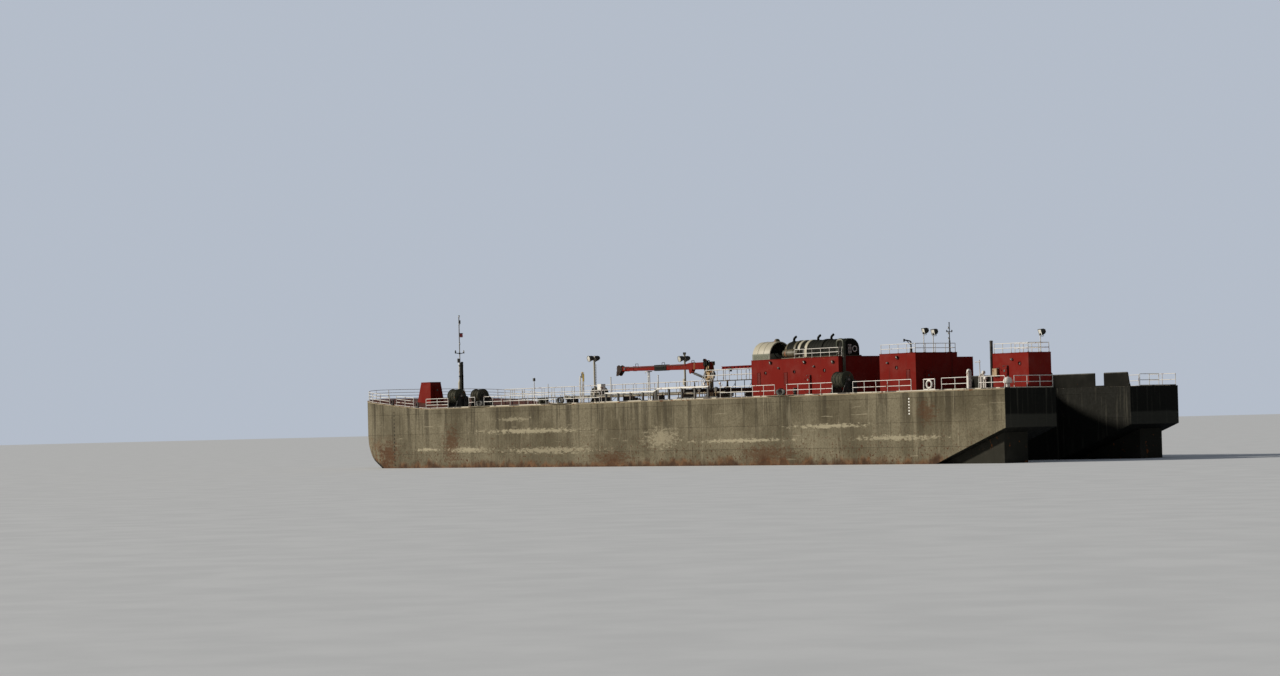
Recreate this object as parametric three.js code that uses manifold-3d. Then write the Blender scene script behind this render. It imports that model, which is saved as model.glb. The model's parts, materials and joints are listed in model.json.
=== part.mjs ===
// A flat-bottomed tank barge with a pusher notch in its stern, modelled at one tenth of full size.
// Millimetres of the model: +X runs aft, +Y to starboard, +Z up. The origin is on the base line amidships.
import * as THREE from "three";
import { mergeVertices } from "three/addons/utils/BufferGeometryUtils.js";
import Module from "manifold-3d";

const wasm = await Module();
wasm.setup();

// Driving dimensions of the hull
const LENGTH = 11600;
const BEAM = 2290;
const DEPTH = 1000;
const STERN = LENGTH / 2;
const HALF = BEAM / 2;
const GAP = 0.3; // seating gap between pieces that touch
const CLEAR = 5; // running gap of a moving piece
const FLOOR = DEPTH + GAP; // where the pieces on the flat deck stand

const SHEER_START = -4000; // the deck rises forward of here
const SHEER_RISE = 150;
const SHEER_POWER = 1.1;
const BOW_FULLNESS = 0.6; // power of the bow's rounded plan: 1 is an ellipse, less is blunter
const BOW_STEPS = 9;
const SIDE_START = -3600; // where the side's first level line begins
const RAKE_START = 3920; // where the bottom starts to rise towards the transom
const TRANSOM_FOOT = 637;
const NOTCH = { half: 492, front: 4400, shoulder: 4800, steps: 9 };

// The hull's levels: height, tuck of the side, shoulder and nose of the bow
const HULL_LEVELS = [
  { height: 0, tuck: 55, shoulder: -3800, nose: -4700 },
  { height: 16, tuck: 16, shoulder: -3900, nose: -4820 },
  { height: 55, tuck: 0, shoulder: -4050, nose: -4970 },
  { height: 150, tuck: 0, shoulder: -4350, nose: -5230 },
  { height: 305, tuck: 0, shoulder: -4620, nose: -5430 },
  { height: 400, tuck: 0, shoulder: -4750, nose: -5620 },
  { height: 540, tuck: 0, shoulder: -4800, nose: -5750 },
  { height: 700, tuck: 0, shoulder: -4800, nose: -5800 },
  { height: DEPTH, tuck: 0, shoulder: -4800, nose: -5800 },
];

const WALL = 15; // house walls and roofs
const PAST = 40; // how far a cutter runs past what it cuts

// Colours and finishes
function paint(color, roughness = 0.6, metalness = 0.1) {
  return new THREE.MeshStandardMaterial({ color, roughness, metalness });
}
const PAINT = {
  hull: paint(0x6f6a58, 0.8),
  dark: paint(0x23241f, 0.7),
  red: paint(0x8e1c1c, 0.55),
  white: paint(0xd9d6c8, 0.5),
  cream: paint(0xc9c0a0, 0.55),
  olive: paint(0x3b4030, 0.55),
  tan: paint(0x9a8560, 0.6),
  steel: paint(0x6b6d6c, 0.45, 0.7),
};

// Solids

// A closed geometry as a solid that can be joined and cut.
function solidOf(geometry) {
  const bare = geometry.clone();
  bare.deleteAttribute("normal");
  bare.deleteAttribute("uv");
  const merged = mergeVertices(bare, 1e-3);
  return new wasm.Manifold(
    new wasm.Mesh({
      numProp: 3,
      vertProperties: merged.attributes.position.array,
      triVerts: new Uint32Array(merged.index.array),
    }),
  );
}

function geometryOf(solid) {
  const mesh = solid.getMesh();
  const geometry = new THREE.BufferGeometry();
  const positions = new Float32Array(mesh.vertProperties);
  geometry.setAttribute("position", new THREE.BufferAttribute(positions, 3));
  geometry.setIndex(new THREE.BufferAttribute(new Uint32Array(mesh.triVerts), 1));
  geometry.computeVertexNormals();
  return geometry;
}

function joined(solids) {
  return solids.reduce((sum, next) => sum.add(next));
}

function block(x0, x1, y0, y1, z0, z1) {
  const box = new THREE.BoxGeometry(x1 - x0, y1 - y0, z1 - z0);
  return solidOf(box.translate((x0 + x1) / 2, (y0 + y1) / 2, (z0 + z1) / 2));
}

// A block whose top is another rectangle than its base: each is [x0, x1, y0, y1].
function taperedBlock(base, top, z0, z1) {
  const box = new THREE.BoxGeometry(1, 1, 1);
  const place = box.attributes.position;
  for (let i = 0; i < place.count; i++) {
    const upper = place.getZ(i) > 0;
    const [x0, x1, y0, y1] = upper ? top : base;
    const x = place.getX(i) > 0 ? x1 : x0;
    const y = place.getY(i) > 0 ? y1 : y0;
    place.setXYZ(i, x, y, upper ? z1 : z0);
  }
  return solidOf(box);
}

// A round bar between two points.
function bar(from, to, radius, sides = 8) {
  const a = new THREE.Vector3(...from);
  const b = new THREE.Vector3(...to);
  const along = b.clone().sub(a);
  const cylinder = new THREE.CylinderGeometry(radius, radius, along.length(), sides);
  const turn = new THREE.Quaternion();
  turn.setFromUnitVectors(new THREE.Vector3(0, 1, 0), along.normalize());
  cylinder.applyQuaternion(turn);
  const middle = a.add(b).multiplyScalar(0.5);
  return solidOf(cylinder.translate(middle.x, middle.y, middle.z));
}

// Where an outline's two coordinates and its extrusion point to, for a prism along each axis.
const PRISM_BASIS = {
  x: [[0, 1, 0], [0, 0, 1], [1, 0, 0]],
  y: [[1, 0, 0], [0, 0, 1], [0, -1, 0]],
  z: [[1, 0, 0], [0, 1, 0], [0, 0, 1]],
};

// An outline [[u, v], ...] extruded along an axis: u, v are y, z along x; x, z along y; x, y along z.
function prism(outline, axis, from, to, holes = []) {
  const shape = new THREE.Shape(outline.map(([u, v]) => new THREE.Vector2(u, v)));
  for (const hole of holes) {
    shape.holes.push(new THREE.Path(hole.map(([u, v]) => new THREE.Vector2(u, v))));
  }
  const geometry = new THREE.ExtrudeGeometry(shape, { depth: to - from, bevelEnabled: false });
  const [u, v, w] = PRISM_BASIS[axis].map((row) => new THREE.Vector3(...row));
  geometry.applyMatrix4(new THREE.Matrix4().makeBasis(u, v, w));
  const start = axis === "y" ? to : from;
  const offset = { x: [start, 0, 0], y: [0, start, 0], z: [0, 0, start] }[axis];
  return solidOf(geometry.translate(...offset));
}

// A profile [[radius, height], ...] turned about +Z, its ends on the axis.
function turned(profile, sides = 16) {
  const points = profile.map(([r, h]) => new THREE.Vector2(r, h));
  return solidOf(new THREE.LatheGeometry(points, sides).rotateX(Math.PI / 2));
}

// The same, turned about +X.
function turnedX(profile, sides = 16) {
  return turned(profile, sides).rotate([0, 90, 0]);
}

function circle(u, v, radius, sides = 12) {
  return Array.from({ length: sides }, (_, i) => {
    const angle = (2 * Math.PI * i) / sides;
    return [u + radius * Math.cos(angle), v + radius * Math.sin(angle)];
  });
}

function rectangle(u0, u1, v0, v1) {
  return [[u0, v0], [u1, v0], [u1, v1], [u0, v1]];
}

// A named piece made of a solid.
function piece(name, solid, material, x = 0, y = 0, z = 0) {
  const mesh = new THREE.Mesh(geometryOf(solid), material);
  mesh.name = name;
  mesh.position.set(x, y, z);
  return mesh;
}

// Hull

function sheer(x) {
  const share = Math.max(0, (SHEER_START - x) / (SHEER_START + STERN));
  return SHEER_RISE * share ** SHEER_POWER;
}

// Half of a level's outline from the transom to the nose, as [x, half-breadth].
function halfOutline({ tuck, shoulder, nose }) {
  const half = HALF - tuck;
  const side = [0, 1, 2].map((i) => [SIDE_START + ((shoulder - SIDE_START) * i) / 3, half]);
  const bow = Array.from({ length: BOW_STEPS + 1 }, (_, i) => {
    const angle = (Math.PI / 2) * (i / BOW_STEPS);
    const x = shoulder + (nose - shoulder) * Math.sin(angle) ** BOW_FULLNESS;
    return [x, i === BOW_STEPS ? 0 : half * Math.cos(angle) ** BOW_FULLNESS];
  });
  return [[STERN, half], ...side, ...bow];
}

function hullSolid() {
  const halves = HULL_LEVELS.map(halfOutline);
  const count = halves[0].length;
  const ring = 2 * count - 1;
  const positions = [];
  HULL_LEVELS.forEach(({ height }, level) => {
    const rise = (x) => (height === DEPTH ? height + sheer(x) : height);
    const starboard = halves[level].map(([x, y]) => [x, y, rise(x)]);
    const port = halves[level].slice(0, -1).reverse().map(([x, y]) => [x, -y, rise(x)]);
    positions.push(...starboard.flat(), ...port.flat());
  });
  const index = [];
  for (let level = 0; level + 1 < HULL_LEVELS.length; level++) {
    for (let i = 0; i < ring; i++) {
      const a = level * ring + i;
      const b = level * ring + ((i + 1) % ring);
      index.push(a, b, b + ring, a, b + ring, a + ring);
    }
  }
  const top = (HULL_LEVELS.length - 1) * ring;
  for (let i = 0; i + 1 < count; i++) {
    const opposite = ring - 1 - i;
    index.push(i, opposite, i + 1, top + i, top + i + 1, top + opposite);
    if (i + 2 < count) {
      index.push(i + 1, opposite, opposite - 1);
      index.push(top + i + 1, top + opposite - 1, top + opposite);
    }
  }
  const geometry = new THREE.BufferGeometry();
  geometry.setAttribute("position", new THREE.Float32BufferAttribute(positions, 3));
  geometry.setIndex(index);
  return solidOf(geometry);
}

// Height of the raked bottom near the stern.
function rakeHeight(x) {
  return (TRANSOM_FOOT * (x - RAKE_START)) / (STERN - RAKE_START);
}

// The notch's plan, grown outwards by a margin and open past the transom.
function notchOutline(margin, aft) {
  const half = NOTCH.half + margin;
  const reach = NOTCH.shoulder - NOTCH.front + margin;
  const front = Array.from({ length: NOTCH.steps + 1 }, (_, i) => {
    const angle = -Math.PI / 2 + (Math.PI * i) / NOTCH.steps;
    return [NOTCH.shoulder - reach * Math.cos(angle), half * Math.sin(angle)];
  });
  return [[aft, -half], ...front, [aft, half]];
}

const rake = prism(
  [
    [RAKE_START, 0],
    [RAKE_START, -PAST],
    [STERN + PAST, -PAST],
    [STERN + PAST, rakeHeight(STERN + PAST)],
  ],
  "y",
  -HALF - PAST,
  HALF + PAST,
);
const notchCut = prism(notchOutline(0, STERN + PAST), "z", -PAST, DEPTH + PAST);
const hull = hullSolid().subtract(rake).subtract(notchCut);
const raisedHull = hull.translate([0, 0, GAP]);

// The hull is made in sections a seating gap apart: forward of the rake, round the notch's front,
// and the wings.
const SECTIONS = [
  { name: "hull", from: -STERN - PAST, to: RAKE_START, side: 0 },
  { name: "stern_section", from: RAKE_START, to: NOTCH.shoulder, side: 0 },
  { name: "port_stern_wing", from: NOTCH.shoulder, to: STERN + PAST, side: -1 },
  { name: "starboard_stern_wing", from: NOTCH.shoulder, to: STERN + PAST, side: 1 },
];

function hullSection({ from, to, side }) {
  const low = side > 0 ? 0 : -HALF - PAST;
  const high = side < 0 ? 0 : HALF + PAST;
  return hull.intersect(block(from + GAP / 2, to - GAP / 2, low, high, -PAST, DEPTH + SHEER_RISE + PAST));
}

// A solid set down on the sheered deck: what would be inside the hull is cut off.
function seated(solid) {
  return solid.subtract(raisedHull);
}

const SKEG = { start: 4080, end: 5668, inset: 101, width: 300, heel: 60 };

function skeg() {
  const drop = 1.2 * GAP;
  return prism(
    [
      [SKEG.start, 0],
      [SKEG.end - SKEG.heel, 0],
      [SKEG.end, SKEG.heel],
      [SKEG.end, rakeHeight(SKEG.end) - drop],
      [SKEG.start, rakeHeight(SKEG.start) - drop],
    ],
    "y",
    -SKEG.width / 2,
    SKEG.width / 2,
  );
}

// The bulwark round the notch, with a gap in each side and sloping ends.
const COAMING = { height: 130, margin: 5, thick: 9, gap: [5330, 5450], sill: 14, end: 5790, slope: 30 };

function notchCoaming() {
  const outer = notchOutline(COAMING.margin + COAMING.thick, COAMING.end);
  const wall = prism(outer, "z", FLOOR, FLOOR + COAMING.height);
  const inner = prism(notchOutline(COAMING.margin, STERN + PAST), "z", 0, DEPTH + 2 * COAMING.height);
  const [from, to] = COAMING.gap;
  const gap = block(from, to, -HALF, HALF, FLOOR + COAMING.sill, DEPTH + 2 * COAMING.height);
  const ends = prism(
    [
      [COAMING.end, FLOOR],
      [COAMING.end + PAST, FLOOR],
      [COAMING.end + PAST, FLOOR + COAMING.height + PAST],
      [COAMING.end - COAMING.slope, FLOOR + COAMING.height + PAST],
    ],
    "y",
    -HALF,
    HALF,
  );
  return wall.subtract(inner).subtract(gap).subtract(ends);
}

// Rails

const RAIL = { height: 118, foot: 10, bar: 6, spacing: 390, inset: 14 };

// Stretches of rail along each side, [from, to] in x, and across the transom, [from, to] off the centre line.
// They are open beside the winches. A gutter bar runs on past them.
const GUTTER_START = -3540;
const RAIL_RUNS = {
  port: {
    side: [[-3116, -560], [1560, 3340], [3650, 4500], [4930, 5300], [5440, STERN - RAIL.inset]],
    stern: [516, 1010],
  },
  starboard: {
    side: [[-3116, 4500], [4930, 5300], [5440, STERN - RAIL.inset]],
    stern: [640, 900],
  },
};

// Posts of the bow rail, the same on both sides: x, and whether the bars stop at this post going forward
const BOW_POSTS = [
  { x: -3570, open: false },
  { x: -3800, open: false },
  { x: -4040, open: true },
  { x: -4310, open: false },
  { x: -4500, open: false },
  { x: -4690, open: true },
  { x: -4845, open: false },
  { x: -5060, open: false },
  { x: -5270, open: false },
  { x: -5450, open: false },
  { x: -5590, open: false },
  { x: -5700, open: false },
  { x: -5770, open: false },
];

// A straight rail from 0 to its length along X: a foot bar, posts, a middle bar and a top bar.
function railPanel(length, spacing = RAIL.spacing, height = RAIL.height, rows = 2) {
  const bays = Math.max(1, Math.round(length / spacing));
  const bay = length / bays;
  const clearHeight = (height - RAIL.foot - RAIL.bar * rows) / rows;
  const windows = [];
  for (let i = 0; i < bays; i++) {
    const left = i === 0 ? RAIL.bar : RAIL.bar / 2;
    const right = i === bays - 1 ? RAIL.bar : RAIL.bar / 2;
    for (let row = 0; row < rows; row++) {
      const z = RAIL.foot + row * (clearHeight + RAIL.bar);
      windows.push(block(i * bay + left, (i + 1) * bay - right, -PAST, PAST, z, z + clearHeight));
    }
  }
  return block(0, length, -RAIL.bar / 2, RAIL.bar / 2, 0, height).subtract(joined(windows));
}

// The deck's half-breadth where the bow narrows.
function halfBreadth(x) {
  const { shoulder, nose } = HULL_LEVELS.at(-1);
  const share = Math.max(0, (x - shoulder) / (nose - shoulder));
  return HALF * (1 - share ** (2 / BOW_FULLNESS)) ** (BOW_FULLNESS / 2);
}

// The rail round the bow: a toe bar on the sheered deck, posts, a middle bar and a top bar.
function bowRail() {
  const scale = 1 - RAIL.inset / HALF;
  const half = BOW_POSTS.map(({ x, open }) => ({ x: x + RAIL.inset, y: halfBreadth(x) * scale, open }));
  const port = half.map(({ x, y, open }) => ({ x, y: -y, open }));
  const starboard = half.map(({ x, y }, i) => ({ x, y, open: i > 0 && half[i - 1].open }));
  const posts = [...port, ...starboard.reverse()];
  const place = ({ x, y }, share) => [x, y, DEPTH + sheer(x) + share * RAIL.height];
  const bars = posts.map((post) => bar(place(post, -0.1), place(post, 1), 0.75 * RAIL.bar, 8));
  for (let i = 1; i < posts.length; i++) {
    const [from, to] = [posts[i - 1], posts[i]];
    for (const share of from.open ? [0.06] : [0.06, 0.5, 0.95]) {
      bars.push(bar(place(from, share), place(to, share), 0.45 * RAIL.bar, 4));
    }
  }
  return seated(joined(bars));
}

// Mooring: closed chocks in the rail's line, on pads that bulge over the deck's edge, and pairs of bitts
const STATIONS = [-2900, -1300, 2540]; // where the chocks and bitts stand along the side
const CHOCK = { length: 150, height: 62, thick: 24, radius: 22, pad: 8, padLength: 420, bulge: 22 };
const BITT = { radius: 17, height: 80, cap: 22, spread: 110, inboard: 110, pad: 8 };

// One side's rail with its chocks, as on the port side, about the rail's plane: -y is outboard.
// A gutter bar along the deck's edge, and inboard across the transom, carries all its stretches.
function sideRail({ side, stern }) {
  const { length: wide, height, thick, radius, pad, padLength, bulge } = CHOCK;
  const end = STERN - RAIL.inset;
  const plane = HALF - RAIL.inset;
  const half = RAIL.bar / 2;
  const [inner, outer] = stern;
  const gutter = block(GUTTER_START, end + half, -half, half, 0, RAIL.foot);
  const corner = block(end - half, end + half, 0, plane - inner, 0, RAIL.foot);
  const across = railPanel(outer - inner, 250).rotate([0, 0, 90]).translate([end, plane - outer, 0]);
  const runs = side.map(([from, to]) => railPanel(to - from).translate([from, 0, 0]));
  let rail = joined([gutter, corner, across, ...runs]);
  for (const x of STATIONS) {
    const edge = Array.from({ length: 7 }, (_, i) => {
      const angle = (Math.PI * i) / 6;
      return [x - 0.5 * padLength * Math.cos(angle), -RAIL.inset - bulge * Math.sin(angle)];
    });
    const base = prism([[x - padLength / 2, 10], ...edge, [x + padLength / 2, 10]], "z", 0, pad);
    const hole = circle(x, pad + height / 2, radius);
    const body = rectangle(x - wide / 2, x + wide / 2, pad - 1, pad + height);
    const chock = prism(body, "y", -thick / 2, thick / 2, [hole]);
    const room = block(x - wide / 2 - 20, x + wide / 2 + 20, -PAST, PAST, RAIL.foot, RAIL.height + PAST);
    rail = rail.subtract(room).add(base).add(chock);
  }
  return rail;
}

function bitts() {
  const { radius, height, cap, spread, pad } = BITT;
  const profile = [[0, 0], [radius, 0], [radius, height - 8], [cap, height - 8], [cap, height], [0, height]];
  const posts = [-spread, spread].map((x) => turned(profile, 12).translate([x, 0, pad - 1]));
  const base = block(-spread - 40, spread + 40, -34, 34, 0, pad);
  return joined([base, ...posts]);
}

// Winches: a frame of two cheeks on a bed, and a full drum that turns on a fore-and-aft axle.
const AXLE = { radius: 12, hole: 12.7 };
const WINCHES = [
  { name: "forward_port_winch", x: -3524, y: -1030, radius: 82, centre: 139, length: 158 },
  { name: "forward_centre_winch", x: -3895, y: -460, radius: 82, centre: 139, length: 158 },
  { name: "forward_starboard_winch", x: -3524, y: 1030, radius: 82, centre: 139, length: 158 },
  { name: "aft_winch", x: 3379, y: -1030, radius: 82, centre: 140, length: 158 },
];
const CHEEK = { thick: 12, foot: 80, head: 24, bed: 12 };

function winchFrame({ radius, centre, length }) {
  const { thick, foot, head, bed } = CHEEK;
  const base = block(-length / 2 - 40, length / 2 + 40, -radius - 14, radius + 14, -PAST, bed);
  const outline = [[-foot, bed - 1], [foot, bed - 1], [head, centre + head], [-head, centre + head]];
  const hole = circle(0, centre, AXLE.hole, 24);
  const place = length / 2 + CLEAR;
  const cheeks = [place, -place - thick].map((x) => prism(outline, "x", x, x + thick, [hole]));
  const motor = block(place + thick - 1, place + thick + 26, radius * 0.35, radius + 10, bed - 1, centre);
  return joined([base, ...cheeks, motor]);
}

function winchDrum({ radius, length }) {
  const half = length / 2;
  const flange = 10;
  const core = radius * 0.88;
  const end = half + CLEAR + CHEEK.thick + 8;
  const profile = [
    [0, -end],
    [AXLE.radius, -end],
    [AXLE.radius, -half],
    [radius, -half],
    [radius, -half + flange],
    [core, -half + flange],
    [core, half - flange],
    [radius, half - flange],
    [radius, half],
    [AXLE.radius, half],
    [AXLE.radius, end],
    [0, end],
  ];
  return turnedX(profile, 16);
}

// Houses

const HOUSES = {
  main: { x: 1300, y: -500, length: 1405, width: 1000, height: 394 },
  middle: { x: 3335, y: -500, length: 535, width: 556, height: 392 },
  stern: { x: 5290, y: -805, length: 480, width: 292, height: 332 },
};
const ANNEX = { width: 228, height: 346 };

// The forward house narrows towards its roof; its aft wall is upright.
const FORWARD = { x0: -5230, x1: -4900, y0: -500, y1: -290, height: 262, rake: 125, lean: 62 };
const FORWARD_LIFT = DEPTH + sheer(FORWARD.x1);

// Doors: the leaf, its stand from the wall's face to the hinge axis, and each hinge's place along its wall
const DOOR = { thick: 8, overlap: 5, knuckle: 5, reach: 12, width: 74, height: 190, sill: 25 };
const DOOR_STAND = CLEAR + DOOR.thick / 2;
const HINGES = { main: 880, middle: 110, stern: 120, forward: 40 };
const HINGE_LEVELS = [0.18, 0.78]; // shares of the leaf's height
const KNUCKLE_HEIGHT = 14;

// Turns what was built for a wall facing port to face the other way, round a vertical axis.
const FACING = { port: 0, aft: 90 };

// A hollow house without a floor; its openings are solids that are cut out of it.
function house(length, width, height, openings) {
  const shell = block(0, length, 0, width, 0, height);
  const inside = block(WALL, length - WALL, WALL, width - WALL, -PAST, height - WALL);
  return openings.reduce((rest, opening) => rest.subtract(opening), shell.subtract(inside));
}

// A door leaf on a wall that faces port. Its hinge axis is at x = 0, y = 0.
function doorLeaf() {
  const { thick, knuckle, reach, width, height } = DOOR;
  const leaf = block(reach, reach + width, -thick / 2, thick / 2, 0, height);
  const hinges = HINGE_LEVELS.map((share) => {
    const z = share * height;
    const tab = block(0, reach + 1, -knuckle / 2, knuckle / 2, z, z + KNUCKLE_HEIGHT);
    return tab.add(bar([0, 0, z], [0, 0, z + KNUCKLE_HEIGHT], knuckle));
  });
  return joined([leaf, ...hinges]);
}

// The brackets under a leaf's knuckles, reaching back to the wall.
function doorBrackets(x, y, degrees) {
  const half = DOOR.knuckle - 1;
  return HINGE_LEVELS.map((share) => {
    const top = share * DOOR.height - GAP;
    const bracket = block(-half, half, -half, DOOR_STAND + 1, top - 2 * half, top);
    return bracket.rotate([0, 0, degrees]).translate([x, y, DOOR.sill]);
  });
}

// A doorway's cutter in a wall at the origin, for a door whose hinge axis stands at x = 0.
function doorway() {
  const { reach, overlap, width, height, sill } = DOOR;
  const far = reach + width - overlap;
  return block(reach + overlap, far, -PAST / 2, WALL + PAST / 2, sill + overlap, sill + height - overlap);
}

const ROUND_PORT = { radius: 16, height: 255 };

function roundPort(x, z = ROUND_PORT.height) {
  return prism(circle(x, z, ROUND_PORT.radius), "y", -PAST / 2, WALL + PAST / 2);
}

function mainHouse() {
  const { length, width, height } = HOUSES.main;
  const ports = [230, 700, 1180].map((x) => roundPort(x));
  const farPorts = [300, 700, 1100].map((x) => roundPort(x).translate([0, width - WALL, 0]));
  const entry = doorway().translate([HINGES.main, 0, 0]);
  const shell = house(length, width, height, [...ports, ...farPorts, entry]);
  return joined([shell, ...doorBrackets(HINGES.main, -DOOR_STAND, FACING.port)]);
}

function middleHouse() {
  const { length, width, height } = HOUSES.middle;
  const entry = doorway().rotate([0, 0, FACING.aft]).translate([length, HINGES.middle, 0]);
  const port = roundPort(250, 250);
  const tall = house(length, width, height, [entry, port]);
  const low = house(length, ANNEX.width, ANNEX.height, []).translate([0, width - WALL, 0]);
  const passage = block(150, 300, width - 2 * WALL, width + WALL, -PAST, 220);
  const brackets = doorBrackets(length + DOOR_STAND, HINGES.middle, FACING.aft);
  return joined([tall.add(low).subtract(passage), ...brackets]);
}

function sternHouse() {
  const { length, width, height } = HOUSES.stern;
  const entry = doorway().translate([HINGES.stern, 0, 0]);
  const shell = house(length, width, height, [entry, roundPort(360, 230)]);
  return joined([shell, ...doorBrackets(HINGES.stern, -DOOR_STAND, FACING.port)]);
}

function forwardHouse() {
  const { x0, x1, y0, y1, height, rake: slope, lean } = FORWARD;
  const roof = DEPTH + sheer(x1) + height;
  const outer = taperedBlock([x0, x1, y0, y1], [x0 + slope, x1, y0, y1 - lean], DEPTH, roof);
  const inner = taperedBlock(
    [x0 + WALL, x1 - WALL, y0 + WALL, y1 - WALL],
    [x0 + slope + WALL, x1 - WALL, y0 + WALL, y1 - lean - WALL],
    DEPTH - 1,
    roof - WALL,
  );
  const entry = doorway().rotate([0, 0, FACING.aft]).translate([x1, y0 + HINGES.forward, FORWARD_LIFT]);
  const brackets = doorBrackets(x1 + DOOR_STAND, y0 + HINGES.forward, FACING.aft);
  const raised = brackets.map((solid) => solid.translate([0, 0, FORWARD_LIFT]));
  return seated(joined([outer.subtract(inner).subtract(entry), ...raised]));
}

// Crane: a pedestal, a slewing king, a boom and its luffing cylinder. Heights are above the deck.
const CRANE = {
  x: -50,
  pedestal: { radius: 34, height: 225 },
  pivot: 375,
  boom: { length: 1640, width: 44, back: 24, bottom: [-36, -10], top: [44, 34], step: [328, 394] },
  crutch: 1110,
  lug: { out: 320, drop: 62, thick: 6, spread: 17 },
  foot: { out: 78, height: 240 },
};

function craneAngles() {
  const dx = CRANE.lug.out - CRANE.foot.out;
  const dz = CRANE.pivot - CRANE.lug.drop - CRANE.foot.height;
  return { rest: Math.hypot(dx, dz), tilt: Math.atan2(dz, dx) };
}

function cranePedestal() {
  const { radius, height } = CRANE.pedestal;
  const foot = radius + 26;
  return turned([[0, 0], [foot, 0], [foot, 12], [radius, 12], [radius, height], [0, height]], 16);
}

// The king turns on the pedestal; its cheeks hold the boom's pin. Built about the slewing axis.
function craneKing() {
  const { pedestal, pivot, boom, foot } = CRANE;
  const low = pedestal.height + GAP;
  const cheek = boom.width / 2 + CLEAR;
  const table = turned([[0, low], [48, low], [48, low + 16], [0, low + 16]], 16);
  const outline = [[-46, low + 15], [46, low + 15], [46, low + 70], [26, pivot + 26], [-30, pivot + 26]];
  const cheeks = [cheek, -cheek - 8].map((y) => prism(outline, "y", y, y + 8));
  const drum = bar([40, -cheek - 8, low + 60], [40, cheek + 8, low + 60], 22, 12);
  const forward = -foot.out;
  const lugs = [9, -15].map((y) => {
    const arm = block(forward, -20, y, y + 6, low + 8, foot.height + 9);
    return arm.add(prism(circle(forward, foot.height, 10), "y", y, y + 6));
  });
  const pin = bar([forward, -15, foot.height], [forward, 15, foot.height], 5);
  const shaft = bar([0, -cheek - 8, pivot], [0, cheek + 8, pivot], 7, 12);
  return joined([table, ...cheeks, drum, ...lugs, pin, shaft]);
}

// The boom lies forward from its pivot at the origin. Its underside is straight, and rises towards the tip.
function boomBottom(x) {
  const { length, back, bottom } = CRANE.boom;
  return bottom[0] + ((bottom[1] - bottom[0]) * (back - x)) / (back + length);
}

function craneBoom() {
  const { length, width, top, step } = CRANE.boom;
  const start = -step[1] - GAP / 2;
  const side = [
    [start, boomBottom(start)],
    [start, top[1]],
    [-length, top[1]],
    [-length, boomBottom(-length)],
  ];
  return prism(side, "y", -width / 2, width / 2);
}

// The deeper heel of the boom, with the ears for the rod.
function craneBoomHeel() {
  const { width, back, top, step } = CRANE.boom;
  const { out, drop, thick, spread } = CRANE.lug;
  const end = -step[1] + GAP / 2;
  const side = [
    [back, boomBottom(back)],
    [back, top[0]],
    [-step[0], top[0]],
    [end, top[1]],
    [end, boomBottom(end)],
  ];
  const beam = prism(side, "y", -width / 2, width / 2, [circle(0, 0, 7.6, 24)]);
  const ear = [[-out - 16, -drop - 14], [-out + 16, -drop - 14], [-out + 44, 0], [-out - 30, 0]];
  const ears = [spread, -spread - thick].map((y) => prism(ear, "y", y, y + thick));
  return joined([beam, ...ears]);
}

// The head clasps the boom's tip: its outline from the tip, as [x, z], and its cheeks
const HEAD = {
  outline: [
    [-50, -10], [-42, -42], [-18, -62], [14, -64], [44, -48], [62, -14],
    [60, 22], [40, 44], [4, 60], [-30, 58], [-48, 34],
  ],
  cheek: 6,
};

function craneHead() {
  const { length, width } = CRANE.boom;
  const inner = width / 2 + GAP;
  const outer = inner + HEAD.cheek;
  const plate = prism(HEAD.outline, "y", -outer, outer);
  const slot = block(-GAP, 2 * PAST, -inner, inner, -2 * PAST, 2 * PAST);
  return plate.subtract(slot).translate([-length, 0, 0]);
}

const CYLINDER = { radius: 11, rod: 6, eye: 9, barrel: 0.82 };

// The luffing cylinder's barrel points forward from its foot pin at the origin.
function craneBarrel() {
  const { rest } = craneAngles();
  const { radius, eye, barrel } = CYLINDER;
  const end = -rest * barrel;
  const body = bar([-eye - 6, 0, 0], [end, 0, 0], radius, 12);
  const head = prism(circle(0, 0, eye, 16), "y", -6, 6);
  const neck = block(-eye - 8, -4, -4, 4, -6, 6);
  const bore = bar([end - 1, 0, 0], [-eye - 14, 0, 0], CYLINDER.rod + 0.4, 12);
  const pinHole = bar([0, -8, 0], [0, 8, 0], 5.6, 16);
  return joined([body, head, neck]).subtract(bore).subtract(pinHole);
}

function craneRod() {
  const { rest } = craneAngles();
  const { rod, eye } = CYLINDER;
  const shaft = bar([-rest, 0, 0], [-eye - 24, 0, 0], rod, 12);
  const head = prism(circle(-rest, 0, eye, 16), "y", -6, 6);
  return shaft.add(head);
}

function craneCrutch() {
  const top = CRANE.pivot + boomBottom(-CRANE.crutch) - CLEAR;
  const post = bar([0, 0, 0], [0, 0, top - 8], 9, 8);
  const saddle = block(-22, 22, -34, 34, top - 10, top);
  const foot = block(-26, 26, -26, 26, 0, 8);
  return joined([post, saddle, foot]);
}

// Deck gear

const FOREMAST = {
  x: -5000,
  height: 1070,
  foot: { radius: 26, top: 247, shoulder: 285 },
  lower: { radius: 14, top: 485 },
  upper: 6,
  arm: 606,
  armHalf: 60,
};
const STACK = { offset: 46, radius: 15, height: 498, straps: [315, 445] };

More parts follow.
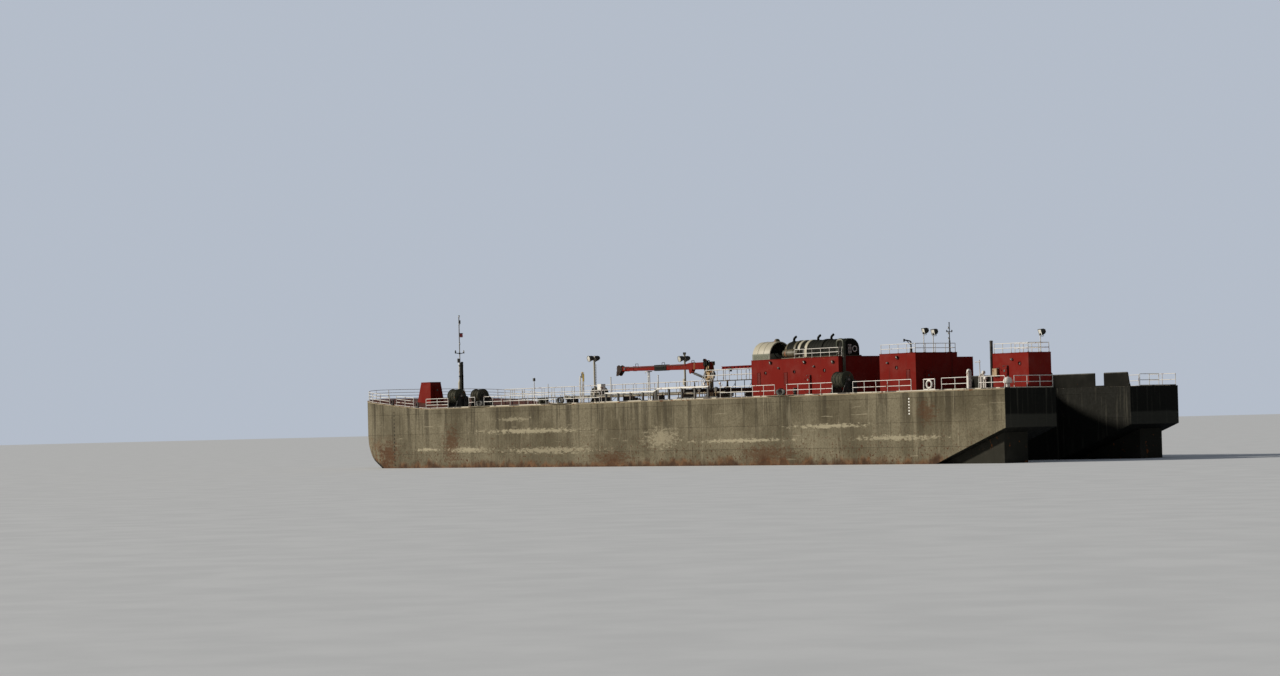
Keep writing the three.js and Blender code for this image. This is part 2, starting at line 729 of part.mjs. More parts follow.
// The foremast, with an exhaust stack strapped to its aft side.
function foremast() {
  const { x, height, foot, lower, upper, arm, armHalf } = FOREMAST;
  const deck = DEPTH + sheer(x);
  const profile = [
    [0, -60],
    [foot.radius, -60],
    [foot.radius, foot.top],
    [lower.radius, foot.shoulder],
    [lower.radius, lower.top],
    [upper, lower.top],
    [upper, height],
    [0, height],
  ];
  const pole = turned(profile, 12);
  const cross = bar([0, -armHalf, arm], [0, armHalf, arm], 5);
  const tips = [-armHalf, armHalf].map((tip) => bar([0, tip, arm - 4], [0, tip, arm + 34], 8));
  const lamp = block(upper - 2, upper + 16, -8, 8, height, height + 24);
  const lamps = [24, 120, 260, 360].map((drop) => lamp.translate([0, 0, -drop]));
  const box = block(-28, 0, -13, 13, arm - 115, arm - 65);
  const { offset, straps } = STACK;
  const pipe = exhaustPipe(STACK.radius, STACK.height).translate([offset, 0, 0]);
  const base = block(-20, offset + 26, -26, 26, -60, 10);
  const holds = straps.map((z) => block(0, offset, -5, 5, z, z + 12));
  return seated(joined([pole, cross, ...tips, ...lamps, box, pipe, base, ...holds]).translate([x, 0, deck]));
}

// An upright exhaust pipe with a rim, from under the deck's level.
function exhaustPipe(radius, height) {
  const pipe = bar([0, 0, -60], [0, 0, height], radius, 12);
  return pipe.add(bar([0, 0, height - 14], [0, 0, height - 4], radius + 2, 12));
}

// Light towers: name, place, height of the lamps' centres, and how far the pole stands above them
const LIGHT_TOWERS = [
  { name: "forward_light_tower", x: -2197, y: 0, height: 530, above: 12 },
  { name: "midship_light_tower", x: -1724, y: 950, height: 507, above: 70 },
];
const TOWER = { pole: 12, lamp: 36, spread: 42, front: -38, back: 28 };

// Two round floodlights side by side on an arm, facing forward, on a pole.
function lightTower({ height, above }) {
  const { pole: thick, lamp, spread, front, back } = TOWER;
  const pole = bar([0, 0, 0], [0, 0, height + above], thick);
  const foot = block(-30, 30, -30, 30, 0, 8);
  const arm = bar([0, -spread, height], [0, spread, height], 6);
  const lamps = [-spread, spread].map((y) => bar([front, y, height - 6], [back, y, height + 6], lamp, 12));
  return joined([pole, foot, arm, ...lamps]);
}

// Heavy fore-and-aft pipe in place of the port rail: its aft run is higher, and broad posts carry both runs.
const SIDE_PIPE = {
  y: -1100,
  radius: 9,
  post: 26,
  runs: [
    { from: -490, to: 420, height: 98, posts: 5 },
    { from: 410, to: 1330, height: 124, posts: 5 },
  ],
};

function sidePipe() {
  const { radius, post, runs } = SIDE_PIPE;
  const solids = [];
  for (const { from, to, height, posts } of runs) {
    solids.push(bar([from, 0, height], [to, 0, height], radius, 10));
    for (let i = 0; i < posts; i++) {
      const x = from + post / 2 + ((to - from - post) * i) / (posts - 1);
      solids.push(block(x - post / 2, x + post / 2, -radius + 1, radius - 1, 0, height));
    }
  }
  return joined(solids);
}

// The catwalk: plates on legs, with rails on both sides. Stringers slope up from the low run to the high one
// over the manifold, where a beam runs above.
const HIGH_END = HOUSES.main.x - GAP;
const CATWALK = {
  y: -300,
  width: 110,
  plate: 8,
  leg: 10,
  low: { from: -3600, to: 190, top: 95, legs: 10, rails: [[-3600, -2180], [-2000, 190]] },
  high: { from: 250, to: HIGH_END, top: 205, legs: [0, 0.37, 0.64, 1], rails: [[250, HIGH_END]] },
  beam: { from: 480, low: 326, high: 354, width: 24, posts: [500, 890, 1270] },
};

function catwalkRun({ from, to, top, rails }, shares) {
  const { width, plate, leg } = CATWALK;
  const solids = [block(from, to, -RAIL.bar / 2, width + RAIL.bar / 2, top - plate, top)];
  for (const share of shares) {
    const x = from + leg / 2 + (to - from - leg) * share;
    for (const y of [leg / 2, width - leg / 2]) {
      solids.push(block(x - leg / 2, x + leg / 2, y - leg / 2, y + leg / 2, 0, top - plate / 2));
    }
  }
  for (const [start, end] of rails) {
    for (const y of [0, width]) {
      solids.push(railPanel(end - start).translate([start, y, top - 1]));
    }
  }
  return joined(solids);
}

function catwalk() {
  const { low } = CATWALK;
  return catwalkRun(low, Array.from({ length: low.legs }, (_, i) => i / (low.legs - 1)));
}

function manifoldCatwalk() {
  const { width, plate, leg, low, high, beam } = CATWALK;
  const solids = [catwalkRun(high, high.legs)];
  for (const y of [leg / 2, width - leg / 2]) {
    const foot = [low.to, y, low.top - plate / 2];
    const head = [high.from + 1, y, high.top - plate / 2];
    solids.push(bar(foot, head, leg / 2, 4).trimByPlane([1, 0, 0], low.to + GAP));
  }
  const middle = width / 2;
  const half = beam.width / 2;
  solids.push(block(beam.from, high.to, middle - half, middle + half, beam.low, beam.high));
  const post = block(-leg / 2, leg / 2, middle - leg / 2, middle + leg / 2, high.top - 1, beam.low + 1);
  solids.push(...beam.posts.map((x) => post.translate([x, 0, 0])));
  return joined(solids);
}

// Cargo pipes along the middle, from the forward tanks to the pump house
const CARGO_RUN = { x0: -3000, x1: 470, spread: 60, y: 210, height: 92, radius: 18, posts: 7 };

function cargoRun() {
  const { x0, x1, spread, height, radius, posts } = CARGO_RUN;
  const pipes = [-spread, spread].map((y) => bar([x0, y, height], [x1, y, height], radius, 8));
  const racks = Array.from({ length: posts }, (_, i) => {
    const x = x0 + 60 + ((x1 - x0 - 120) * i) / (posts - 1);
    return block(x - 6, x + 6, -spread - 26, spread + 26, 0, height);
  });
  return joined([...pipes, ...racks]);
}

// The cargo manifold: athwartship pipes with valves, between a drip tray on each side
const MANIFOLD = { x: 780, pitch: 280, pipes: 3, reach: 830, height: 100, radius: 16, tray: 120 };

function manifold() {
  const { pitch, pipes, reach, height, radius, tray } = MANIFOLD;
  const span = (pitch * (pipes - 1)) / 2;
  const solids = [];
  for (const side of [-1, 1]) {
    const near = side * (reach - tray);
    const far = side * reach;
    const floor = block(-span - 70, span + 70, Math.min(near, far), Math.max(near, far), 0, 30);
    const well = block(-span - 64, span + 64, Math.min(near, far) + 6, Math.max(near, far) - 6, 8, 40);
    solids.push(floor.subtract(well));
  }
  for (let i = 0; i < pipes; i++) {
    const x = -span + i * pitch;
    solids.push(bar([x, -reach + 30, height], [x, reach - 30, height], radius, 8));
    for (const side of [-1, 1]) {
      const y = side * (reach - 34);
      solids.push(bar([x, y - 5, height], [x, y + 5, height], radius + 12, 8));
      solids.push(block(x - 7, x + 7, y - 4, y + 4, 5, height));
      const valve = side * (reach - 190);
      solids.push(block(x - 24, x + 24, valve - 22, valve + 22, height - 24, height + 30));
      solids.push(bar([x, valve, height + 20], [x, valve, height + 96], 5, 4));
      solids.push(bar([x, valve, height + 92], [x, valve, height + 100], 34, 8));
    }
  }
  return joined(solids);
}

// Tank hatches with hinged lids
const HATCHES = [
  { name: "forward_hatch", x: -2650, y: -420 },
  { name: "middle_hatch", x: -450, y: 560 },
];
const HATCH = { radius: 52, height: 70, wall: 8, lid: 10, lip: 8, hinge: 74 };

function hatchTrunk() {
  const { radius, height, wall, hinge } = HATCH;
  const outer = bar([0, 0, 0], [0, 0, height], radius, 20);
  const inner = bar([0, 0, 12], [0, 0, height + 5], radius - wall, 20);
  const shelf = [-26, 14].map((y) => block(radius - 6, hinge + 5, y, y + 12, height - 22, height - 8 - GAP));
  const ears = [-26, 14].map((y) => block(hinge - 5, hinge + 5, y, y + 12, height - 22, height + 11));
  const pin = bar([hinge, -26, height + 5], [hinge, 26, height + 5], 3);
  return joined([outer.subtract(inner), ...shelf, ...ears, pin]);
}

// The lid; its hinge axis is at x = hinge, z = 5 above the trunk's rim.
function hatchLid() {
  const { radius, lid, lip, hinge } = HATCH;
  const plate = bar([0, 0, 0.5], [0, 0, lid], radius + lip, 20);
  const arm = block(radius - 10, hinge + 5, -12, 12, 0.5, lid - 1);
  const eye = bar([hinge, -12, 5], [hinge, 12, 5], 7, 12);
  const bore = bar([hinge, -20, 5], [hinge, 20, 5], 3.5, 12);
  const grip = block(-12, 12, -3, 3, lid - 1, lid + 12);
  return joined([plate, arm, eye, grip]).subtract(bore);
}

// Roof machinery of the main house, measured from the house's forward port corner
const HOOD = { x: 3, y: 8, length: 290, width: 300, height: 190 };

function arch(width, height, inset, steps = 8) {
  const rise = width / 2 - inset;
  const top = Array.from({ length: steps + 1 }, (_, i) => {
    const angle = (Math.PI * i) / steps;
    return [width / 2 + rise * Math.cos(angle), height - rise + rise * Math.sin(angle)];
  });
  return [[inset, 0], [width - inset, 0], ...top];
}

function roofHood() {
  const { length, width, height } = HOOD;
  const body = prism(arch(width, height, 0), "x", 0, length);
  const mouth = prism(arch(width, height, 14), "x", length - 60, length + PAST).translate([0, 0, 14]);
  return body.subtract(mouth);
}

const COOLER = {
  x: 345,
  y: 190,
  lane: 230,
  length: 1010,
  radius: 108,
  height: 172,
  bands: [200, 275, 350, 620],
  elbows: [90, 480, 690],
};
const SILENCER = { x: 395, y: 85, length: 260, radius: 42 };

// The long half-round cooler casing with bands, exhaust elbows, a silencer and the hood, all on one skid.
function roofMachinery() {
  const { length, radius, height, bands } = COOLER;
  const hood = roofHood().translate([HOOD.x - COOLER.x, HOOD.y - COOLER.lane, 0]);
  const start = HOOD.x + HOOD.length - COOLER.x - PAST;
  const skid = block(start, length, SILENCER.y - COOLER.y - 30, radius + 20, 0, 12);
  const casing = prism(arch(2 * radius, height, 0), "x", 0, length).translate([0, -radius, 11]);
  const band = prism(arch(2 * radius + 16, height + 8, 0), "x", 0, 40).translate([0, -radius - 8, 11]);
  const rings = bands.map((x) => band.translate([x, 0, 0]));
  const elbows = COOLER.elbows.map((x) => {
    const riser = bar([x, 0, height], [x, 0, height + 50], 12, 10);
    const spout = bar([x, 0, height + 42], [x + 34, 0, height + 58], 12, 10);
    return riser.add(spout);
  });
  const y = SILENCER.y - COOLER.y;
  const shell = bar([50, y, 58], [50 + SILENCER.length, y, 58], SILENCER.radius, 16);
  const feet = [90, 270].map((x) => block(x - 8, x + 8, y - 24, y + 24, 11, 40));
  return joined([skid, hood, casing, ...rings, ...elbows, shell, ...feet]);
}

const RISER = { y: 60, radius: 11, top: 560, low: 215, out: 20 };

// A pipe that leaves the cooler's end, bends over the roof's edge and runs down the aft wall.
function riserPipe() {
  const { radius, top, low, out } = RISER;
  return joined([
    bar([-80, 0, top], [out, 0, top], radius, 10),
    bar([out, 0, top + radius], [out, 0, low], radius, 10),
    bar([-80, 0, top + radius], [-80, 0, HOUSES.main.height + GAP], radius, 10),
    block(GAP, out, -7, 7, low + 20, low + 34),
  ]);
}

const ROOF_RAIL = { height: 92, spacing: 130 };

// A rail round part of a roof, from corner [x, y] to corner, with lamp poles on it.
function roofRail(corners, lamps = []) {
  const { height, spacing } = ROOF_RAIL;
  const solids = lamps.map(lampPole);
  corners.forEach(([x, y], i) => {
    if (i === 0) {
      return;
    }
    const [px, py] = corners[i - 1];
    const length = Math.hypot(x - px, y - py) + RAIL.bar / 2;
    const degrees = (Math.atan2(y - py, x - px) * 180) / Math.PI;
    solids.push(railPanel(length, spacing, height).rotate([0, 0, degrees]).translate([px, py, 0]));
  });
  return joined(solids);
}

// A bar from a roof rail's top bar to what stands beside it, from [x, y] to [x, y].
function strut(from, to, height) {
  const z = height - RAIL.bar / 2;
  return bar([...from, z], [...to, z], RAIL.bar / 2, 4);
}

const LAMP = { pole: 5, width: 40, depth: 60, height: 56 };

// A pole with a floodlight on top.
function lampPole({ x, y, height }) {
  const pole = bar([0, 0, 0], [0, 0, height - 1], LAMP.pole);
  const { width, depth, height: tall } = LAMP;
  const lamp = block(-width / 2, width / 2, -depth / 2, depth / 2, height - tall, height);
  return pole.add(lamp).translate([x, y, 0]);
}

// The navigation mast stands beside the middle house's roof rail and is clamped to it.
const NAV_MAST = { x: 480, y: 510, clamps: [51, ROOF_RAIL.height] };

function navMast() {
  const pole = turned([[0, 0], [9, 0], [9, 120], [5, 120], [5, 300], [0, 300]], 8);
  const foot = block(-16, 16, -16, 16, 0, 5);
  const fittings = [130, 180, 235].map((z) => block(-18, 8, -8, 8, z, z + 18));
  const yard = bar([0, -34, 205], [0, 34, 205], 4);
  return joined([pole, foot, ...fittings, yard]);
}

// A davit on the middle house's roof: a swivelling post with an arm.
function davit() {
  const post = bar([0, 0, 6], [0, 0, 116], 7, 10);
  const arm = bar([0, 0, 110], [0, -90, 126], 6, 8);
  const head = bar([0, -90, 136], [0, -90, 108], 8, 8);
  return joined([post, arm, head]);
}

function davitStep() {
  const outer = turned([[0, 0], [18, 0], [18, 6], [13, 6], [13, 40], [0, 40]], 16);
  return outer.subtract(bar([0, 0, 6 - GAP], [0, 0, 60], 7.6, 16));
}

// Stern deck: an upright vessel, mushroom vents and an exhaust pipe on one base
function sternVents() {
  const base = block(-225, 160, -34, 34, 0, 8);
  const caps = [[-20, 150], [14, 175], [42, 120]].map(([x, height]) => {
    const head = height - 26;
    const profile = [[0, 0], [8, 0], [8, head], [17, head], [17, height - 8], [9, height], [0, height]];
    return turned(profile, 10).translate([x, 0, 4]);
  });
  const r = 24;
  const vessel = turned([[0, 0], [r, 0], [r, 170], [r * 0.7, 190], [0, 198]], 14);
  const exhaust = exhaustPipe(15, 462).trimByPlane([0, 0, 1], 4).translate([130, 0, 0]);
  return joined([base, ...caps, vessel.translate([-190, 0, 4]), exhaust]);
}

// Assembly

const barge = new THREE.Group();

function onDeck(name, solid, material, x, y) {
  barge.add(piece(name, solid, material, x, y, FLOOR));
}

function addHull() {
  for (const section of SECTIONS) {
    barge.add(piece(section.name, hullSection(section), PAINT.hull));
  }
  const y = HALF - SKEG.inset - SKEG.width / 2;
  barge.add(piece("port_skeg", skeg(), PAINT.hull, 0, -y));
  barge.add(piece("starboard_skeg", skeg(), PAINT.hull, 0, y));
  barge.add(piece("notch_coaming", notchCoaming(), PAINT.dark));
}

function addRails() {
  const y = HALF - RAIL.inset;
  onDeck("port_rail", sideRail(RAIL_RUNS.port), PAINT.white, 0, -y);
  onDeck("starboard_rail", sideRail(RAIL_RUNS.starboard).mirror([0, 1, 0]), PAINT.white, 0, y);
  barge.add(piece("bow_rail", bowRail(), PAINT.white));
}

function addMooring() {
  const bittLine = HALF - BITT.inboard;
  STATIONS.forEach((x, i) => {
    onDeck(`port_bitts_${i + 1}`, bitts(), PAINT.dark, x, -bittLine);
    onDeck(`starboard_bitts_${i + 1}`, bitts(), PAINT.dark, x, bittLine);
  });
  for (const winch of WINCHES) {
    const lift = DEPTH + sheer(winch.x - winch.length);
    const place = [winch.x, winch.y, lift + GAP];
    const frame = seated(winchFrame(winch).translate(place)).translate(place.map((value) => -value));
    const group = new THREE.Group();
    group.position.set(...place);
    group.add(piece(`${winch.name}_frame`, frame, PAINT.dark));
    group.add(piece(`${winch.name}_drum`, winchDrum(winch), PAINT.olive, 0, 0, winch.centre));
    barge.add(group);
  }
}

function addDoor(name, x, y, z, degrees) {
  barge.add(piece(name, doorLeaf().rotate([0, 0, degrees]), PAINT.red, x, y, z + DOOR.sill));
}

function addHouses() {
  const { main, middle, stern } = HOUSES;
  onDeck("main_house", mainHouse(), PAINT.red, main.x, main.y);
  addDoor("main_house_door", main.x + HINGES.main, main.y - DOOR_STAND, FLOOR, FACING.port);
  const engine = block(150, 700, 350, 650, 0, 190);
  onDeck("pump_engine", engine, PAINT.steel, main.x, main.y);
  onDeck("middle_house", middleHouse(), PAINT.red, middle.x, middle.y);
  const aftWall = middle.x + middle.length + DOOR_STAND;
  addDoor("middle_house_door", aftWall, middle.y + HINGES.middle, FLOOR, FACING.aft);
  onDeck("stern_house", sternHouse(), PAINT.red, stern.x, stern.y);
  addDoor("stern_house_door", stern.x + HINGES.stern, stern.y - DOOR_STAND, FLOOR, FACING.port);
  barge.add(piece("forward_house", forwardHouse(), PAINT.red));
  const forwardWall = FORWARD.x1 + DOOR_STAND;
  addDoor("forward_house_door", forwardWall, FORWARD.y0 + HINGES.forward, FORWARD_LIFT, FACING.aft);
}

function addRoofGear() {
  const { main, middle, stern } = HOUSES;
  const roof = FLOOR + main.height + GAP;
  const machinery = piece("roof_machinery", roofMachinery(), PAINT.olive);
  machinery.position.set(main.x + COOLER.x, main.y + COOLER.lane, roof);
  barge.add(machinery);
  const inset = 14;
  const mainAft = main.length - inset;
  const mainRail = roofRail([[700, inset], [mainAft, inset], [mainAft, RISER.y]]);
  const riser = riserPipe().translate([main.length, RISER.y, FLOOR - roof]);
  const clamp = strut([mainAft, RISER.y - 2], [main.length + RISER.out, RISER.y - 2], ROOF_RAIL.height);
  barge.add(piece("main_roof_rail", joined([mainRail, riser, clamp]), PAINT.white, main.x, main.y, roof));
  const middleRoof = FLOOR + middle.height + GAP;
  const edge = 12;
  const aftEdge = middle.length - edge;
  const middleRail = roofRail(
    [[edge, edge], [aftEdge, edge], [aftEdge, middle.width - edge]],
    [{ x: aftEdge, y: 127, height: 230 }, { x: aftEdge, y: 253, height: 220 }],
  );
  const mast = navMast().translate([NAV_MAST.x, NAV_MAST.y, 0]);
  const clamps = NAV_MAST.clamps.map((z) => strut([NAV_MAST.x, NAV_MAST.y], [aftEdge, NAV_MAST.y], z));
  const middleGear = joined([middleRail, mast, ...clamps]);
  barge.add(piece("middle_roof_rail", middleGear, PAINT.white, middle.x, middle.y, middleRoof));
  barge.add(piece("davit_step", davitStep(), PAINT.dark, middle.x + 430, middle.y + 40, middleRoof));
  barge.add(piece("davit", davit(), PAINT.dark, middle.x + 430, middle.y + 40, middleRoof));
  const sternRoof = FLOOR + stern.height + GAP;
  const [right, top] = [stern.length - edge, stern.width - edge];
  const sternRail = roofRail(
    [[edge, edge], [right, edge], [right, top], [edge, top]],
    [{ x: right, y: 173, height: 204 }],
  );
  barge.add(piece("stern_roof_rail", sternRail, PAINT.white, stern.x, stern.y, sternRoof));
}

function addCrane() {
  const group = new THREE.Group();
  group.position.set(CRANE.x, 0, FLOOR);
  const { tilt } = craneAngles();
  group.add(piece("crane_pedestal", cranePedestal(), PAINT.tan));
  group.add(piece("crane_king", craneKing(), PAINT.red));
  group.add(piece("crane_boom", craneBoom(), PAINT.red, 0, 0, CRANE.pivot));
  group.add(piece("crane_boom_heel", craneBoomHeel(), PAINT.red, 0, 0, CRANE.pivot));
  group.add(piece("crane_head", craneHead(), PAINT.dark, 0, 0, CRANE.pivot));
  const cylinder = new THREE.Group();
  cylinder.position.set(-CRANE.foot.out, 0, CRANE.foot.height);
  cylinder.rotation.y = tilt;
  cylinder.add(piece("luffing_cylinder", craneBarrel(), PAINT.steel));
  cylinder.add(piece("luffing_rod", craneRod(), PAINT.steel));
  group.add(cylinder);
  group.add(piece("crane_crutch", craneCrutch(), PAINT.white, -CRANE.crutch));
  barge.add(group);
}

function addDeckGear() {
  barge.add(piece("foremast", foremast(), PAINT.dark));
  for (const tower of LIGHT_TOWERS) {
    onDeck(tower.name, lightTower(tower), PAINT.dark, tower.x, tower.y);
  }
  onDeck("side_pipe", sidePipe(), PAINT.dark, 0, SIDE_PIPE.y);
  onDeck("catwalk", catwalk(), PAINT.white, 0, CATWALK.y);
  onDeck("manifold_catwalk", manifoldCatwalk(), PAINT.white, 0, CATWALK.y);
  onDeck("cargo_pipes", cargoRun(), PAINT.cream, 0, CARGO_RUN.y);
  onDeck("cargo_manifold", manifold(), PAINT.dark, MANIFOLD.x, 0);
  for (const { name, x, y } of HATCHES) {
    onDeck(`${name}_trunk`, hatchTrunk(), PAINT.olive, x, y);
    barge.add(piece(`${name}_lid`, hatchLid(), PAINT.olive, x, y, FLOOR + HATCH.height));
  }
  onDeck("stern_vents", sternVents(), PAINT.white, 4950, -620);
}

addHull();
addRails();
addMooring();
addHouses();
addRoofGear();
addCrane();
addDeckGear();

export default barge;
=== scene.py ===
"""The looks of a one-tenth scale tank barge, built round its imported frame.

Metres in the frame's own axes: +X aft to the transom, +Y to starboard, +Z up, the base line at 0.
A shape is a pair: its points as an (n, 3) array, and a list of arrays of faces, where each face is one row of
point numbers.
"""
import json
import math

import bmesh
import bpy
import numpy as np
from mathutils import Matrix, Vector

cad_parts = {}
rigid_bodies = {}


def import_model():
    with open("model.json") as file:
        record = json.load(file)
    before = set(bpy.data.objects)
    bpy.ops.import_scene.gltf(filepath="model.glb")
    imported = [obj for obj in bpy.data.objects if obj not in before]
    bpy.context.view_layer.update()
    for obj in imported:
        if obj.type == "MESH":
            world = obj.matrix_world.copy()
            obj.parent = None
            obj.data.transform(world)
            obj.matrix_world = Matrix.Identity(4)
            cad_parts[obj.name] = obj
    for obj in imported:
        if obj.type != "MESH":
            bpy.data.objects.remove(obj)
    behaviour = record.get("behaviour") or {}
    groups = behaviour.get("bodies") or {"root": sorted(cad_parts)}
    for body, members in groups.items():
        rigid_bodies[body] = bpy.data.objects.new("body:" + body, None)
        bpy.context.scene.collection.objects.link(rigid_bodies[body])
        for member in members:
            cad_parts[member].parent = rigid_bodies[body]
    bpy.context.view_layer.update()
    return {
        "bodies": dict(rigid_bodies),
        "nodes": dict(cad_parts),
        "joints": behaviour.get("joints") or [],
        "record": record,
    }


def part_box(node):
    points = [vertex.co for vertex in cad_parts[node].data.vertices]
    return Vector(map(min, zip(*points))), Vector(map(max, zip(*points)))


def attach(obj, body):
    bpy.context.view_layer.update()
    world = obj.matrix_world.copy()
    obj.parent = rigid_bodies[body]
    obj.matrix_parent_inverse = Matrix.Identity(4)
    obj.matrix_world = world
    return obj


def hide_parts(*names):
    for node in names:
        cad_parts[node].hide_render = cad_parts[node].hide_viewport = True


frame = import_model()

# Driving dimensions of the hull, the same as the frame's
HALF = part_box("hull")[1].y
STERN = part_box("port_stern_wing")[1].x
DECK = 1.0
WATERLINE = 0.305
SEAT = 0.0003  # gap between a piece and what it stands on
SHEER = {"start": -4.0, "rise": 0.150, "power": 1.1}
BOW_FULLNESS = 0.6
RAKE = {"start": 3.92, "foot": 0.637}
NOTCH = {"half": 0.492, "front": 4.4, "shoulder": 4.8}
BILGE = 0.055
# Height, shoulder and nose of the bow's rounded plan
BOW_LEVELS = np.array([
    (0.000, -3.80, -4.70),
    (0.055, -4.05, -4.97),
    (0.150, -4.35, -5.23),
    (0.305, -4.62, -5.43),
    (0.400, -4.75, -5.62),
    (0.540, -4.80, -5.75),
    (0.700, -4.80, -5.80),
    (1.000, -4.80, -5.80),
])
RAIL = {"height": 0.118, "pipe": 0.0032, "inset": 0.014}
STATIONS = (-2.9, -1.3, 2.54)


# Shapes

# The eight points of a rectangle with cut corners: their sides, and along which side each is cut
CORNER_U = np.array([1, 1, 1, -1, -1, -1, -1, 1])
CORNER_V = np.array([-1, 1, 1, 1, 1, -1, -1, -1])
CUT_U = np.array([0, 0, 1, 1, 0, 0, 1, 1])


def joined(*shapes):
    """One shape of several: the points one after the other, and the faces with their numbers moved up."""
    points, faces, start = [], [], 0
    for some, rows in shapes:
        points.append(some)
        faces += [row + start for row in rows]
        start += len(some)
    return np.concatenate(points), faces


def moved(shape, offset):
    return shape[0] + np.asarray(offset, float), shape[1]


def turned(shape, degrees, axis="Z", about=(0, 0, 0)):
    """A shape turned round an axis through a point: every point times one rotation matrix."""
    matrix = np.array(Matrix.Rotation(math.radians(degrees), 3, axis))
    about = np.asarray(about, float)
    return (shape[0] - about) @ matrix.T + about, shape[1]


def mirrored(shape):
    """The same shape on the other side of the centre plane: y changes sign, and each face runs the other
    way."""
    return shape[0] * (1, -1, 1), [rows[:, ::-1] for rows in shape[1]]


def copies(shape, offsets):
    """A shape repeated at each offset: points (copies, n, 3), faces moved up by n for each copy."""
    points, faces = shape
    offsets = np.asarray(offsets, float)
    start = np.arange(len(offsets))[:, None, None] * len(points)
    spread = (points[None] + offsets[:, None]).reshape(-1, 3)
    return spread, [(rows[None] + start).reshape(-1, rows.shape[1]) for rows in faces]


def grid_faces(rows, columns, closed=True):
    """Quads between neighbouring rows and columns of a grid; closed joins the last column to the first."""
    row = np.arange(rows - 1)[:, None] * columns
    column = np.arange(columns if closed else columns - 1)[None]
    after = (column + 1) % columns
    quads = [row + column, row + after, row + columns + after, row + columns + column]
    return np.stack(quads, -1).reshape(-1, 4)


def shells(rings):
    """Closed shells from rings (shells, rows, columns, 3) that run counterclockwise round their path.

    Each row is joined to the next, and the first and last are closed by a flat face.
    """
    count, rows, columns = rings.shape[:3]
    last = (rows - 1) * columns
    caps = np.stack([np.arange(columns)[::-1], last + np.arange(columns)])
    start = (np.arange(count) * rows * columns)[:, None, None]
    quads = (grid_faces(rows, columns)[None] + start).reshape(-1, 4)
    return rings.reshape(-1, 3), [quads, (caps[None] + start).reshape(-1, columns)]


def unit(vectors):
    return vectors / np.linalg.norm(vectors, axis=-1, keepdims=True)


def rods(starts, ends, radius, sides=8):
    """Straight round bars: a circle in the plane across each bar, carried from its start to its end."""
    starts, ends = np.broadcast_arrays(np.atleast_2d(starts).astype(float), np.atleast_2d(ends))
    along = unit(ends - starts)
    upright = np.abs(along[:, 2:]) > 0.9
    across = unit(np.cross(np.where(upright, (1.0, 0, 0), (0, 0, 1.0)), along))
    third = np.cross(along, across)
    angle = 2 * np.pi * np.arange(sides) / sides
    ring = np.cos(angle)[:, None] * across[:, None] + np.sin(angle)[:, None] * third[:, None]
    ring = ring * np.broadcast_to(radius, len(starts))[:, None, None]
    return shells(np.stack([starts[:, None] + ring, ends[:, None] + ring], 1))


def rod(start, end, radius, sides=12):
    return rods([start], [end], radius, sides)


def blocks(lows, highs, bevel=0.0015):
    """Boxes with cut edges: a rectangle with cut corners carried up through four levels, drawn in at both
    ends."""
    lows, highs = np.atleast_2d(lows).astype(float), np.atleast_2d(highs).astype(float)
    middle, half = (lows + highs) / 2, (highs - lows) / 2
    cut = np.minimum(bevel, half.min(1) * 0.45)[:, None]
    rings = []
    for level, draw in ((-1, 1), (-1, 0), (1, 0), (1, 1)):
        size = half[:, :2] - cut * draw
        corner = cut * (0.4 if draw else 1.0)
        u = CORNER_U * (size[:, :1] - CUT_U * corner)
        v = CORNER_V * (size[:, 1:] - (1 - CUT_U) * corner)
        w = level * (half[:, 2:] - cut * (1 - draw)) + 0 * u
        rings.append(np.stack([u, v, w], -1) + middle[:, None])
    return shells(np.stack(rings, 1))


def block(low, high, bevel=0.0015):
    return blocks([low], [high], bevel)


def lathe(profile, at=(0, 0, 0), axis="Z", sides=28):
    """A profile [[radius, height], ...] turned round an axis: x = r cos a, y = r sin a, z = h."""
    profile = np.asarray(profile, float)
    angle = 2 * np.pi * np.arange(sides) / sides
    radius, height = np.maximum(profile[:, :1], 1e-4), profile[:, 1:]
    x, y, z = radius * np.cos(angle), radius * np.sin(angle), height + 0 * angle
    order = {"Z": (x, y, z), "X": (z, x, y), "Y": (y, z, x)}[axis]
    return moved(shells(np.stack(order, -1)[None]), at)


def bend(points, radius, steps=6):
    """A polyline with rounded corners: each corner becomes a parabola between points a radius before and
    after it."""
    points = np.asarray(points, float)
    before, corner, after = points[:-2, None], points[1:-1, None], points[2:, None]
    share = np.linspace(0, 1, steps)[None, :, None]
    start = corner + unit(before - corner) * radius
    end = corner + unit(after - corner) * radius
    curve = (1 - share) ** 2 * start + 2 * share * (1 - share) * corner + share**2 * end
    return np.concatenate([points[:1], curve.reshape(-1, 3), points[-1:]])


def swept(path, radius, normal, sides=12, closed=False):
    """A round tube along a path that lies in a plane: a circle of the plane's normal and the path's own
    normal."""
    path = np.asarray(path, float)
    if closed:
        tangent = unit(np.roll(path, -1, 0) - np.roll(path, 1, 0))
    else:
        tangent = unit(np.gradient(path, axis=0))
    normal = unit(np.broadcast_to(np.asarray(normal, float), path.shape))
    side = unit(np.cross(tangent, normal))
    angle = 2 * np.pi * np.arange(sides) / sides
    ring = np.cos(angle)[:, None] * side[:, None] - np.sin(angle)[:, None] * np.cross(side, tangent)[:, None]
    rings = path[:, None] + ring * np.broadcast_to(radius, len(path))[:, None, None]
    if not closed:
        return shells(rings[None])
    return rings.reshape(-1, 3), [np.roll(grid_faces(len(path) + 1, sides) % (len(path) * sides), 0)]


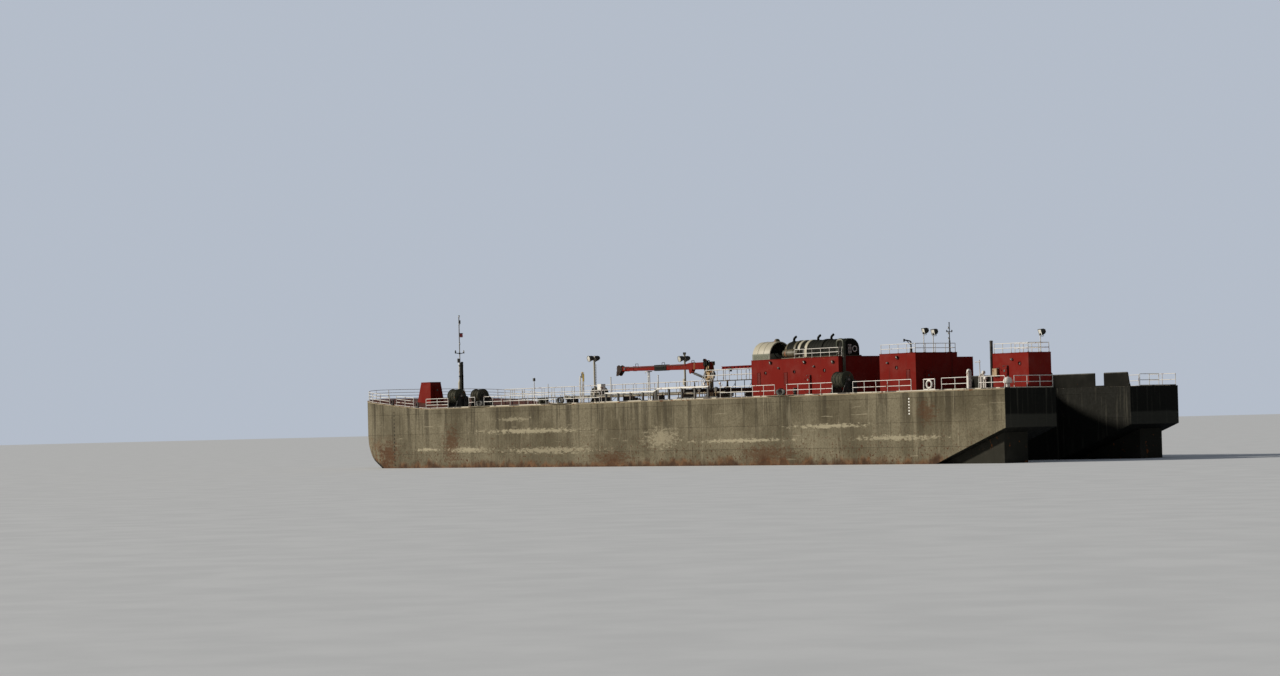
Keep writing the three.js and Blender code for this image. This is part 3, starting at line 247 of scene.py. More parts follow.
def prism(outline, axis, low, high, edge=0.0):
    """An outline [[u, v], ...] carried along an axis, drawn in by edge at both ends: u, v are y, z or x, z or
    x, y."""
    outline = np.asarray(outline, float)
    middle = outline.mean(0)
    span = np.abs(outline - middle).max(0)
    area = np.sum(outline[:, 0] * np.roll(outline[:, 1], -1) - outline[:, 1] * np.roll(outline[:, 0], -1))
    if area < 0:
        outline = outline[::-1]
    levels = [(low, edge), (low + edge, 0), (high - edge, 0), (high, edge)] if edge else [(low, 0), (high, 0)]
    rings = []
    for place, draw in levels:
        u, v = (middle + (outline - middle) * (1 - draw / span)).T
        w = np.full_like(u, place)
        rings.append(np.stack({"X": (w, u, v), "Y": (u, w, v), "Z": (u, v, w)}[axis], -1))
    if axis == "Y":
        rings = rings[::-1]
    return shells(np.stack(rings)[None])


def arc(centre, radius, start, end, steps=10):
    """Points of an arc, from one angle to another in degrees."""
    angle = np.radians(np.linspace(start, end, steps))
    return np.stack([centre[0] + radius * np.cos(angle), centre[1] + radius * np.sin(angle)], -1)


def arch(half, height, steps=16):
    """An upright outline with a half-round top, standing on 0."""
    rise = height - half
    return np.concatenate([[[-half, 0.0], [half, 0.0]], arc((0, rise), half, 0, 180, steps)])


# Pieces


def piece(name, shape, materials, body="barge", replaces=(), smooth=35, weld=0.0, parts=None):
    """A finished piece: one mesh at the origin that rides on a body. parts gives each face's material number.

    Points closer than weld are merged, and then every face is turned to point out.
    """
    points, faces = shape
    mesh = bpy.data.meshes.new(name)
    mesh.from_pydata(points.tolist(), [], [row for rows in faces for row in rows.tolist()])
    materials = materials if isinstance(materials, (list, tuple)) else [materials]
    for material in materials:
        mesh.materials.append(material)
    if parts is not None:
        mesh.polygons.foreach_set("material_index", parts)
    work = bmesh.new()
    work.from_mesh(mesh)
    if weld:
        bmesh.ops.remove_doubles(work, verts=work.verts, dist=weld)
    bmesh.ops.recalc_face_normals(work, faces=work.faces)
    work.to_mesh(mesh)
    work.free()
    mesh.shade_smooth()
    mesh.set_sharp_from_angle(angle=math.radians(smooth))
    made = bpy.data.objects.new(name, mesh)
    bpy.context.scene.collection.objects.link(made)
    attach(made, body)
    if replaces:
        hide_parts(*([replaces] if isinstance(replaces, str) else replaces))
    return made


def many(name, groups, body="barge", replaces=(), smooth=35, weld=0.0, at=(0, 0, 0)):
    """A piece of several finishes, moved to its place: groups is [(material, shape), ...]."""
    shapes = [shape for _, shape in groups]
    parts = np.concatenate(
        [np.full(sum(len(rows) for rows in shape[1]), i) for i, shape in enumerate(shapes)]
    )
    materials = [material for material, _ in groups]
    whole = moved(joined(*shapes), at)
    return piece(name, whole, materials, body, replaces, smooth, weld, parts.astype(np.int32))


# Node materials


def add(tree, kind, values=None, **settings):
    """Adds a node; values holds its inputs by name or number, each a plain value or another node's output."""
    node = tree.nodes.new("ShaderNode" + kind)
    for key, value in settings.items():
        setattr(node, key, value)
    for key, value in (values or {}).items():
        if isinstance(value, bpy.types.NodeSocket):
            tree.links.new(value, node.inputs[key])
        else:
            node.inputs[key].default_value = value
    return node


def calc(tree, operation, a, b=0.0, c=0.0, clamp=False):
    return add(tree, "Math", {0: a, 1: b, 2: c}, operation=operation, use_clamp=clamp).outputs[0]


def times(tree, a, b):
    return calc(tree, "MULTIPLY", a, b)


def plus(tree, a, b, clamp=False):
    return calc(tree, "ADD", a, b, clamp=clamp)


def remap(tree, value, low, high, to_low=0.0, to_high=1.0):
    inputs = {"Value": value, "From Min": low, "From Max": high, "To Min": to_low, "To Max": to_high}
    return add(tree, "MapRange", inputs, interpolation_type="SMOOTHSTEP").outputs[0]


def mix(tree, factor, a, b, blend="MIX"):
    """A colour between a and b."""
    a = (*a, 1.0) if isinstance(a, tuple) and len(a) == 3 else a
    b = (*b, 1.0) if isinstance(b, tuple) and len(b) == 3 else b
    return add(tree, "Mix", {0: factor, 6: a, 7: b}, data_type="RGBA", blend_type=blend).outputs[2]


def stretched(tree, vector, x, y, z):
    return add(tree, "VectorMath", {0: vector, 1: (x, y, z)}, operation="MULTIPLY").outputs[0]


def noise(tree, vector, scale, detail=4.0, roughness=0.55, distortion=0.0):
    inputs = {
        "Vector": vector, "Scale": scale, "Detail": detail, "Roughness": roughness, "Distortion": distortion
    }
    return add(tree, "TexNoise", inputs).outputs[0]


def node_group(name, inputs, outputs):
    """An empty shader node group: inputs is [(name, type, default), ...], outputs [(name, type), ...]."""
    group = bpy.data.node_groups.new(name, "ShaderNodeTree")
    for label, kind, default in inputs:
        socket = group.interface.new_socket(label, in_out="INPUT", socket_type="NodeSocket" + kind)
        if default is not None:
            socket.default_value = default
    for label, kind in outputs:
        group.interface.new_socket(label, in_out="OUTPUT", socket_type="NodeSocket" + kind)
    return group, group.nodes.new("NodeGroupInput").outputs, group.nodes.new("NodeGroupOutput").inputs


def placed(tree, group, values):
    """A node group put into a tree; returns its outputs."""
    return add(tree, "Group", values, node_tree=group).outputs


def streaks_group():
    """Marks that run down a surface: noise over x and y, drawn out along z, kept above a threshold."""
    inputs = [
        ("Vector", "Vector", None), ("Closeness", "Float", 8.0), ("Reach", "Float", 0.08),
        ("Cover", "Float", 0.5)
    ]
    tree, given, out = node_group("running_streaks", inputs, [("Mask", "Float")])
    reach = add(tree, "CombineXYZ", {"X": 1.0, "Y": 1.0, "Z": given["Reach"]}).outputs[0]
    drawn = add(tree, "VectorMath", {0: given["Vector"], 1: reach}, operation="MULTIPLY").outputs[0]
    value = noise(tree, drawn, given["Closeness"], 5.0, 0.6)
    edge = calc(tree, "SUBTRACT", 0.75, times(tree, given["Cover"], 0.4))
    tree.links.new(remap(tree, value, edge, plus(tree, edge, 0.12)), out["Mask"])
    return tree


def patches_group():
    """Irregular patches: fine-edged noise kept above a threshold that falls as the cover grows."""
    inputs = [
        ("Vector", "Vector", None), ("Scale", "Float", 4.0), ("Cover", "Float", 0.5),
        ("Softness", "Float", 0.1)
    ]
    tree, given, out = node_group("patches", inputs, [("Mask", "Float")])
    value = noise(tree, given["Vector"], given["Scale"], 7.0, 0.62, 0.3)
    edge = calc(tree, "SUBTRACT", 0.72, times(tree, given["Cover"], 0.42))
    tree.links.new(remap(tree, value, edge, plus(tree, edge, given["Softness"])), out["Mask"])
    return tree


def seams_group():
    """Butts and seams of plating: a wall of bricks laid over x + y and z, whose joints are the welds."""
    inputs = [
        ("Vector", "Vector", None), ("Length", "Float", 0.9), ("Strake", "Float", 0.24),
        ("Weld", "Float", 0.004)
    ]
    tree, given, out = node_group("plate_seams", inputs, [("Weld", "Float"), ("Plate", "Float")])
    xyz = add(tree, "SeparateXYZ", {0: given["Vector"]}).outputs
    along = plus(tree, xyz["X"], xyz["Y"])
    flat = add(tree, "CombineXYZ", {"X": along, "Y": xyz["Z"]}).outputs[0]
    values = {
        "Vector": flat,
        "Color1": (0.0, 0.0, 0.0, 1.0),
        "Color2": (1.0, 1.0, 1.0, 1.0),
        "Scale": 1.0,
        "Mortar Size": given["Weld"],
        "Mortar Smooth": 0.6,
        "Brick Width": given["Length"],
        "Row Height": given["Strake"],
    }
    wall = add(tree, "TexBrick", values)
    tree.links.new(wall.outputs["Fac"], out["Weld"])
    tree.links.new(wall.outputs["Color"], out["Plate"])
    return tree


def paint_group():
    """Weathered paint: a colour with chalky fading, dark runs, rust at patches, and the roughness and height
    of each."""
    inputs = [
        ("Vector", "Vector", None),
        ("Color", "Color", (0.5, 0.5, 0.5, 1.0)),
        ("Scale", "Float", 6.0),
        ("Fading", "Float", 0.5),
        ("Runs", "Float", 0.4),
        ("Rust", "Float", 0.3),
        ("Roughness", "Float", 0.5),
    ]
    tree, given, out = node_group(
        "weathered_paint", inputs, [("Color", "Color"), ("Roughness", "Float"), ("Height", "Float")]
    )
    vector, scale = given["Vector"], given["Scale"]
    cloud = noise(tree, vector, scale, 5.0, 0.6)
    faded = mix(tree, 0.35, given["Color"], (0.55, 0.5, 0.42))
    darker = mix(tree, 0.55, given["Color"], (0.02, 0.018, 0.015))
    fading = times(tree, remap(tree, cloud, 0.42, 0.72), given["Fading"])
    color = mix(tree, fading, given["Color"], faded)
    runs = placed(
        tree, STREAKS, {"Vector": vector, "Closeness": times(tree, scale, 4.0), "Cover": given["Runs"]}
    )
    color = mix(tree, times(tree, runs["Mask"], 0.55), color, darker)
    values = {"Vector": vector, "Scale": times(tree, scale, 3.0), "Cover": given["Rust"], "Softness": 0.06}
    rust = placed(tree, PATCHES, values)["Mask"]
    grain = noise(tree, vector, 260.0, 2.0)
    rusty = mix(tree, grain, (0.09, 0.028, 0.01), (0.30, 0.11, 0.035))
    tree.links.new(mix(tree, rust, color, rusty), out["Color"])
    rough = plus(tree, given["Roughness"], times(tree, fading, 0.2))
    rough = plus(tree, rough, times(tree, rust, 0.3), clamp=True)
    tree.links.new(rough, out["Roughness"])
    bumps = times(tree, calc(tree, "SUBTRACT", grain, rust), 0.5)
    tree.links.new(plus(tree, bumps, cloud), out["Height"])
    return tree


STREAKS = streaks_group()
PATCHES = patches_group()
SEAMS = seams_group()
WEATHERED = paint_group()


def start_material(name):
    """A material with only its output; returns it, its tree and the piece's own place as a vector."""
    material = bpy.data.materials.new(name)
    material.use_nodes = True
    tree = material.node_tree
    tree.nodes.clear()
    place = add(tree, "TexCoord").outputs["Object"]
    return material, tree, place


def finish_material(tree, values, height=None, strength=0.3, distance=0.002):
    """The surface shader, with a bump if a height is given."""
    if height is not None:
        bump = add(tree, "Bump", {"Strength": strength, "Distance": distance, "Height": height})
        values["Normal"] = bump.outputs[0]
    shader = add(tree, "BsdfPrincipled", values)
    out = add(tree, "OutputMaterial")
    tree.links.new(shader.outputs[0], out.inputs[0])


def paint(name, color, scale=6.0, fading=0.5, runs=0.4, rust=0.25, roughness=0.45, metallic=0.0, shine=0.3):
    material, tree, place = start_material(name)
    values = {
        "Vector": place,
        "Color": (*color, 1.0),
        "Scale": scale,
        "Fading": fading,
        "Runs": runs,
        "Rust": rust,
        "Roughness": roughness,
    }
    look = placed(tree, WEATHERED, values)
    shader = {
        "Base Color": look["Color"], "Roughness": look["Roughness"], "Metallic": metallic,
        "Specular IOR Level": shine
    }
    finish_material(tree, shader, look["Height"], 0.25)
    return material


# Worn places on the sides, by their colour: x, z, half length, half height and how strong
HULL_MARKS = {
    (0.075, 0.030, 0.011): [
        (-4.86, 0.46, 0.17, 0.13, 0.8),
        (-3.48, 0.56, 0.14, 0.18, 0.65),
        (4.72, 0.80, 0.11, 0.09, 0.6),
        (-0.35, 0.40, 0.30, 0.06, 0.6),
        (2.30, 0.42, 0.36, 0.07, 0.6),
    ],
    (0.36, 0.32, 0.22): [
        (-1.87, 0.712, 0.83, 0.022, 0.75),
        (-4.00, 0.520, 0.19, 0.014, 0.9),
        (-3.13, 0.510, 0.32, 0.026, 0.8),
        (-1.50, 0.490, 0.70, 0.030, 0.6),
        (-2.20, 0.850, 0.25, 0.020, 0.5),
        (0.57, 0.605, 0.23, 0.085, 0.5),
        (1.90, 0.560, 0.60, 0.016, 0.8),
        (3.30, 0.690, 0.45, 0.018, 0.8),
        (4.30, 0.560, 0.50, 0.020, 0.7),
    ],
}


def hull_material():
    """Side plating: olive-brown paint with dark runs from the deck, pale scrapes, plate seams and rust low
    down.

    The transoms, the notch walls and the faces that look down get painted shade: near black, greyer along the
    transoms' foot.
    """
    material, tree, place = start_material("hull_plating")
    xyz = add(tree, "SeparateXYZ", {0: place}).outputs
    height = xyz["Z"]
    seams = placed(tree, SEAMS, {"Vector": place, "Length": 1.15, "Strake": 0.235, "Weld": 0.0035})
    frames = placed(tree, SEAMS, {"Vector": place, "Length": 0.26, "Strake": 4.0, "Weld": 0.012})
    cloud = noise(tree, place, 1.6, 6.0, 0.6)
    fine = noise(tree, place, 60.0, 3.0)
    color = mix(tree, remap(tree, cloud, 0.36, 0.64), (0.086, 0.072, 0.042), (0.186, 0.162, 0.106))
    color = mix(tree, times(tree, remap(tree, fine, 0.35, 0.7), 0.4), color, (0.050, 0.040, 0.024))
    plate = times(tree, seams["Plate"], 0.2)
    color = mix(tree, plate, color, (0.21, 0.185, 0.125))
    runs = placed(tree, STREAKS, {"Vector": place, "Closeness": 9.0, "Reach": 0.05, "Cover": 0.62})["Mask"]
    thin = placed(tree, STREAKS, {"Vector": place, "Closeness": 30.0, "Reach": 0.045, "Cover": 0.5})["Mask"]
    high = remap(tree, height, 0.42, 1.0, 0.3, 1.0)
    runs = times(tree, calc(tree, "MAXIMUM", runs, thin), times(tree, high, 0.72))
    color = mix(tree, runs, color, (0.038, 0.031, 0.018))
    pale_runs = placed(
        tree, STREAKS, {"Vector": place, "Closeness": 17.0, "Reach": 0.09, "Cover": 0.45}
    )["Mask"]
    color = mix(tree, times(tree, pale_runs, 0.42), color, (0.25, 0.22, 0.15))
    lying = stretched(tree, place, 1.0, 1.0, 22.0)
    scrape = remap(tree, noise(tree, lying, 1.7, 8.0, 0.7), 0.59, 0.66)
    where = remap(tree, noise(tree, place, 2.1, 3.0), 0.46, 0.6)
    middle = times(tree, remap(tree, height, 0.30, 0.42), remap(tree, height, 0.95, 0.8))
    scrape = times(tree, times(tree, scrape, where), middle)
    color = mix(tree, times(tree, scrape, 0.85), color, (0.34, 0.30, 0.21))
    specks = placed(tree, PATCHES, {"Vector": place, "Scale": 34.0, "Cover": 0.36, "Softness": 0.05})["Mask"]
    low_down = remap(tree, height, 0.80, 0.34, 0.15, 1.0)
    specks = times(tree, specks, low_down)
    color = mix(tree, specks, color, (0.070, 0.028, 0.011))
    ragged = noise(tree, stretched(tree, place, 3.0, 3.0, 1.6), 2.2, 6.0, 0.65)
    level = plus(tree, height, times(tree, calc(tree, "SUBTRACT", ragged, 0.5), 0.30))
    band = remap(tree, level, 0.390, 0.315)
    rust_color = mix(
        tree, remap(tree, noise(tree, place, 9.0, 5.0), 0.35, 0.65), (0.048, 0.022, 0.010),
        (0.150, 0.075, 0.034)
    )
    color = mix(tree, times(tree, band, 0.9), color, rust_color)
    wet = remap(tree, level, 0.325, 0.300)
    color = mix(tree, times(tree, wet, 0.6), color, (0.040, 0.020, 0.010))
    color = mix(tree, times(tree, seams["Weld"], 0.45), color, (0.036, 0.026, 0.015))
    torn = noise(tree, stretched(tree, place, 1.0, 1.0, 2.6), 14.0, 7.0, 0.75)
    forward = times(tree, remap(tree, xyz["X"], -4.55, -5.0), remap(tree, height, 0.78, 0.40))
    bow_rust = placed(tree, PATCHES, {"Vector": place, "Scale": 7.0, "Cover": 0.6, "Softness": 0.1})["Mask"]
    color = mix(tree, times(tree, times(tree, bow_rust, forward), 0.85), color, rust_color)
    for tone, marks in HULL_MARKS.items():
        for x, z, half_x, half_z, amount in marks:
            out_x = calc(tree, "DIVIDE", calc(tree, "ABSOLUTE", calc(tree, "SUBTRACT", xyz["X"], x)), half_x)
            out_z = calc(tree, "DIVIDE", calc(tree, "ABSOLUTE", calc(tree, "SUBTRACT", height, z)), half_z)
            far = calc(
                tree, "SQRT", plus(tree, calc(tree, "POWER", out_x, 2.0), calc(tree, "POWER", out_z, 2.0))
            )
            reach = plus(tree, far, times(tree, torn, 7.0))
            color = mix(tree, times(tree, remap(tree, reach, 4.9, 4.0), amount), color, tone)
    # Painted shade: a mask of the transoms, the notch walls and the downward faces, where the colour is
    # darkened to near black.
    aft = remap(tree, xyz["X"], STERN - 0.006, STERN - 0.002)
    inside = remap(tree, calc(tree, "ABSOLUTE", xyz["Y"]), NOTCH["half"] + 0.006, NOTCH["half"] + 0.002)
    inside = times(tree, inside, remap(tree, xyz["X"], NOTCH["front"] - 0.02, NOTCH["front"] - 0.01))
    under = add(tree, "SeparateXYZ", {0: add(tree, "TexCoord").outputs["Normal"]}).outputs["Z"]
    shade = calc(tree, "MAXIMUM", calc(tree, "MAXIMUM", aft, inside), remap(tree, under, -0.25, -0.5))
    foot = remap(tree, plus(tree, height, times(tree, ragged, 0.03)), 0.785, 0.760)
    foot = times(tree, foot, aft)
    # The near-black colour of the painted shade, greyer along the transoms' foot, with pale streaks in it.
    black = mix(tree, foot, (0.0105, 0.0105, 0.008), (0.042, 0.041, 0.032))
    black = mix(tree, times(tree, thin, 0.5), black, (0.070, 0.066, 0.050))
    color = mix(tree, shade, color, black)
    rough = remap(tree, fine, 0.2, 0.8, 0.62, 0.85)
    dished = times(tree, frames["Weld"], 0.5)
    relief = plus(tree, times(tree, seams["Weld"], 1.4), times(tree, fine, 0.22))
    relief = plus(tree, relief, plus(tree, dished, times(tree, cloud, 1.6)))
    values = {"Base Color": color, "Roughness": rough, "Specular IOR Level": 0.08}
    finish_material(tree, values, relief, 0.35, 0.004)
    return material


def deck_material():
    """Deck paint: dull oxide red, worn along the walkways, with plate seams."""
    material, tree, place = start_material("deck_paint")
    values = {
        "Vector": place,
        "Color": (0.115, 0.035, 0.027, 1.0),
        "Scale": 2.2,
        "Fading": 0.7,
        "Runs": 0.2,
        "Rust": 0.45,
        "Roughness": 0.62,
    }
    look = placed(tree, WEATHERED, values)
    lying = add(tree, "Mapping", {"Vector": place, "Rotation": (math.pi / 2, 0, 0)}).outputs[0]
    seams = placed(tree, SEAMS, {"Vector": lying, "Length": 1.0, "Strake": 0.25, "Weld": 0.004})
    color = mix(tree, times(tree, seams["Weld"], 0.5), look["Color"], (0.04, 0.014, 0.01))
    relief = plus(tree, look["Height"], seams["Weld"])
    values = {"Base Color": color, "Roughness": look["Roughness"], "Specular IOR Level": 0.12}
    finish_material(tree, values, relief, 0.3, 0.003)
    return material


def glass_material(name, color, roughness=0.12):
    """Lamp and port glass: a smooth dark or pale pane with a little dirt."""
    material, tree, place = start_material(name)
    dirt = noise(tree, place, 40.0, 4.0)
    tint = mix(tree, remap(tree, dirt, 0.45, 0.75), color, (0.30, 0.28, 0.22))
    rough = remap(tree, dirt, 0.4, 0.7, roughness, 0.5)
    finish_material(tree, {"Base Color": tint, "Roughness": rough, "Coat Weight": 0.4, "IOR": 1.5})
    return material


def post_shadow_dashes_paint(name, pale, dark):
    """Pale paint broken along the edge in short uneven lengths by dark dashes, which are painted shadows
    standing for those of the rail posts.
    """
    material, tree, place = start_material(name)
    along = stretched(tree, place, 1.0, 1.0, 0.0)
    # The dark dashes are painted shadows, standing for those of the rail's posts.
    worn = remap(tree, noise(tree, along, 7.5, 3.0, 0.6), 0.50, 0.56)
    color = mix(tree, worn, pale, dark)
    fine = noise(tree, place, 90.0, 3.0)
    color = mix(tree, times(tree, fine, 0.3), color, (0.20, 0.14, 0.08))
    finish_material(tree, {"Base Color": color, "Roughness": 0.6}, fine, 0.2)
    return material


def wire_material():
    """Greased wire: dark steel with slanting strands."""
    material, tree, place = start_material("greased_wire")
    strands = add(
        tree, "TexWave", {"Vector": place, "Scale": 180.0, "Distortion": 1.5, "Detail": 2.0},
        bands_direction="DIAGONAL"
    )
    color = mix(tree, strands.outputs["Fac"], (0.030, 0.028, 0.022), (0.13, 0.12, 0.10))
    rust = placed(tree, PATCHES, {"Vector": place, "Scale": 22.0, "Cover": 0.45, "Softness": 0.12})["Mask"]
    color = mix(tree, times(tree, rust, 0.7), color, (0.12, 0.05, 0.02))
    finish_material(
        tree, {"Base Color": color, "Roughness": 0.42, "Metallic": 0.7}, strands.outputs["Fac"], 0.5
    )
    return material


HULL = hull_material()
DECK_PAINT = deck_material()
RED = paint("red_paint", (0.180, 0.013, 0.009), 5.0, 0.10, 0.45, 0.14, 0.8, 0.0, 0.04)
WHITE = paint("white_paint", (0.74, 0.72, 0.66), 9.0, 0.3, 0.45, 0.32, 0.45)
DARK = paint("dark_paint", (0.020, 0.021, 0.018), 8.0, 0.5, 0.3, 0.25, 0.5)
OLIVE = paint("olive_paint", (0.040, 0.046, 0.026), 7.0, 0.45, 0.4, 0.22, 0.42)
CREAM = paint("cream_paint", (0.40, 0.37, 0.28), 6.0, 0.3, 0.35, 0.12, 0.5)
TAN = paint("tan_paint", (0.36, 0.24, 0.11), 9.0, 0.5, 0.5, 0.4, 0.5)
STEEL = paint("bare_steel", (0.28, 0.27, 0.25), 12.0, 0.3, 0.35, 0.3, 0.35, 0.85)
YELLOW = paint("yellow_paint", (0.62, 0.42, 0.05), 9.0, 0.3, 0.4, 0.25, 0.45)
LAMP = glass_material("lamp_glass", (0.72, 0.72, 0.66))
PANE = glass_material("port_glass", (0.03, 0.035, 0.035), 0.06)
GUTTER_SHADOW_PAINT = post_shadow_dashes_paint("gutter_painted_shadows", (0.62, 0.58, 0.46), (0.05, 0.045, 0.035))
# Near-black painted shade on the notch's coaming.
COAMING_SHADE_PAINT = paint("coaming_painted_shade", (0.010, 0.010, 0.008), 4.0, 0.08, 0.4, 0.12, 0.8, 0.0, 0.05)
BLACK = paint("black_paint", (0.012, 0.0125, 0.0095), 8.0, 0.02, 0.2, 0.10, 0.7, 0.0, 0.06)
# Pale paint of the bar along the deck's edge: a painted highlight.
EDGE_HIGHLIGHT_PAINT = paint("edge_painted_highlight", (0.34, 0.28, 0.18), 5.0, 0.3, 0.5, 0.35, 0.7, 0.0, 0.1)
BROWN = paint("brown_steel", (0.034, 0.019, 0.013), 12.0, 0.05, 0.3, 0.2, 0.7, 0.0, 0.1)
# Near-black painted shade on the skegs.
SKEG_SHADE_PAINT = paint("skeg_painted_shade", (0.026, 0.025, 0.019), 5.0, 0.08, 0.5, 0.25, 0.8, 0.0, 0.05)
GREEN_GREY = paint("green_grey_paint", (0.16, 0.17, 0.12), 6.0, 0.3, 0.4, 0.15, 0.5)
SILENCER_OLIVE = paint("silencer_paint", (0.085, 0.075, 0.040), 6.0, 0.3, 0.4, 0.3, 0.5)
RUSTED = paint("rusted_steel", (0.16, 0.055, 0.022), 14.0, 0.4, 0.3, 0.75, 0.75)
WIRE = wire_material()
ROPE = paint("laid_rope", (0.075, 0.073, 0.045), 20.0, 0.5, 0.5, 0.15, 0.8)
RED_LAMP = glass_material("red_lamp_glass", (0.42, 0.015, 0.02), 0.1)


# Hull


def deck_at(x):
    """Height of the deck: level aft, and forward of the sheer's start a rising power of the distance."""
    share = np.clip((SHEER["start"] - np.asarray(x, float)) / (SHEER["start"] + STERN), 0, None)
    return DECK + SHEER["rise"] * share ** SHEER["power"]


def bottom_at(x):
    """Height of the bottom: flat, then a straight rake up to the transom."""
    share = (np.asarray(x, float) - RAKE["start"]) / (STERN - RAKE["start"])
    return np.clip(share, 0, None) * RAKE["foot"]


def eased(value, knots, heights):
    """A smooth curve through a table: between knots, a cubic whose slopes are those of the neighbouring
    chords."""
    slope = np.gradient(heights, knots)
    at = np.clip(np.searchsorted(knots, value, side="right") - 1, 0, len(knots) - 2)
    width = knots[at + 1] - knots[at]
    share = (value - knots[at]) / width
    first = heights[at] * (1 + 2 * share) * (1 - share) ** 2 + heights[at + 1] * share**2 * (3 - 2 * share)
    return first + width * (slope[at] * share * (1 - share) ** 2 - slope[at + 1] * share**2 * (1 - share))


def outline(share, height):
    """Half of the hull's plan at a height, from the nose (0) to the transom (1), as x and half-breadth.

    The first half of the way is the rounded bow, x = shoulder - reach sin(a)^p, y = half cos(a)^p, and the
    rest runs straight aft. Near the bottom the side is drawn in by the bilge's quarter circle.
    """
    knots, shoulders, noses = BOW_LEVELS.T
    height = np.clip(height, 0, DECK)
    shoulder = eased(height, knots, shoulders)
    nose = np.maximum(eased(height, knots, noses), -STERN)
    tuck = BILGE - np.sqrt(np.clip(BILGE**2 - np.clip(BILGE - height, 0, None) ** 2, 0, None))
    angle = np.pi / 2 * (1 - np.clip(share * 2, 0, 1))
    forward = shoulder + (nose - shoulder) * np.sin(angle) ** BOW_FULLNESS
    aft = shoulder + (STERN - shoulder) * np.clip(share * 2 - 1, 0, 1)
    x = np.where(share < 0.5, forward, aft)
    y = (HALF - tuck) * np.cos(angle) ** BOW_FULLNESS
    return x, np.where(share < 1e-9, 0.0, y)


def notch_line(share):
    """The inner edge from the nose (0) along the centre line to the notch's front, round it and aft to the
    transom (1)."""
    straight, round_end = 0.62, 0.8
    angle = np.clip((share - straight) / (round_end - straight), 0, 1) * np.pi / 2
    centre = -STERN + 0.25 + (NOTCH["front"] + STERN - 0.25) * np.clip(share / straight, 0, 1)
    curve = NOTCH["shoulder"] - (NOTCH["shoulder"] - NOTCH["front"]) * np.cos(angle)
    aft = NOTCH["shoulder"] + (STERN - NOTCH["shoulder"]) * np.clip(
        (share - round_end) / (1 - round_end), 0, 1
    )
    x = np.where(share <= straight, centre, np.where(share <= round_end, curve, aft))
    return x, NOTCH["half"] * np.sin(angle)


def hull_shape():
    """The hull as five grids a side: outer wall, transom, notch wall, deck and bottom, welded along their
    edges.

    The deck and the bottom are ruled between the outer line and the inner line at the same share of the way.
    """
    bow = 0.5 * np.linspace(0, 1, 49) ** 1.3
    share = np.concatenate([bow, np.linspace(0.5, 1, 61)[1:]])
    rise = np.concatenate([np.linspace(0, 0.055, 6), np.linspace(0.055, 1, 26)[1:]])
    across = np.linspace(0, 1, 13)

    top_x, top_y = outline(share, np.full_like(share, DECK))
    floor, roof = bottom_at(top_x) * (share > 0.5), deck_at(top_x)
    level = floor + (roof - floor) * rise[:, None]
    x, y = outline(np.broadcast_to(share, level.shape), np.where(floor > 0, np.maximum(level, BILGE), level))
    wall = np.stack([x, y, level], -1)
    inner_x, inner_y = notch_line(share)

    def ruled(outer_x, outer_y, height):
        u = outer_x + (inner_x - outer_x) * across[:, None]
        v = outer_y + (inner_y - outer_y) * across[:, None]
        return np.stack([u, v, height(u)], -1)

    deck = ruled(top_x, top_y, deck_at)
    bottom = ruled(wall[0, :, 0], wall[0, :, 1], bottom_at)
    notch = share >= 0.62
    inner = np.stack([inner_x, inner_y, 0 * inner_x], -1)[notch]
    inner_low, inner_high = bottom_at(inner[:, 0]), deck_at(inner[:, 0])
    inner_level = inner_low + (inner_high - inner_low) * rise[:, None]
    inner_wall = np.stack([inner[:, 0] + 0 * inner_level, inner[:, 1] + 0 * inner_level, inner_level], -1)
    stern_y = HALF + (NOTCH["half"] - HALF) * across[None]
    stern_level = RAKE["foot"] + (DECK - RAKE["foot"]) * rise[:, None]
    transom = np.stack(
        [STERN + 0 * stern_y * stern_level, stern_y + 0 * stern_level, stern_level + 0 * stern_y], -1
    )

    def sheet(points, flip):
        rows, columns = points.shape[:2]
        quads = grid_faces(rows, columns, False)
        return points.reshape(-1, 3), [quads[:, ::-1] if flip else quads]

    starboard_side = joined(sheet(wall, True), sheet(inner_wall, False), sheet(transom, True))
    starboard_deck = sheet(deck, True)
    starboard_bottom = sheet(bottom, False)
    side = joined(starboard_side, starboard_bottom)
    return joined(side, mirrored(side)), joined(starboard_deck, mirrored(starboard_deck))


def build_hull():
    sides, deck = hull_shape()
    sections = ("hull", "stern_section", "port_stern_wing", "starboard_stern_wing")
    many("hull_plating", [(HULL, sides), (DECK_PAINT, deck)], "barge", sections, 30, 1e-4)


def hull_marks():
    """The bar along the deck's edge, pale as a painted highlight, and ticks down the sides: dark ones forward
    and pale ones aft.
    """
    share = np.concatenate([0.5 * np.linspace(0, 1, 60) ** 1.3, np.linspace(0.5, 1, 40)[1:]])
    x, y = outline(share, np.full_like(share, DECK))
    line = np.stack([x, y - 0.001, deck_at(x) - 0.006], -1)
    line = np.concatenate([line[::-1], (line * (1, -1, 1))[1:]])
    edge = swept(line, 0.0045, (0, 0, 1), 8)
    ticks = []
    for x, low, high, pitch, wide, tall in (
        (-4.725, 0.33, 0.98, 0.045, 0.014, 0.022), (4.468, 0.78, 0.95, 0.0287, 0.018, 0.014)
    ):
        z = np.arange(low, high, pitch)[:, None]
        lows = np.hstack([0 * z + x, 0 * z - HALF - 0.0007, z])
        marks = blocks(lows, lows + (wide, 0.0012, tall), 0.0002)
        ticks.append(joined(marks, mirrored(marks)))
    many("hull_marks", [(EDGE_HIGHLIGHT_PAINT, edge), (BLACK, ticks[0]), (WHITE, ticks[1])])


build_hull()
hull_marks()


# Fittings used in many places

FLOOR = DECK + SEAT


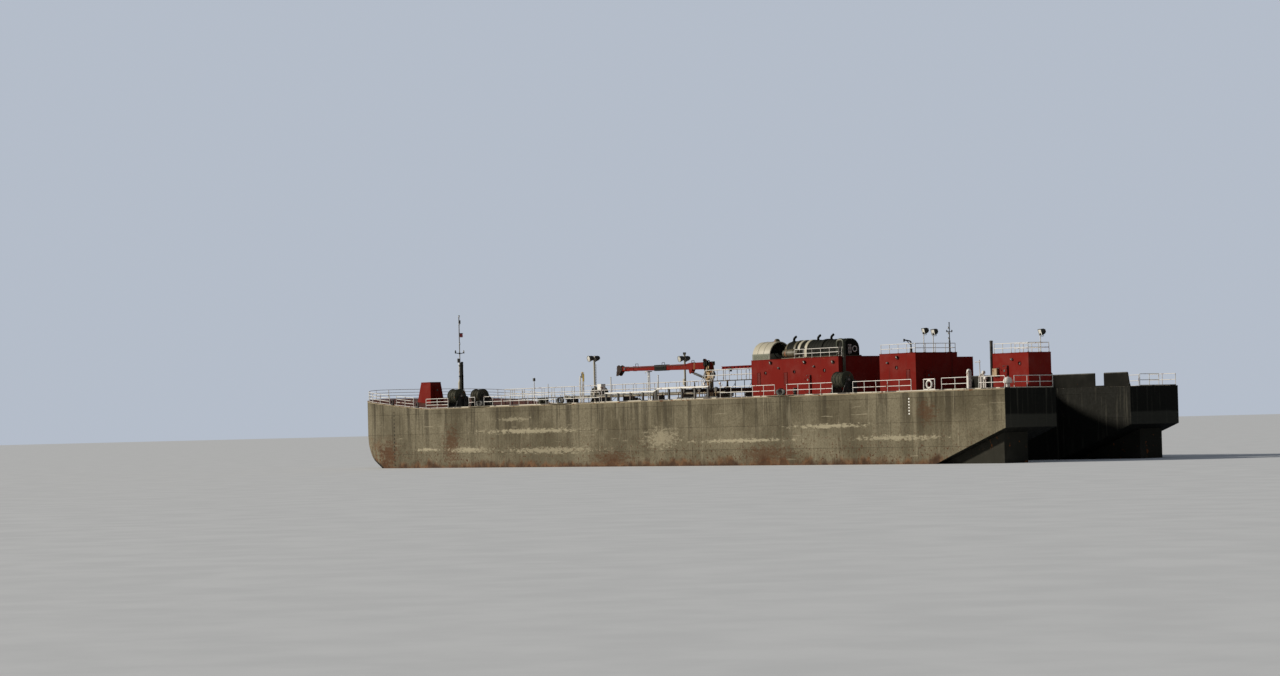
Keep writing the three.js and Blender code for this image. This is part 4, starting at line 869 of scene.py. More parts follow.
def tapered(sections, axis="Z", at=(0, 0, 0), cut=0.12):
    """A lofted box: at each place along the axis, a rectangle of two half sizes whose corners are cut by a
    share."""
    rings = []
    for place, half_u, half_v in sections:
        corner = cut * min(half_u, half_v)
        u = CORNER_U * (half_u - CUT_U * corner)
        v = CORNER_V * (half_v - (1 - CUT_U) * corner)
        w = np.full(8, place)
        rings.append(np.stack({"Z": (u, v, w), "X": (w, u, v), "Y": (v, w, u)}[axis], -1))
    return moved(shells(np.stack(rings)[None]), at)


def disc(radius, low, high, at=(0, 0, 0), axis="Z", edge=0.001, sides=24):
    """A round plate or bar with its edges cut, from one height to the other along an axis."""
    profile = [
        [0, low], [radius - edge, low], [radius, low + edge], [radius, high - edge], [radius - edge, high],
        [0, high]
    ]
    return lathe(profile, at, axis, sides)


def ring(centre, radius, tube, axis="Y", steps=28, sides=10):
    """A torus: a small circle carried round a large one that lies across the axis."""
    angle = 2 * np.pi * np.arange(steps) / steps
    u, v, flat = radius * np.cos(angle), radius * np.sin(angle), 0 * angle
    path = np.stack({"X": (flat, u, v), "Y": (u, flat, v), "Z": (u, v, flat)}[axis], -1)
    normal = {"X": (1, 0, 0), "Y": (0, 1, 0), "Z": (0, 0, 1)}[axis]
    return swept(path + centre, tube, normal, sides, closed=True)


def tube(points, radius, normal=(0, 1, 0), corner=0.02, sides=12):
    """A pipe with rounded corners through points that lie in one plane."""
    return swept(bend(points, corner), radius, normal, sides)


def bolts(centre, radius, count, size, axis="Z", reach=0.002):
    """A circle of six-sided bolt heads standing out of a face."""
    angle = 2 * np.pi * (np.arange(count) + 0.5) / count
    u, v, flat = radius * np.cos(angle), radius * np.sin(angle), 0 * angle
    places = np.stack({"X": (flat, u, v), "Y": (v, flat, u), "Z": (u, v, flat)}[axis], -1) + centre
    up = np.array({"X": (1.0, 0, 0), "Y": (0, 1.0, 0), "Z": (0, 0, 1.0)}[axis]) * reach
    return rods(places - up, places + up, size, 6)


def flange(centre, radius, thick, axis="X", count=8):
    """A pipe flange with its bolts."""
    plate = disc(radius, -thick / 2, thick / 2, centre, axis, thick * 0.15)
    return joined(plate, bolts(centre, radius * 0.8, count, radius * 0.09, axis, thick / 2 + 0.0015))


def handwheel(centre, radius, spokes=5):
    """A valve's wheel lying flat: a round rim, spokes and a hub."""
    angle = 2 * np.pi * np.arange(spokes) / spokes
    rim = np.stack([np.cos(angle), np.sin(angle), 0 * angle], -1) * radius + centre
    hub = disc(radius * 0.2, -0.004, 0.005, centre, edge=0.001, sides=12)
    return joined(
        ring(centre, radius, radius * 0.1, "Z", 24, 8), hub, rods(np.asarray(centre), rim, radius * 0.07, 6)
    )


def railing(start, end, spacing=0.171, height=0.118, rows=2, pipe=0.0032):
    """A straight rail between two places: round posts evenly spaced, and a bar at each of the rows."""
    start, end = np.asarray(start, float), np.asarray(end, float)
    count = max(2, round(float(np.linalg.norm(end - start)) / spacing) + 1)
    base = start + (end - start) * np.linspace(0, 1, count)[:, None]
    posts = rods(base, base + (0, 0, height - pipe), pipe)
    levels = (height - pipe) * (1 + np.arange(rows)) / rows
    lift = np.stack([0 * levels, 0 * levels, levels], -1)
    feet = copies(disc(pipe * 2.4, 0, pipe, sides=10), base)
    return joined(posts, rods(start + lift, end + lift, pipe * 0.95), feet)


def floodlight(at, heading, size=0.044, tilt=12):
    """A floodlight that looks along its heading in degrees: a ribbed tapering housing, a rim, a pale pane and
    a fork.

    It is built looking along -Y, tipped down, turned, and then moved. Returns its dark and its pale shapes.
    """
    half = size / 2
    back = size * 0.95
    housing = tapered(
        [(0, half, half), (0.3 * size, half, half), (back, half * 0.55, half * 0.5)], "Y", cut=0.25
    )
    fins = [
        tapered([(y, half * 0.9, half * 0.9), (y + 0.002, half * 0.9, half * 0.9)], "Y")
        for y in (0.45 * size, 0.6 * size)
    ]
    rim = joined(
        block((-half - 0.002, -0.003, half - 0.003), (half + 0.002, 0.002, half + 0.002), 0.001),
        block((-half - 0.002, -0.003, -half - 0.002), (half + 0.002, 0.002, -half + 0.003), 0.001),
        block((-half - 0.002, -0.003, -half), (-half + 0.003, 0.002, half), 0.001),
        block((half - 0.003, -0.003, -half), (half + 0.002, 0.002, half), 0.001),
    )
    fork = swept(
        bend(
            [
                (-half - 0.004, 0.3 * size, 0), (-half - 0.004, 0.3 * size, -half - 0.009),
                (half + 0.004, 0.3 * size, -half - 0.009), (half + 0.004, 0.3 * size, 0)
            ],
            0.006
        ),
        0.002, (0, 1, 0), 6
    )
    pane = tapered([(-0.0015, half - 0.002, half - 0.002), (0.001, half - 0.002, half - 0.002)], "Y", cut=0.2)
    shapes = []
    for shape in (joined(housing, *fins, rim), pane):
        shape = turned(turned(shape, tilt, "X"), heading)
        shapes.append(moved(shape, at))
    shapes[0] = joined(shapes[0], moved(turned(fork, heading), at))
    return shapes


# Deck edge, rails and mooring gear

RAIL_LINE = HALF - RAIL["inset"]
RAIL_END = STERN - RAIL["inset"]
GUTTER = {"half": 0.003, "height": 0.010, "start": -3.54}
# Stretches of rail along each side in x, and across the transom in distance from the centre line
RAIL_RUNS = {
    "port": {
        "side": [(-3.116, -0.56), (1.56, 3.34), (3.65, 4.5), (4.93, 5.3), (5.44, RAIL_END)],
        "stern": (0.516, 1.01),
    },
    "starboard": {"side": [(-3.116, 4.5), (4.93, 5.3), (5.44, RAIL_END)], "stern": (0.64, 0.9)},
}
CHOCK = {
    "length": 0.150, "height": 0.062, "thick": 0.024, "hole": 0.022, "pad": 0.008, "pad_length": 0.42,
    "bulge": 0.022
}
BITT = {"radius": 0.017, "height": 0.080, "cap": 0.022, "spread": 0.110, "inboard": 0.110, "pad": 0.008}


def chock(x):
    """A closed chock on the port rail's line.

    A ring runs between the hole's circle and a wide outline, a cos and sin with a power under 1; its section
    is an ellipse that is as thick as the chock.
    """
    around, through = 44, 12
    angle = (2 * np.pi * np.arange(around) / around)[:, None]
    section = (2 * np.pi * np.arange(through) / through)[None]
    share = 0.5 - 0.5 * np.cos(section)
    wide = CHOCK["length"] / 2 * np.sign(np.cos(angle)) * np.abs(np.cos(angle)) ** 0.55
    tall = CHOCK["height"] / 2 * np.sign(np.sin(angle)) * np.abs(np.sin(angle)) ** 0.7
    u = CHOCK["hole"] * np.cos(angle) * (1 - share) + wide * share
    v = CHOCK["hole"] * np.sin(angle) * (1 - share) + tall * share
    depth = CHOCK["thick"] / 2 * np.sin(section) + 0 * u
    points = np.stack([x + u, depth - RAIL_LINE, FLOOR + CHOCK["pad"] + CHOCK["height"] / 2 + v], -1)
    return points.reshape(-1, 3), [grid_faces(around + 1, through) % (around * through)]


def chock_pad(x):
    """The pad under a chock: its outer edge is an arc that bulges over the deck's edge."""
    half = CHOCK["pad_length"] / 2
    angle = np.linspace(0, np.pi, 25)
    edge = np.stack([x - half * np.cos(angle), -HALF - CHOCK["bulge"] * np.sin(angle)], -1)
    outline_points = np.concatenate([[[x - half, 0.010 - RAIL_LINE]], edge, [[x + half, 0.010 - RAIL_LINE]]])
    return prism(outline_points, "Z", FLOOR, FLOOR + CHOCK["pad"], 0.0015)


def rail_stretches(runs):
    """The runs of rail, broken where a chock stands."""
    room = CHOCK["length"] / 2 + 0.02
    for start, end in runs:
        for x in STATIONS:
            if start < x < end:
                yield start, x - room
                start = x + room
        yield start, end


def side_rail(side):
    runs = RAIL_RUNS[side]
    y = -RAIL_LINE
    rails = [railing((start, y, FLOOR), (end, y, FLOOR)) for start, end in rail_stretches(runs["side"])]
    inner, outer = runs["stern"]
    rails.append(railing((RAIL_END, -outer, FLOOR), (RAIL_END, -inner, FLOOR), 0.165))
    half, top = GUTTER["half"], FLOOR + GUTTER["height"]
    gutter = joined(
        block((GUTTER["start"], y - half, FLOOR), (RAIL_END + half, y + half, top), 0.0008),
        block((RAIL_END - half, y, FLOOR), (RAIL_END + half, -inner, top), 0.0008),
    )
    pads = joined(*[chock_pad(x) for x in STATIONS])
    castings = joined(*[chock(x) for x in STATIONS])
    groups = [(WHITE, joined(*rails)), (GUTTER_SHADOW_PAINT, gutter), (HULL, pads), (DARK, castings)]
    if side == "starboard":
        groups = [(material, mirrored(shape)) for material, shape in groups]
    many(f"{side}_rail_pipes", groups, replaces=f"{side}_rail")


# Posts of the bow rail in x, and the stretches without bars between them
BOW_POSTS = (-3.57, -3.80, -4.04, -4.31, -4.50, -4.69, -4.845, -5.06, -5.27, -5.45, -5.59, -5.70, -5.77)
BOW_OPEN = ((-4.31, -4.04), (-4.845, -4.69))
BOW_FAIRLEADS = (-4.22, -4.77)


def rail_line(x):
    """Distance of the bow rail from the centre plane: y = line (1 - s^(2/p))^(p/2), s the share from shoulder
    to nose."""
    shoulder, nose = BOW_LEVELS[-1, 1:]
    share = np.clip((np.asarray(x, float) - shoulder) / (nose - shoulder), 0, 1)
    return RAIL_LINE * (1 - share ** (2 / BOW_FULLNESS)) ** (BOW_FULLNESS / 2)


def bow_rail():
    """The rail round the bow: a toe bar and two bars swept along the deck's edge line, and posts at their
    places."""
    angle = np.linspace(0, np.pi / 2, 120)
    shoulder, nose = BOW_LEVELS[-1, 1:]
    inset, height, pipe = RAIL["inset"], RAIL["height"], RAIL["pipe"]
    x = np.append(BOW_POSTS[0], shoulder + (nose - shoulder) * np.sin(angle) ** BOW_FULLNESS)
    y = np.append(-RAIL_LINE, -RAIL_LINE * np.cos(angle) ** BOW_FULLNESS)
    half = np.stack([x + inset, y, 0 * x], -1)
    line = np.concatenate([half, (half * (1, -1, 1))[-2::-1]])
    travelled = np.append(0, np.cumsum(np.linalg.norm(np.diff(line, axis=0), axis=1)))
    even = np.linspace(0, travelled[-1], 280)
    line = np.stack([np.interp(even, travelled, line[:, axis]) for axis in range(3)], -1)
    line[:, 2] = deck_at(line[:, 0])
    free = np.zeros(len(line), bool)
    for low, high in BOW_OPEN:
        free |= (line[:, 0] > low + inset) & (line[:, 0] < high + inset)
    shapes = [swept(line + (0, 0, 0.06 * height), 0.0028, (0, 0, 1), 8)]
    for numbers in np.split(np.arange(len(line)), np.flatnonzero(np.diff(free.astype(int))) + 1):
        if not free[numbers[0]]:
            for share in (0.36, 0.66, 0.97):
                shapes.append(swept(line[numbers] + (0, 0, share * height), 0.0030, (0, 0, 1), 8))
    post_x = np.array(BOW_POSTS)
    base = np.stack([post_x + inset, -rail_line(post_x), deck_at(post_x + inset)], -1)
    base = np.concatenate([base, base * (1, -1, 1)])
    shapes.append(rods(base - (0, 0, 0.008), base + (0, 0, height), pipe * 1.15, 10))
    shapes.append(copies(disc(0.0075, 0, 0.004, sides=10), base))
    rings = []
    for x in BOW_FAIRLEADS:
        centre = np.array([x, -rail_line(x), float(deck_at(x)) + 0.037])
        rings.append(ring(centre, 0.024, 0.008, "Y"))
        rings.append(block(centre - (0.034, 0.012, 0.038), centre + (0.034, 0.012, -0.026), 0.003))
    rings = joined(*rings)
    groups = [(WHITE, joined(*shapes)), (DARK, joined(rings, mirrored(rings)))]
    many("bow_rail_pipes", groups, replaces="bow_rail")


def bitts(name, x, y):
    """A pair of bitts: two capped posts with a cross pin each, on a pad."""
    radius, height, cap, pad = BITT["radius"], BITT["height"], BITT["cap"], BITT["pad"]
    profile = [
        [0, pad - 0.001],
        [radius + 0.005, pad - 0.001],
        [radius + 0.001, pad + 0.004],
        [radius, pad + 0.008],
        [radius, height - 0.014],
        [cap - 0.001, height - 0.008],
        [cap, height - 0.005],
        [cap - 0.002, height - 0.001],
        [0, height],
    ]
    post = joined(lathe(profile), rod((0, -0.03, 0.045), (0, 0.03, 0.045), 0.004, 8))
    posts = copies(post, [(-BITT["spread"], 0, 0), (BITT["spread"], 0, 0)])
    base = block((-BITT["spread"] - 0.04, -0.034, 0), (BITT["spread"] + 0.04, 0.034, pad), 0.002)
    many(f"{name}_posts", [(DARK, posts), (CREAM, base)], replaces=name, at=(x, y, FLOOR))


side_rail("port")
side_rail("starboard")
bow_rail()
for number, station in enumerate(STATIONS, 1):
    bitts(f"port_bitts_{number}", station, BITT["inboard"] - HALF)
    bitts(f"starboard_bitts_{number}", station, HALF - BITT["inboard"])


# Winches

WINCHES = [
    {"name": "forward_port", "x": -3.524, "y": -1.03, "centre": 0.139},
    {"name": "forward_centre", "x": -3.895, "y": -0.46, "centre": 0.139},
    {"name": "forward_starboard", "x": -3.524, "y": 1.03, "centre": 0.139},
    {"name": "aft", "x": 3.379, "y": -1.03, "centre": 0.140},
]
WINCH = {
    "length": 0.158, "thick": 0.012, "foot": 0.080, "head": 0.026, "bed": 0.012, "clear": 0.005, "axle": 0.012
}
DRUM = {"radius": 0.082, "flange": 0.010, "core": 0.066, "turns": 15}


def winch_frame(winch, at):
    """A bed, two cheeks of legs narrowing to round bearings, edge bars, bolts and a gear case with a
    motor."""
    centre, radius = winch["centre"], DRUM["radius"]
    half, thick, bed, foot = WINCH["length"] / 2, WINCH["thick"], WINCH["bed"], WINCH["foot"]
    shapes = [block((-half - 0.04, -radius - 0.014, -0.011), (half + 0.04, radius + 0.014, bed), 0.002)]
    side = np.concatenate(
        [[[-foot, bed - 0.001], [foot, bed - 0.001]], arc((0, centre), WINCH["head"], 12, 168, 12)]
    )
    for sign in (-1, 1):
        near = sign * (half + WINCH["clear"])
        low, high = sorted((near, near + sign * thick))
        shapes.append(prism(side, "X", low + 0.003, high - 0.003))
        shapes.append(disc(0.026, low, high, (0, 0, centre), "X", 0.002))
        shapes.append(bolts(((low + high) / 2, 0, centre), 0.020, 6, 0.0026, "X", thick / 2 + 0.001))
        for leg in (-1, 1):
            start = np.array([(low + high) / 2, leg * (foot - 0.006), bed])
            end = np.array([(low + high) / 2, leg * (WINCH["head"] - 0.006), centre + 0.004])
            shapes.append(rods(start, end, thick / 2, 8))
        shapes.append(block((low, -foot - 0.006, bed - 0.002), (high, foot + 0.006, bed + 0.006)))
    case = half + WINCH["clear"] + thick
    shapes.append(
        block((case - 0.001, radius * 0.35, bed - 0.001), (case + 0.020, radius + 0.010, centre * 0.8), 0.004)
    )
    shapes.append(disc(0.026, case - 0.001, case + 0.026, (0, radius * 0.72, centre - 0.028), "X", 0.003))
    shapes.append(bolts((case + 0.020, radius * 0.72, centre - 0.062), 0.018, 6, 0.003, "X"))
    corners = [(u, v, bed) for u in (-half - 0.032, half + 0.032) for v in (-radius - 0.004, radius + 0.004)]
    shapes.append(copies(rod((0, 0, -0.002), (0, 0, 0.003), 0.004, 6), corners))
    name = f"{winch['name']}_winch_frame"
    piece(f"{name}_steel", moved(joined(*shapes), at), DARK, replaces=name)


def winch_drum(winch, at):
    """Flanges with a toothed ring, an axle and turns of rope: along the core the radius is a row of half
    rounds."""
    radius = DRUM["radius"]
    half, core, rim = WINCH["length"] / 2, DRUM["core"], DRUM["flange"]
    low, high = -half + rim - 0.002, half - rim + 0.002
    along = np.linspace(0, DRUM["turns"], DRUM["turns"] * 6 + 1)
    bulge = np.sqrt(1 - (2 * (along % 1) - 1) ** 2)
    swell = 0.004 * np.sin(along * 0.9) + 0.003 * np.sin(along * 2.3)
    wire = np.stack([core + swell + 0.006 * bulge, low + (high - low) * along / DRUM["turns"]], -1)
    wire = np.concatenate([[[0, low]], wire, [[0, high]]])
    plates = []
    for sign in (-1, 1):
        start, end = sorted((sign * half, sign * (half - rim)))
        plates.append(disc(radius, start, end, axis="X", edge=0.0025, sides=48))
        plates.append(ring((sign * (half - rim / 2), 0, 0), radius - 0.003, 0.004, "X", 48, 8))
    end = half + WINCH["clear"] + WINCH["thick"] + 0.008
    axle = [disc(WINCH["axle"], -end, end, axis="X", edge=0.0015)]
    axle.append(bolts((half - 0.001, 0, 0), 0.034, 10, 0.0036, "X"))
    ribs = []
    for degrees in range(0, 360, 45):
        rib = block((half - 0.001, core * 0.3, -0.002), (half + 0.001, radius - 0.008, 0.002), 0.0006)
        ribs.append(turned(rib, degrees, "X"))
    groups = [
        (OLIVE, joined(*plates, *ribs)), (ROPE, lathe(wire, axis="X", sides=40)), (STEEL, joined(*axle))
    ]
    name = winch["name"]
    many(f"{name}_drum_turns", groups, f"{name}_drum", f"{name}_winch_drum", at=at)


for winch in WINCHES:
    lift = float(deck_at(winch["x"] - WINCH["length"])) + SEAT
    winch_frame(winch, (winch["x"], winch["y"], lift))
    winch_drum(winch, (winch["x"], winch["y"], lift + winch["centre"]))


# Crane, in metres from the slewing axis and the deck

CRANE_AT = np.array([-0.05, 0, FLOOR])
PIVOT = 0.375
BOOM = {
    "length": 1.64, "half": 0.022, "back": 0.024, "bottom": (-0.036, -0.010), "top": (0.044, 0.034),
    "step": (0.328, 0.394)
}
LUG = {"out": 0.320, "drop": 0.062, "thick": 0.006, "spread": 0.017}
FOOT = {"out": 0.078, "height": 0.240}
CRUTCH = 1.11
# Bands round the boom: distance from the pivot, length, how far they stand out
BOOM_BANDS = [(0.285, 0.012, 0.004), (0.834, 0.010, 0.003), (1.366, 0.010, 0.003), (1.515, 0.020, 0.004)]


def boom_bottom(x):
    low, high = BOOM["bottom"]
    return low + (high - low) * (BOOM["back"] - x) / (BOOM["back"] + BOOM["length"])


def crane_boom():
    """The slender box boom with bands, a sleeve, a pipe along its side, and a small box near the tip."""
    start, tip, top = -BOOM["step"][1], -BOOM["length"], BOOM["top"][1]
    half = BOOM["half"]
    side = [(start, boom_bottom(start)), (start, top), (tip, top), (tip, boom_bottom(tip))]
    beam = [prism(side, "Y", -half, half, 0.002)]
    for out, length, proud in BOOM_BANDS[1:]:
        low = (-out - length / 2, -half - proud, boom_bottom(-out) - proud)
        high = (-out + length / 2, half + proud, top + proud)
        beam.append(block(low, high, 0.001))
    sleeve_low = (-0.972, -half - 0.005, boom_bottom(-0.86) - 0.005)
    sleeve = [block(sleeve_low, (-0.751, half + 0.005, top + 0.006), 0.002)]
    sleeve.append(block((-0.93, -half - 0.009, 0), (-0.80, -half - 0.004, 0.018), 0.001))
    line = rod((start, -half - 0.004, 0.024), (tip + 0.10, -half - 0.004, 0.024), 0.003, 8)
    clips = [
        block((x, -half - 0.008, 0.019), (x + 0.008, -half + 0.001, 0.029), 0.001)
        for x in np.arange(-1.45, -0.45, 0.16)
    ]
    box = block((-1.545, -half - 0.008, 0.0), (-1.515, -half + 0.001, 0.026), 0.002)
    hoops = []
    for x in (-1.330, -0.835):
        path = [
            (x - 0.024, 0, top - 0.004), (x - 0.024, 0, top + 0.030), (x + 0.024, 0, top + 0.030),
            (x + 0.024, 0, top - 0.004)
        ]
        hoops.append(tube(path, 0.0026, corner=0.005, sides=8))
    groups = [(RED, joined(*beam)), (BLACK, joined(*sleeve, *hoops)), (DARK, joined(line, *clips, box))]
    many("crane_boom_box", groups, "boom", "crane_boom", at=CRANE_AT + (0, 0, PIVOT))


def crane_boom_heel():
    """The deep heel: a box with doubling plates at the pin, a gusset, and two ears for the rod."""
    step, full = BOOM["step"]
    half, back = BOOM["half"], BOOM["back"]
    low_top, high_top = BOOM["top"][1], BOOM["top"][0]
    side = [
        (back, boom_bottom(back)), (back, high_top), (-step, high_top), (-full, low_top),
        (-full, boom_bottom(-full))
    ]
    shapes = [prism(side, "Y", -half, half, 0.002)]
    for sign in (-1, 1):
        shapes.append(disc(0.027, *sorted((sign * half, sign * (half + 0.003))), (0, 0, 0), "Y", 0.001))
        plate = [(-0.05, -0.022), (-0.05, 0.026), (-0.28, 0.030), (-0.30, 0.0), (-0.28, -0.020)]
        shapes.append(prism(plate, "Y", *sorted((sign * half - sign * 0.001, sign * (half + 0.0025)))))
    out, drop = LUG["out"], LUG["drop"]
    ear = np.array([
        (-out - 0.016, -drop - 0.006), (-out - 0.008, -drop - 0.014), (-out + 0.008, -drop - 0.014),
        (-out + 0.016, -drop - 0.006), (-out + 0.044, -0.02), (-out - 0.030, -0.02)
    ])
    near, far = LUG["spread"], LUG["spread"] + LUG["thick"]
    shapes += [prism(ear, "Y", near, far, 0.001), prism(ear, "Y", -far, -near, 0.001)]
    out, length, proud = BOOM_BANDS[0]
    low = (-out - length / 2, -half - proud, boom_bottom(-out) - proud)
    shapes.append(block(low, (-out + length / 2, half + proud, high_top + proud), 0.001))
    rusty = prism(
        [(-0.262, boom_bottom(-0.26)), (-0.232, boom_bottom(-0.23)), (-0.222, high_top), (-0.252, high_top)],
        "Y", -half - 0.003, half + 0.003
    )
    path = [(-0.318, 0, 0.030), (-0.318, 0, 0.068), (-0.272, 0, 0.068), (-0.272, 0, 0.040)]
    groups = [(RED, joined(*shapes)), (RUSTED, rusty), (BLACK, tube(path, 0.0028, corner=0.005, sides=8))]
    many("crane_boom_heel_box", groups, "boom", "crane_boom_heel", at=CRANE_AT + (0, 0, PIVOT))


def crane_head():
    """The head: two rounded plates that clasp the tip, the sheave and the hook's block between them."""
    tip = -BOOM["length"]
    outline_points = np.array([
        (-0.050, -0.060), (-0.036, -0.064), (-0.010, -0.062), (0.030, -0.026), (0.060, 0.000),
        (0.062, 0.024), (0.040, 0.044), (0.010, 0.058), (-0.012, 0.058), (-0.026, 0.040)
    ])
    inner = BOOM["half"] + SEAT
    shapes = [
        prism(outline_points, "Y", inner, inner + 0.006, 0.001),
        prism(outline_points, "Y", -inner - 0.006, -inner, 0.001)
    ]
    shapes.append(disc(0.030, -inner, inner, (-0.018, 0, -0.026), "Y", 0.004, 30))
    shapes.append(block((-0.046, -inner, -0.006), (-0.004, inner, 0.050), 0.004))
    shapes.append(disc(0.009, -inner - 0.012, inner + 0.012, (-0.018, 0, -0.026), "Y"))
    shapes.append(disc(0.006, -inner - 0.010, inner + 0.010, (0.034, 0, 0.012), "Y"))
    shapes.append(bolts((0, -inner - 0.006, 0), 0.046, 8, 0.003, "Y"))
    shape = moved(joined(*shapes), CRANE_AT + (tip, 0, PIVOT))
    piece("crane_head_plates", shape, BROWN, "boom", "crane_head")


def crane_king():
    """The turning king: a bolted table, two cheeks, a winch with its wire, hydraulic gear, and the cylinder's
    lugs."""
    low, cheek = 0.2253, BOOM["half"] + 0.005
    table = [
        disc(0.048, low, low + 0.016, edge=0.002, sides=32), bolts((0, 0, low + 0.016), 0.043, 12, 0.0028)
    ]
    side = [
        (-0.046, low + 0.015), (0.046, low + 0.015), (0.046, low + 0.070), (0.026, 0.401), (-0.030, 0.401)
    ]
    for y in (cheek, -cheek - 0.008):
        table.append(prism(side, "Y", y, y + 0.008, 0.001))
        table.append(
            prism(
                [(-0.03, low + 0.09), (0.03, low + 0.09), (0.018, 0.385), (-0.02, 0.385)], "Y", y - 0.0005,
                y + 0.0095, 0.002
            )
        )
    shaft = disc(0.010, -cheek - 0.012, cheek + 0.012, (0, 0, PIVOT), "Y")
    drum_at = (0.040, 0, low + 0.0597)
    turns = np.linspace(0, 9, 55)
    wire = np.stack(
        [0.0165 + 0.003 * np.sqrt(1 - (2 * (turns % 1) - 1) ** 2), -0.026 + 0.052 * turns / 9], -1
    )
    wire = lathe(np.concatenate([[[0, -0.026]], wire, [[0, 0.026]]]), drum_at, "Y", 24)
    rims = [disc(0.022, y, y + 0.004, drum_at, "Y", 0.0008) for y in (-0.034, 0.030)]
    gear = [
        block((-0.040, -0.046, low + 0.018), (-0.012, -0.034, low + 0.066), 0.003),
        disc(0.012, -0.046, -0.034, (0.012, 0, low + 0.098), "Y", 0.002),
        disc(0.009, 0.034, 0.046, (0.0, 0, low + 0.05), "Y", 0.002),
    ]
    hoses = []
    for shift in (0.0, 0.008, 0.016):
        path = [
            (-0.02 - shift, -0.040, low + 0.06), (-0.03 - shift, -0.040, low + 0.12),
            (-0.004 - shift, -0.040, 0.408), (0.008, -0.040, 0.36), (0.012 + shift / 2, -0.040, low + 0.104)
        ]
        hoses.append(tube(path, 0.0026, corner=0.018, sides=8))
    out, height = FOOT["out"], FOOT["height"]
    lugs = []
    for y in (0.009, -0.015):
        lugs.append(block((-out, y, low + 0.008), (-0.020, y + 0.006, height + 0.009), 0.001))
        lugs.append(disc(0.010, y, y + 0.006, (-out, 0, height), "Y"))
    lugs.append(disc(0.005, -0.017, 0.017, (-out, 0, height), "Y"))
    out = -cheek - 0.009
    top_gear = [
        block((-0.046, out - 0.020, 0.372), (-0.004, out, 0.428), 0.004),
        block((0.004, out - 0.024, 0.380), (0.034, out, 0.436), 0.004),
        disc(0.015, out - 0.026, out, (-0.024, 0, 0.440), "Y", 0.002),
        block((-0.040, -out, 0.380), (0.030, 0.020 - out, 0.425), 0.004),
        tube(
            [
                (0.030, out - 0.010, 0.430), (0.060, out - 0.010, 0.436), (0.064, out - 0.010, 0.380),
                (0.040, out - 0.010, 0.330)
            ],
            0.0055, corner=0.02, sides=10
        )
    ]
    red_bit = block((-0.004, out - 0.022, 0.436), (0.010, out - 0.004, 0.446), 0.002)
    yellow_bit = block((0.036, out - 0.012, 0.300), (0.046, out - 0.002, 0.350), 0.002)
    groups = [
        (TAN, joined(*table)), (STEEL, joined(shaft, *lugs)), (WIRE, wire),
        (BLACK, joined(*rims, *gear, *hoses, *top_gear))
    ]
    groups += [(RED, red_bit), (YELLOW, yellow_bit)]
    many("crane_king_frame", groups, "king", "crane_king", at=CRANE_AT)


def crane_cylinder():
    """The luffing cylinder along its tilt: a barrel with glands and a port, and a polished rod with its
    eye."""
    across, rise = LUG["out"] - FOOT["out"], PIVOT - LUG["drop"] - FOOT["height"]
    rest, tilt = math.hypot(across, rise), math.degrees(math.atan2(rise, across))
    end = -0.82 * rest
    at = CRANE_AT + (-FOOT["out"], 0, FOOT["height"])
    profile = [
        [0, -0.015], [0.0105, -0.015], [0.011, -0.016], [0.011, end + 0.020], [0.0125, end + 0.018],
        [0.0125, end + 0.001], [0.0115, end], [0, end]
    ]
    barrel = [lathe(profile[::-1], axis="X"), ring((0, 0, 0), 0.0075, 0.0022, "Y", 20, 8)]
    barrel += [
        tapered([(-0.018, 0.005, 0.005), (-0.007, 0.005, 0.004)], "X"),
        disc(0.004, 0.008, 0.015, (-0.03, 0, 0))
    ]
    barrel.append(disc(0.004, 0.008, 0.015, (end + 0.03, 0, 0)))
    barrel.append(
        tube(
            [(-0.03, 0, 0.012), (-0.03, 0, 0.016), (end + 0.03, 0, 0.016), (end + 0.03, 0, 0.012)], 0.002,
            corner=0.003, sides=6
        )
    )
    shaft = [
        rod((-rest + 0.008, 0, 0), (-0.033, 0, 0), 0.006, 16), ring((-rest, 0, 0), 0.0065, 0.0028, "Y", 20, 8)
    ]
    shaft.append(disc(0.004, -0.0165, 0.0165, (-rest, 0, 0), "Y"))
    barrel = moved(turned(joined(*barrel), tilt, "Y"), at)
    shaft = moved(turned(joined(*shaft), tilt, "Y"), at)
    piece("cylinder_barrel", barrel, DARK, "cylinder", "luffing_cylinder")
    piece("cylinder_rod", shaft, STEEL, "rod", "luffing_rod")


def crane_pedestal():
    """A tan column: a bolted foot, gussets round it, and a bolted collar."""
    profile = [
        [0, 0], [0.060, 0], [0.060, 0.010], [0.058, 0.012], [0.036, 0.013], [0.034, 0.016], [0.034, 0.205],
        [0.040, 0.209], [0.042, 0.214], [0.042, 0.222], [0.040, 0.225], [0, 0.225]
    ]
    gusset = prism([(0.033, 0.011), (0.057, 0.011), (0.033, 0.060)], "Y", -0.002, 0.002)
    gussets = [turned(gusset, angle) for angle in range(0, 360, 45)]
    top = prism([(0.033, 0.16), (0.041, 0.208), (0.033, 0.208)], "Y", -0.002, 0.002)
    gussets += [turned(top, angle) for angle in range(22, 382, 45)]
    column = joined(lathe(profile, sides=36), *gussets, bolts((0, 0, 0.012), 0.052, 16, 0.003))
    piece("crane_column", moved(column, CRANE_AT), TAN, replaces="crane_pedestal")


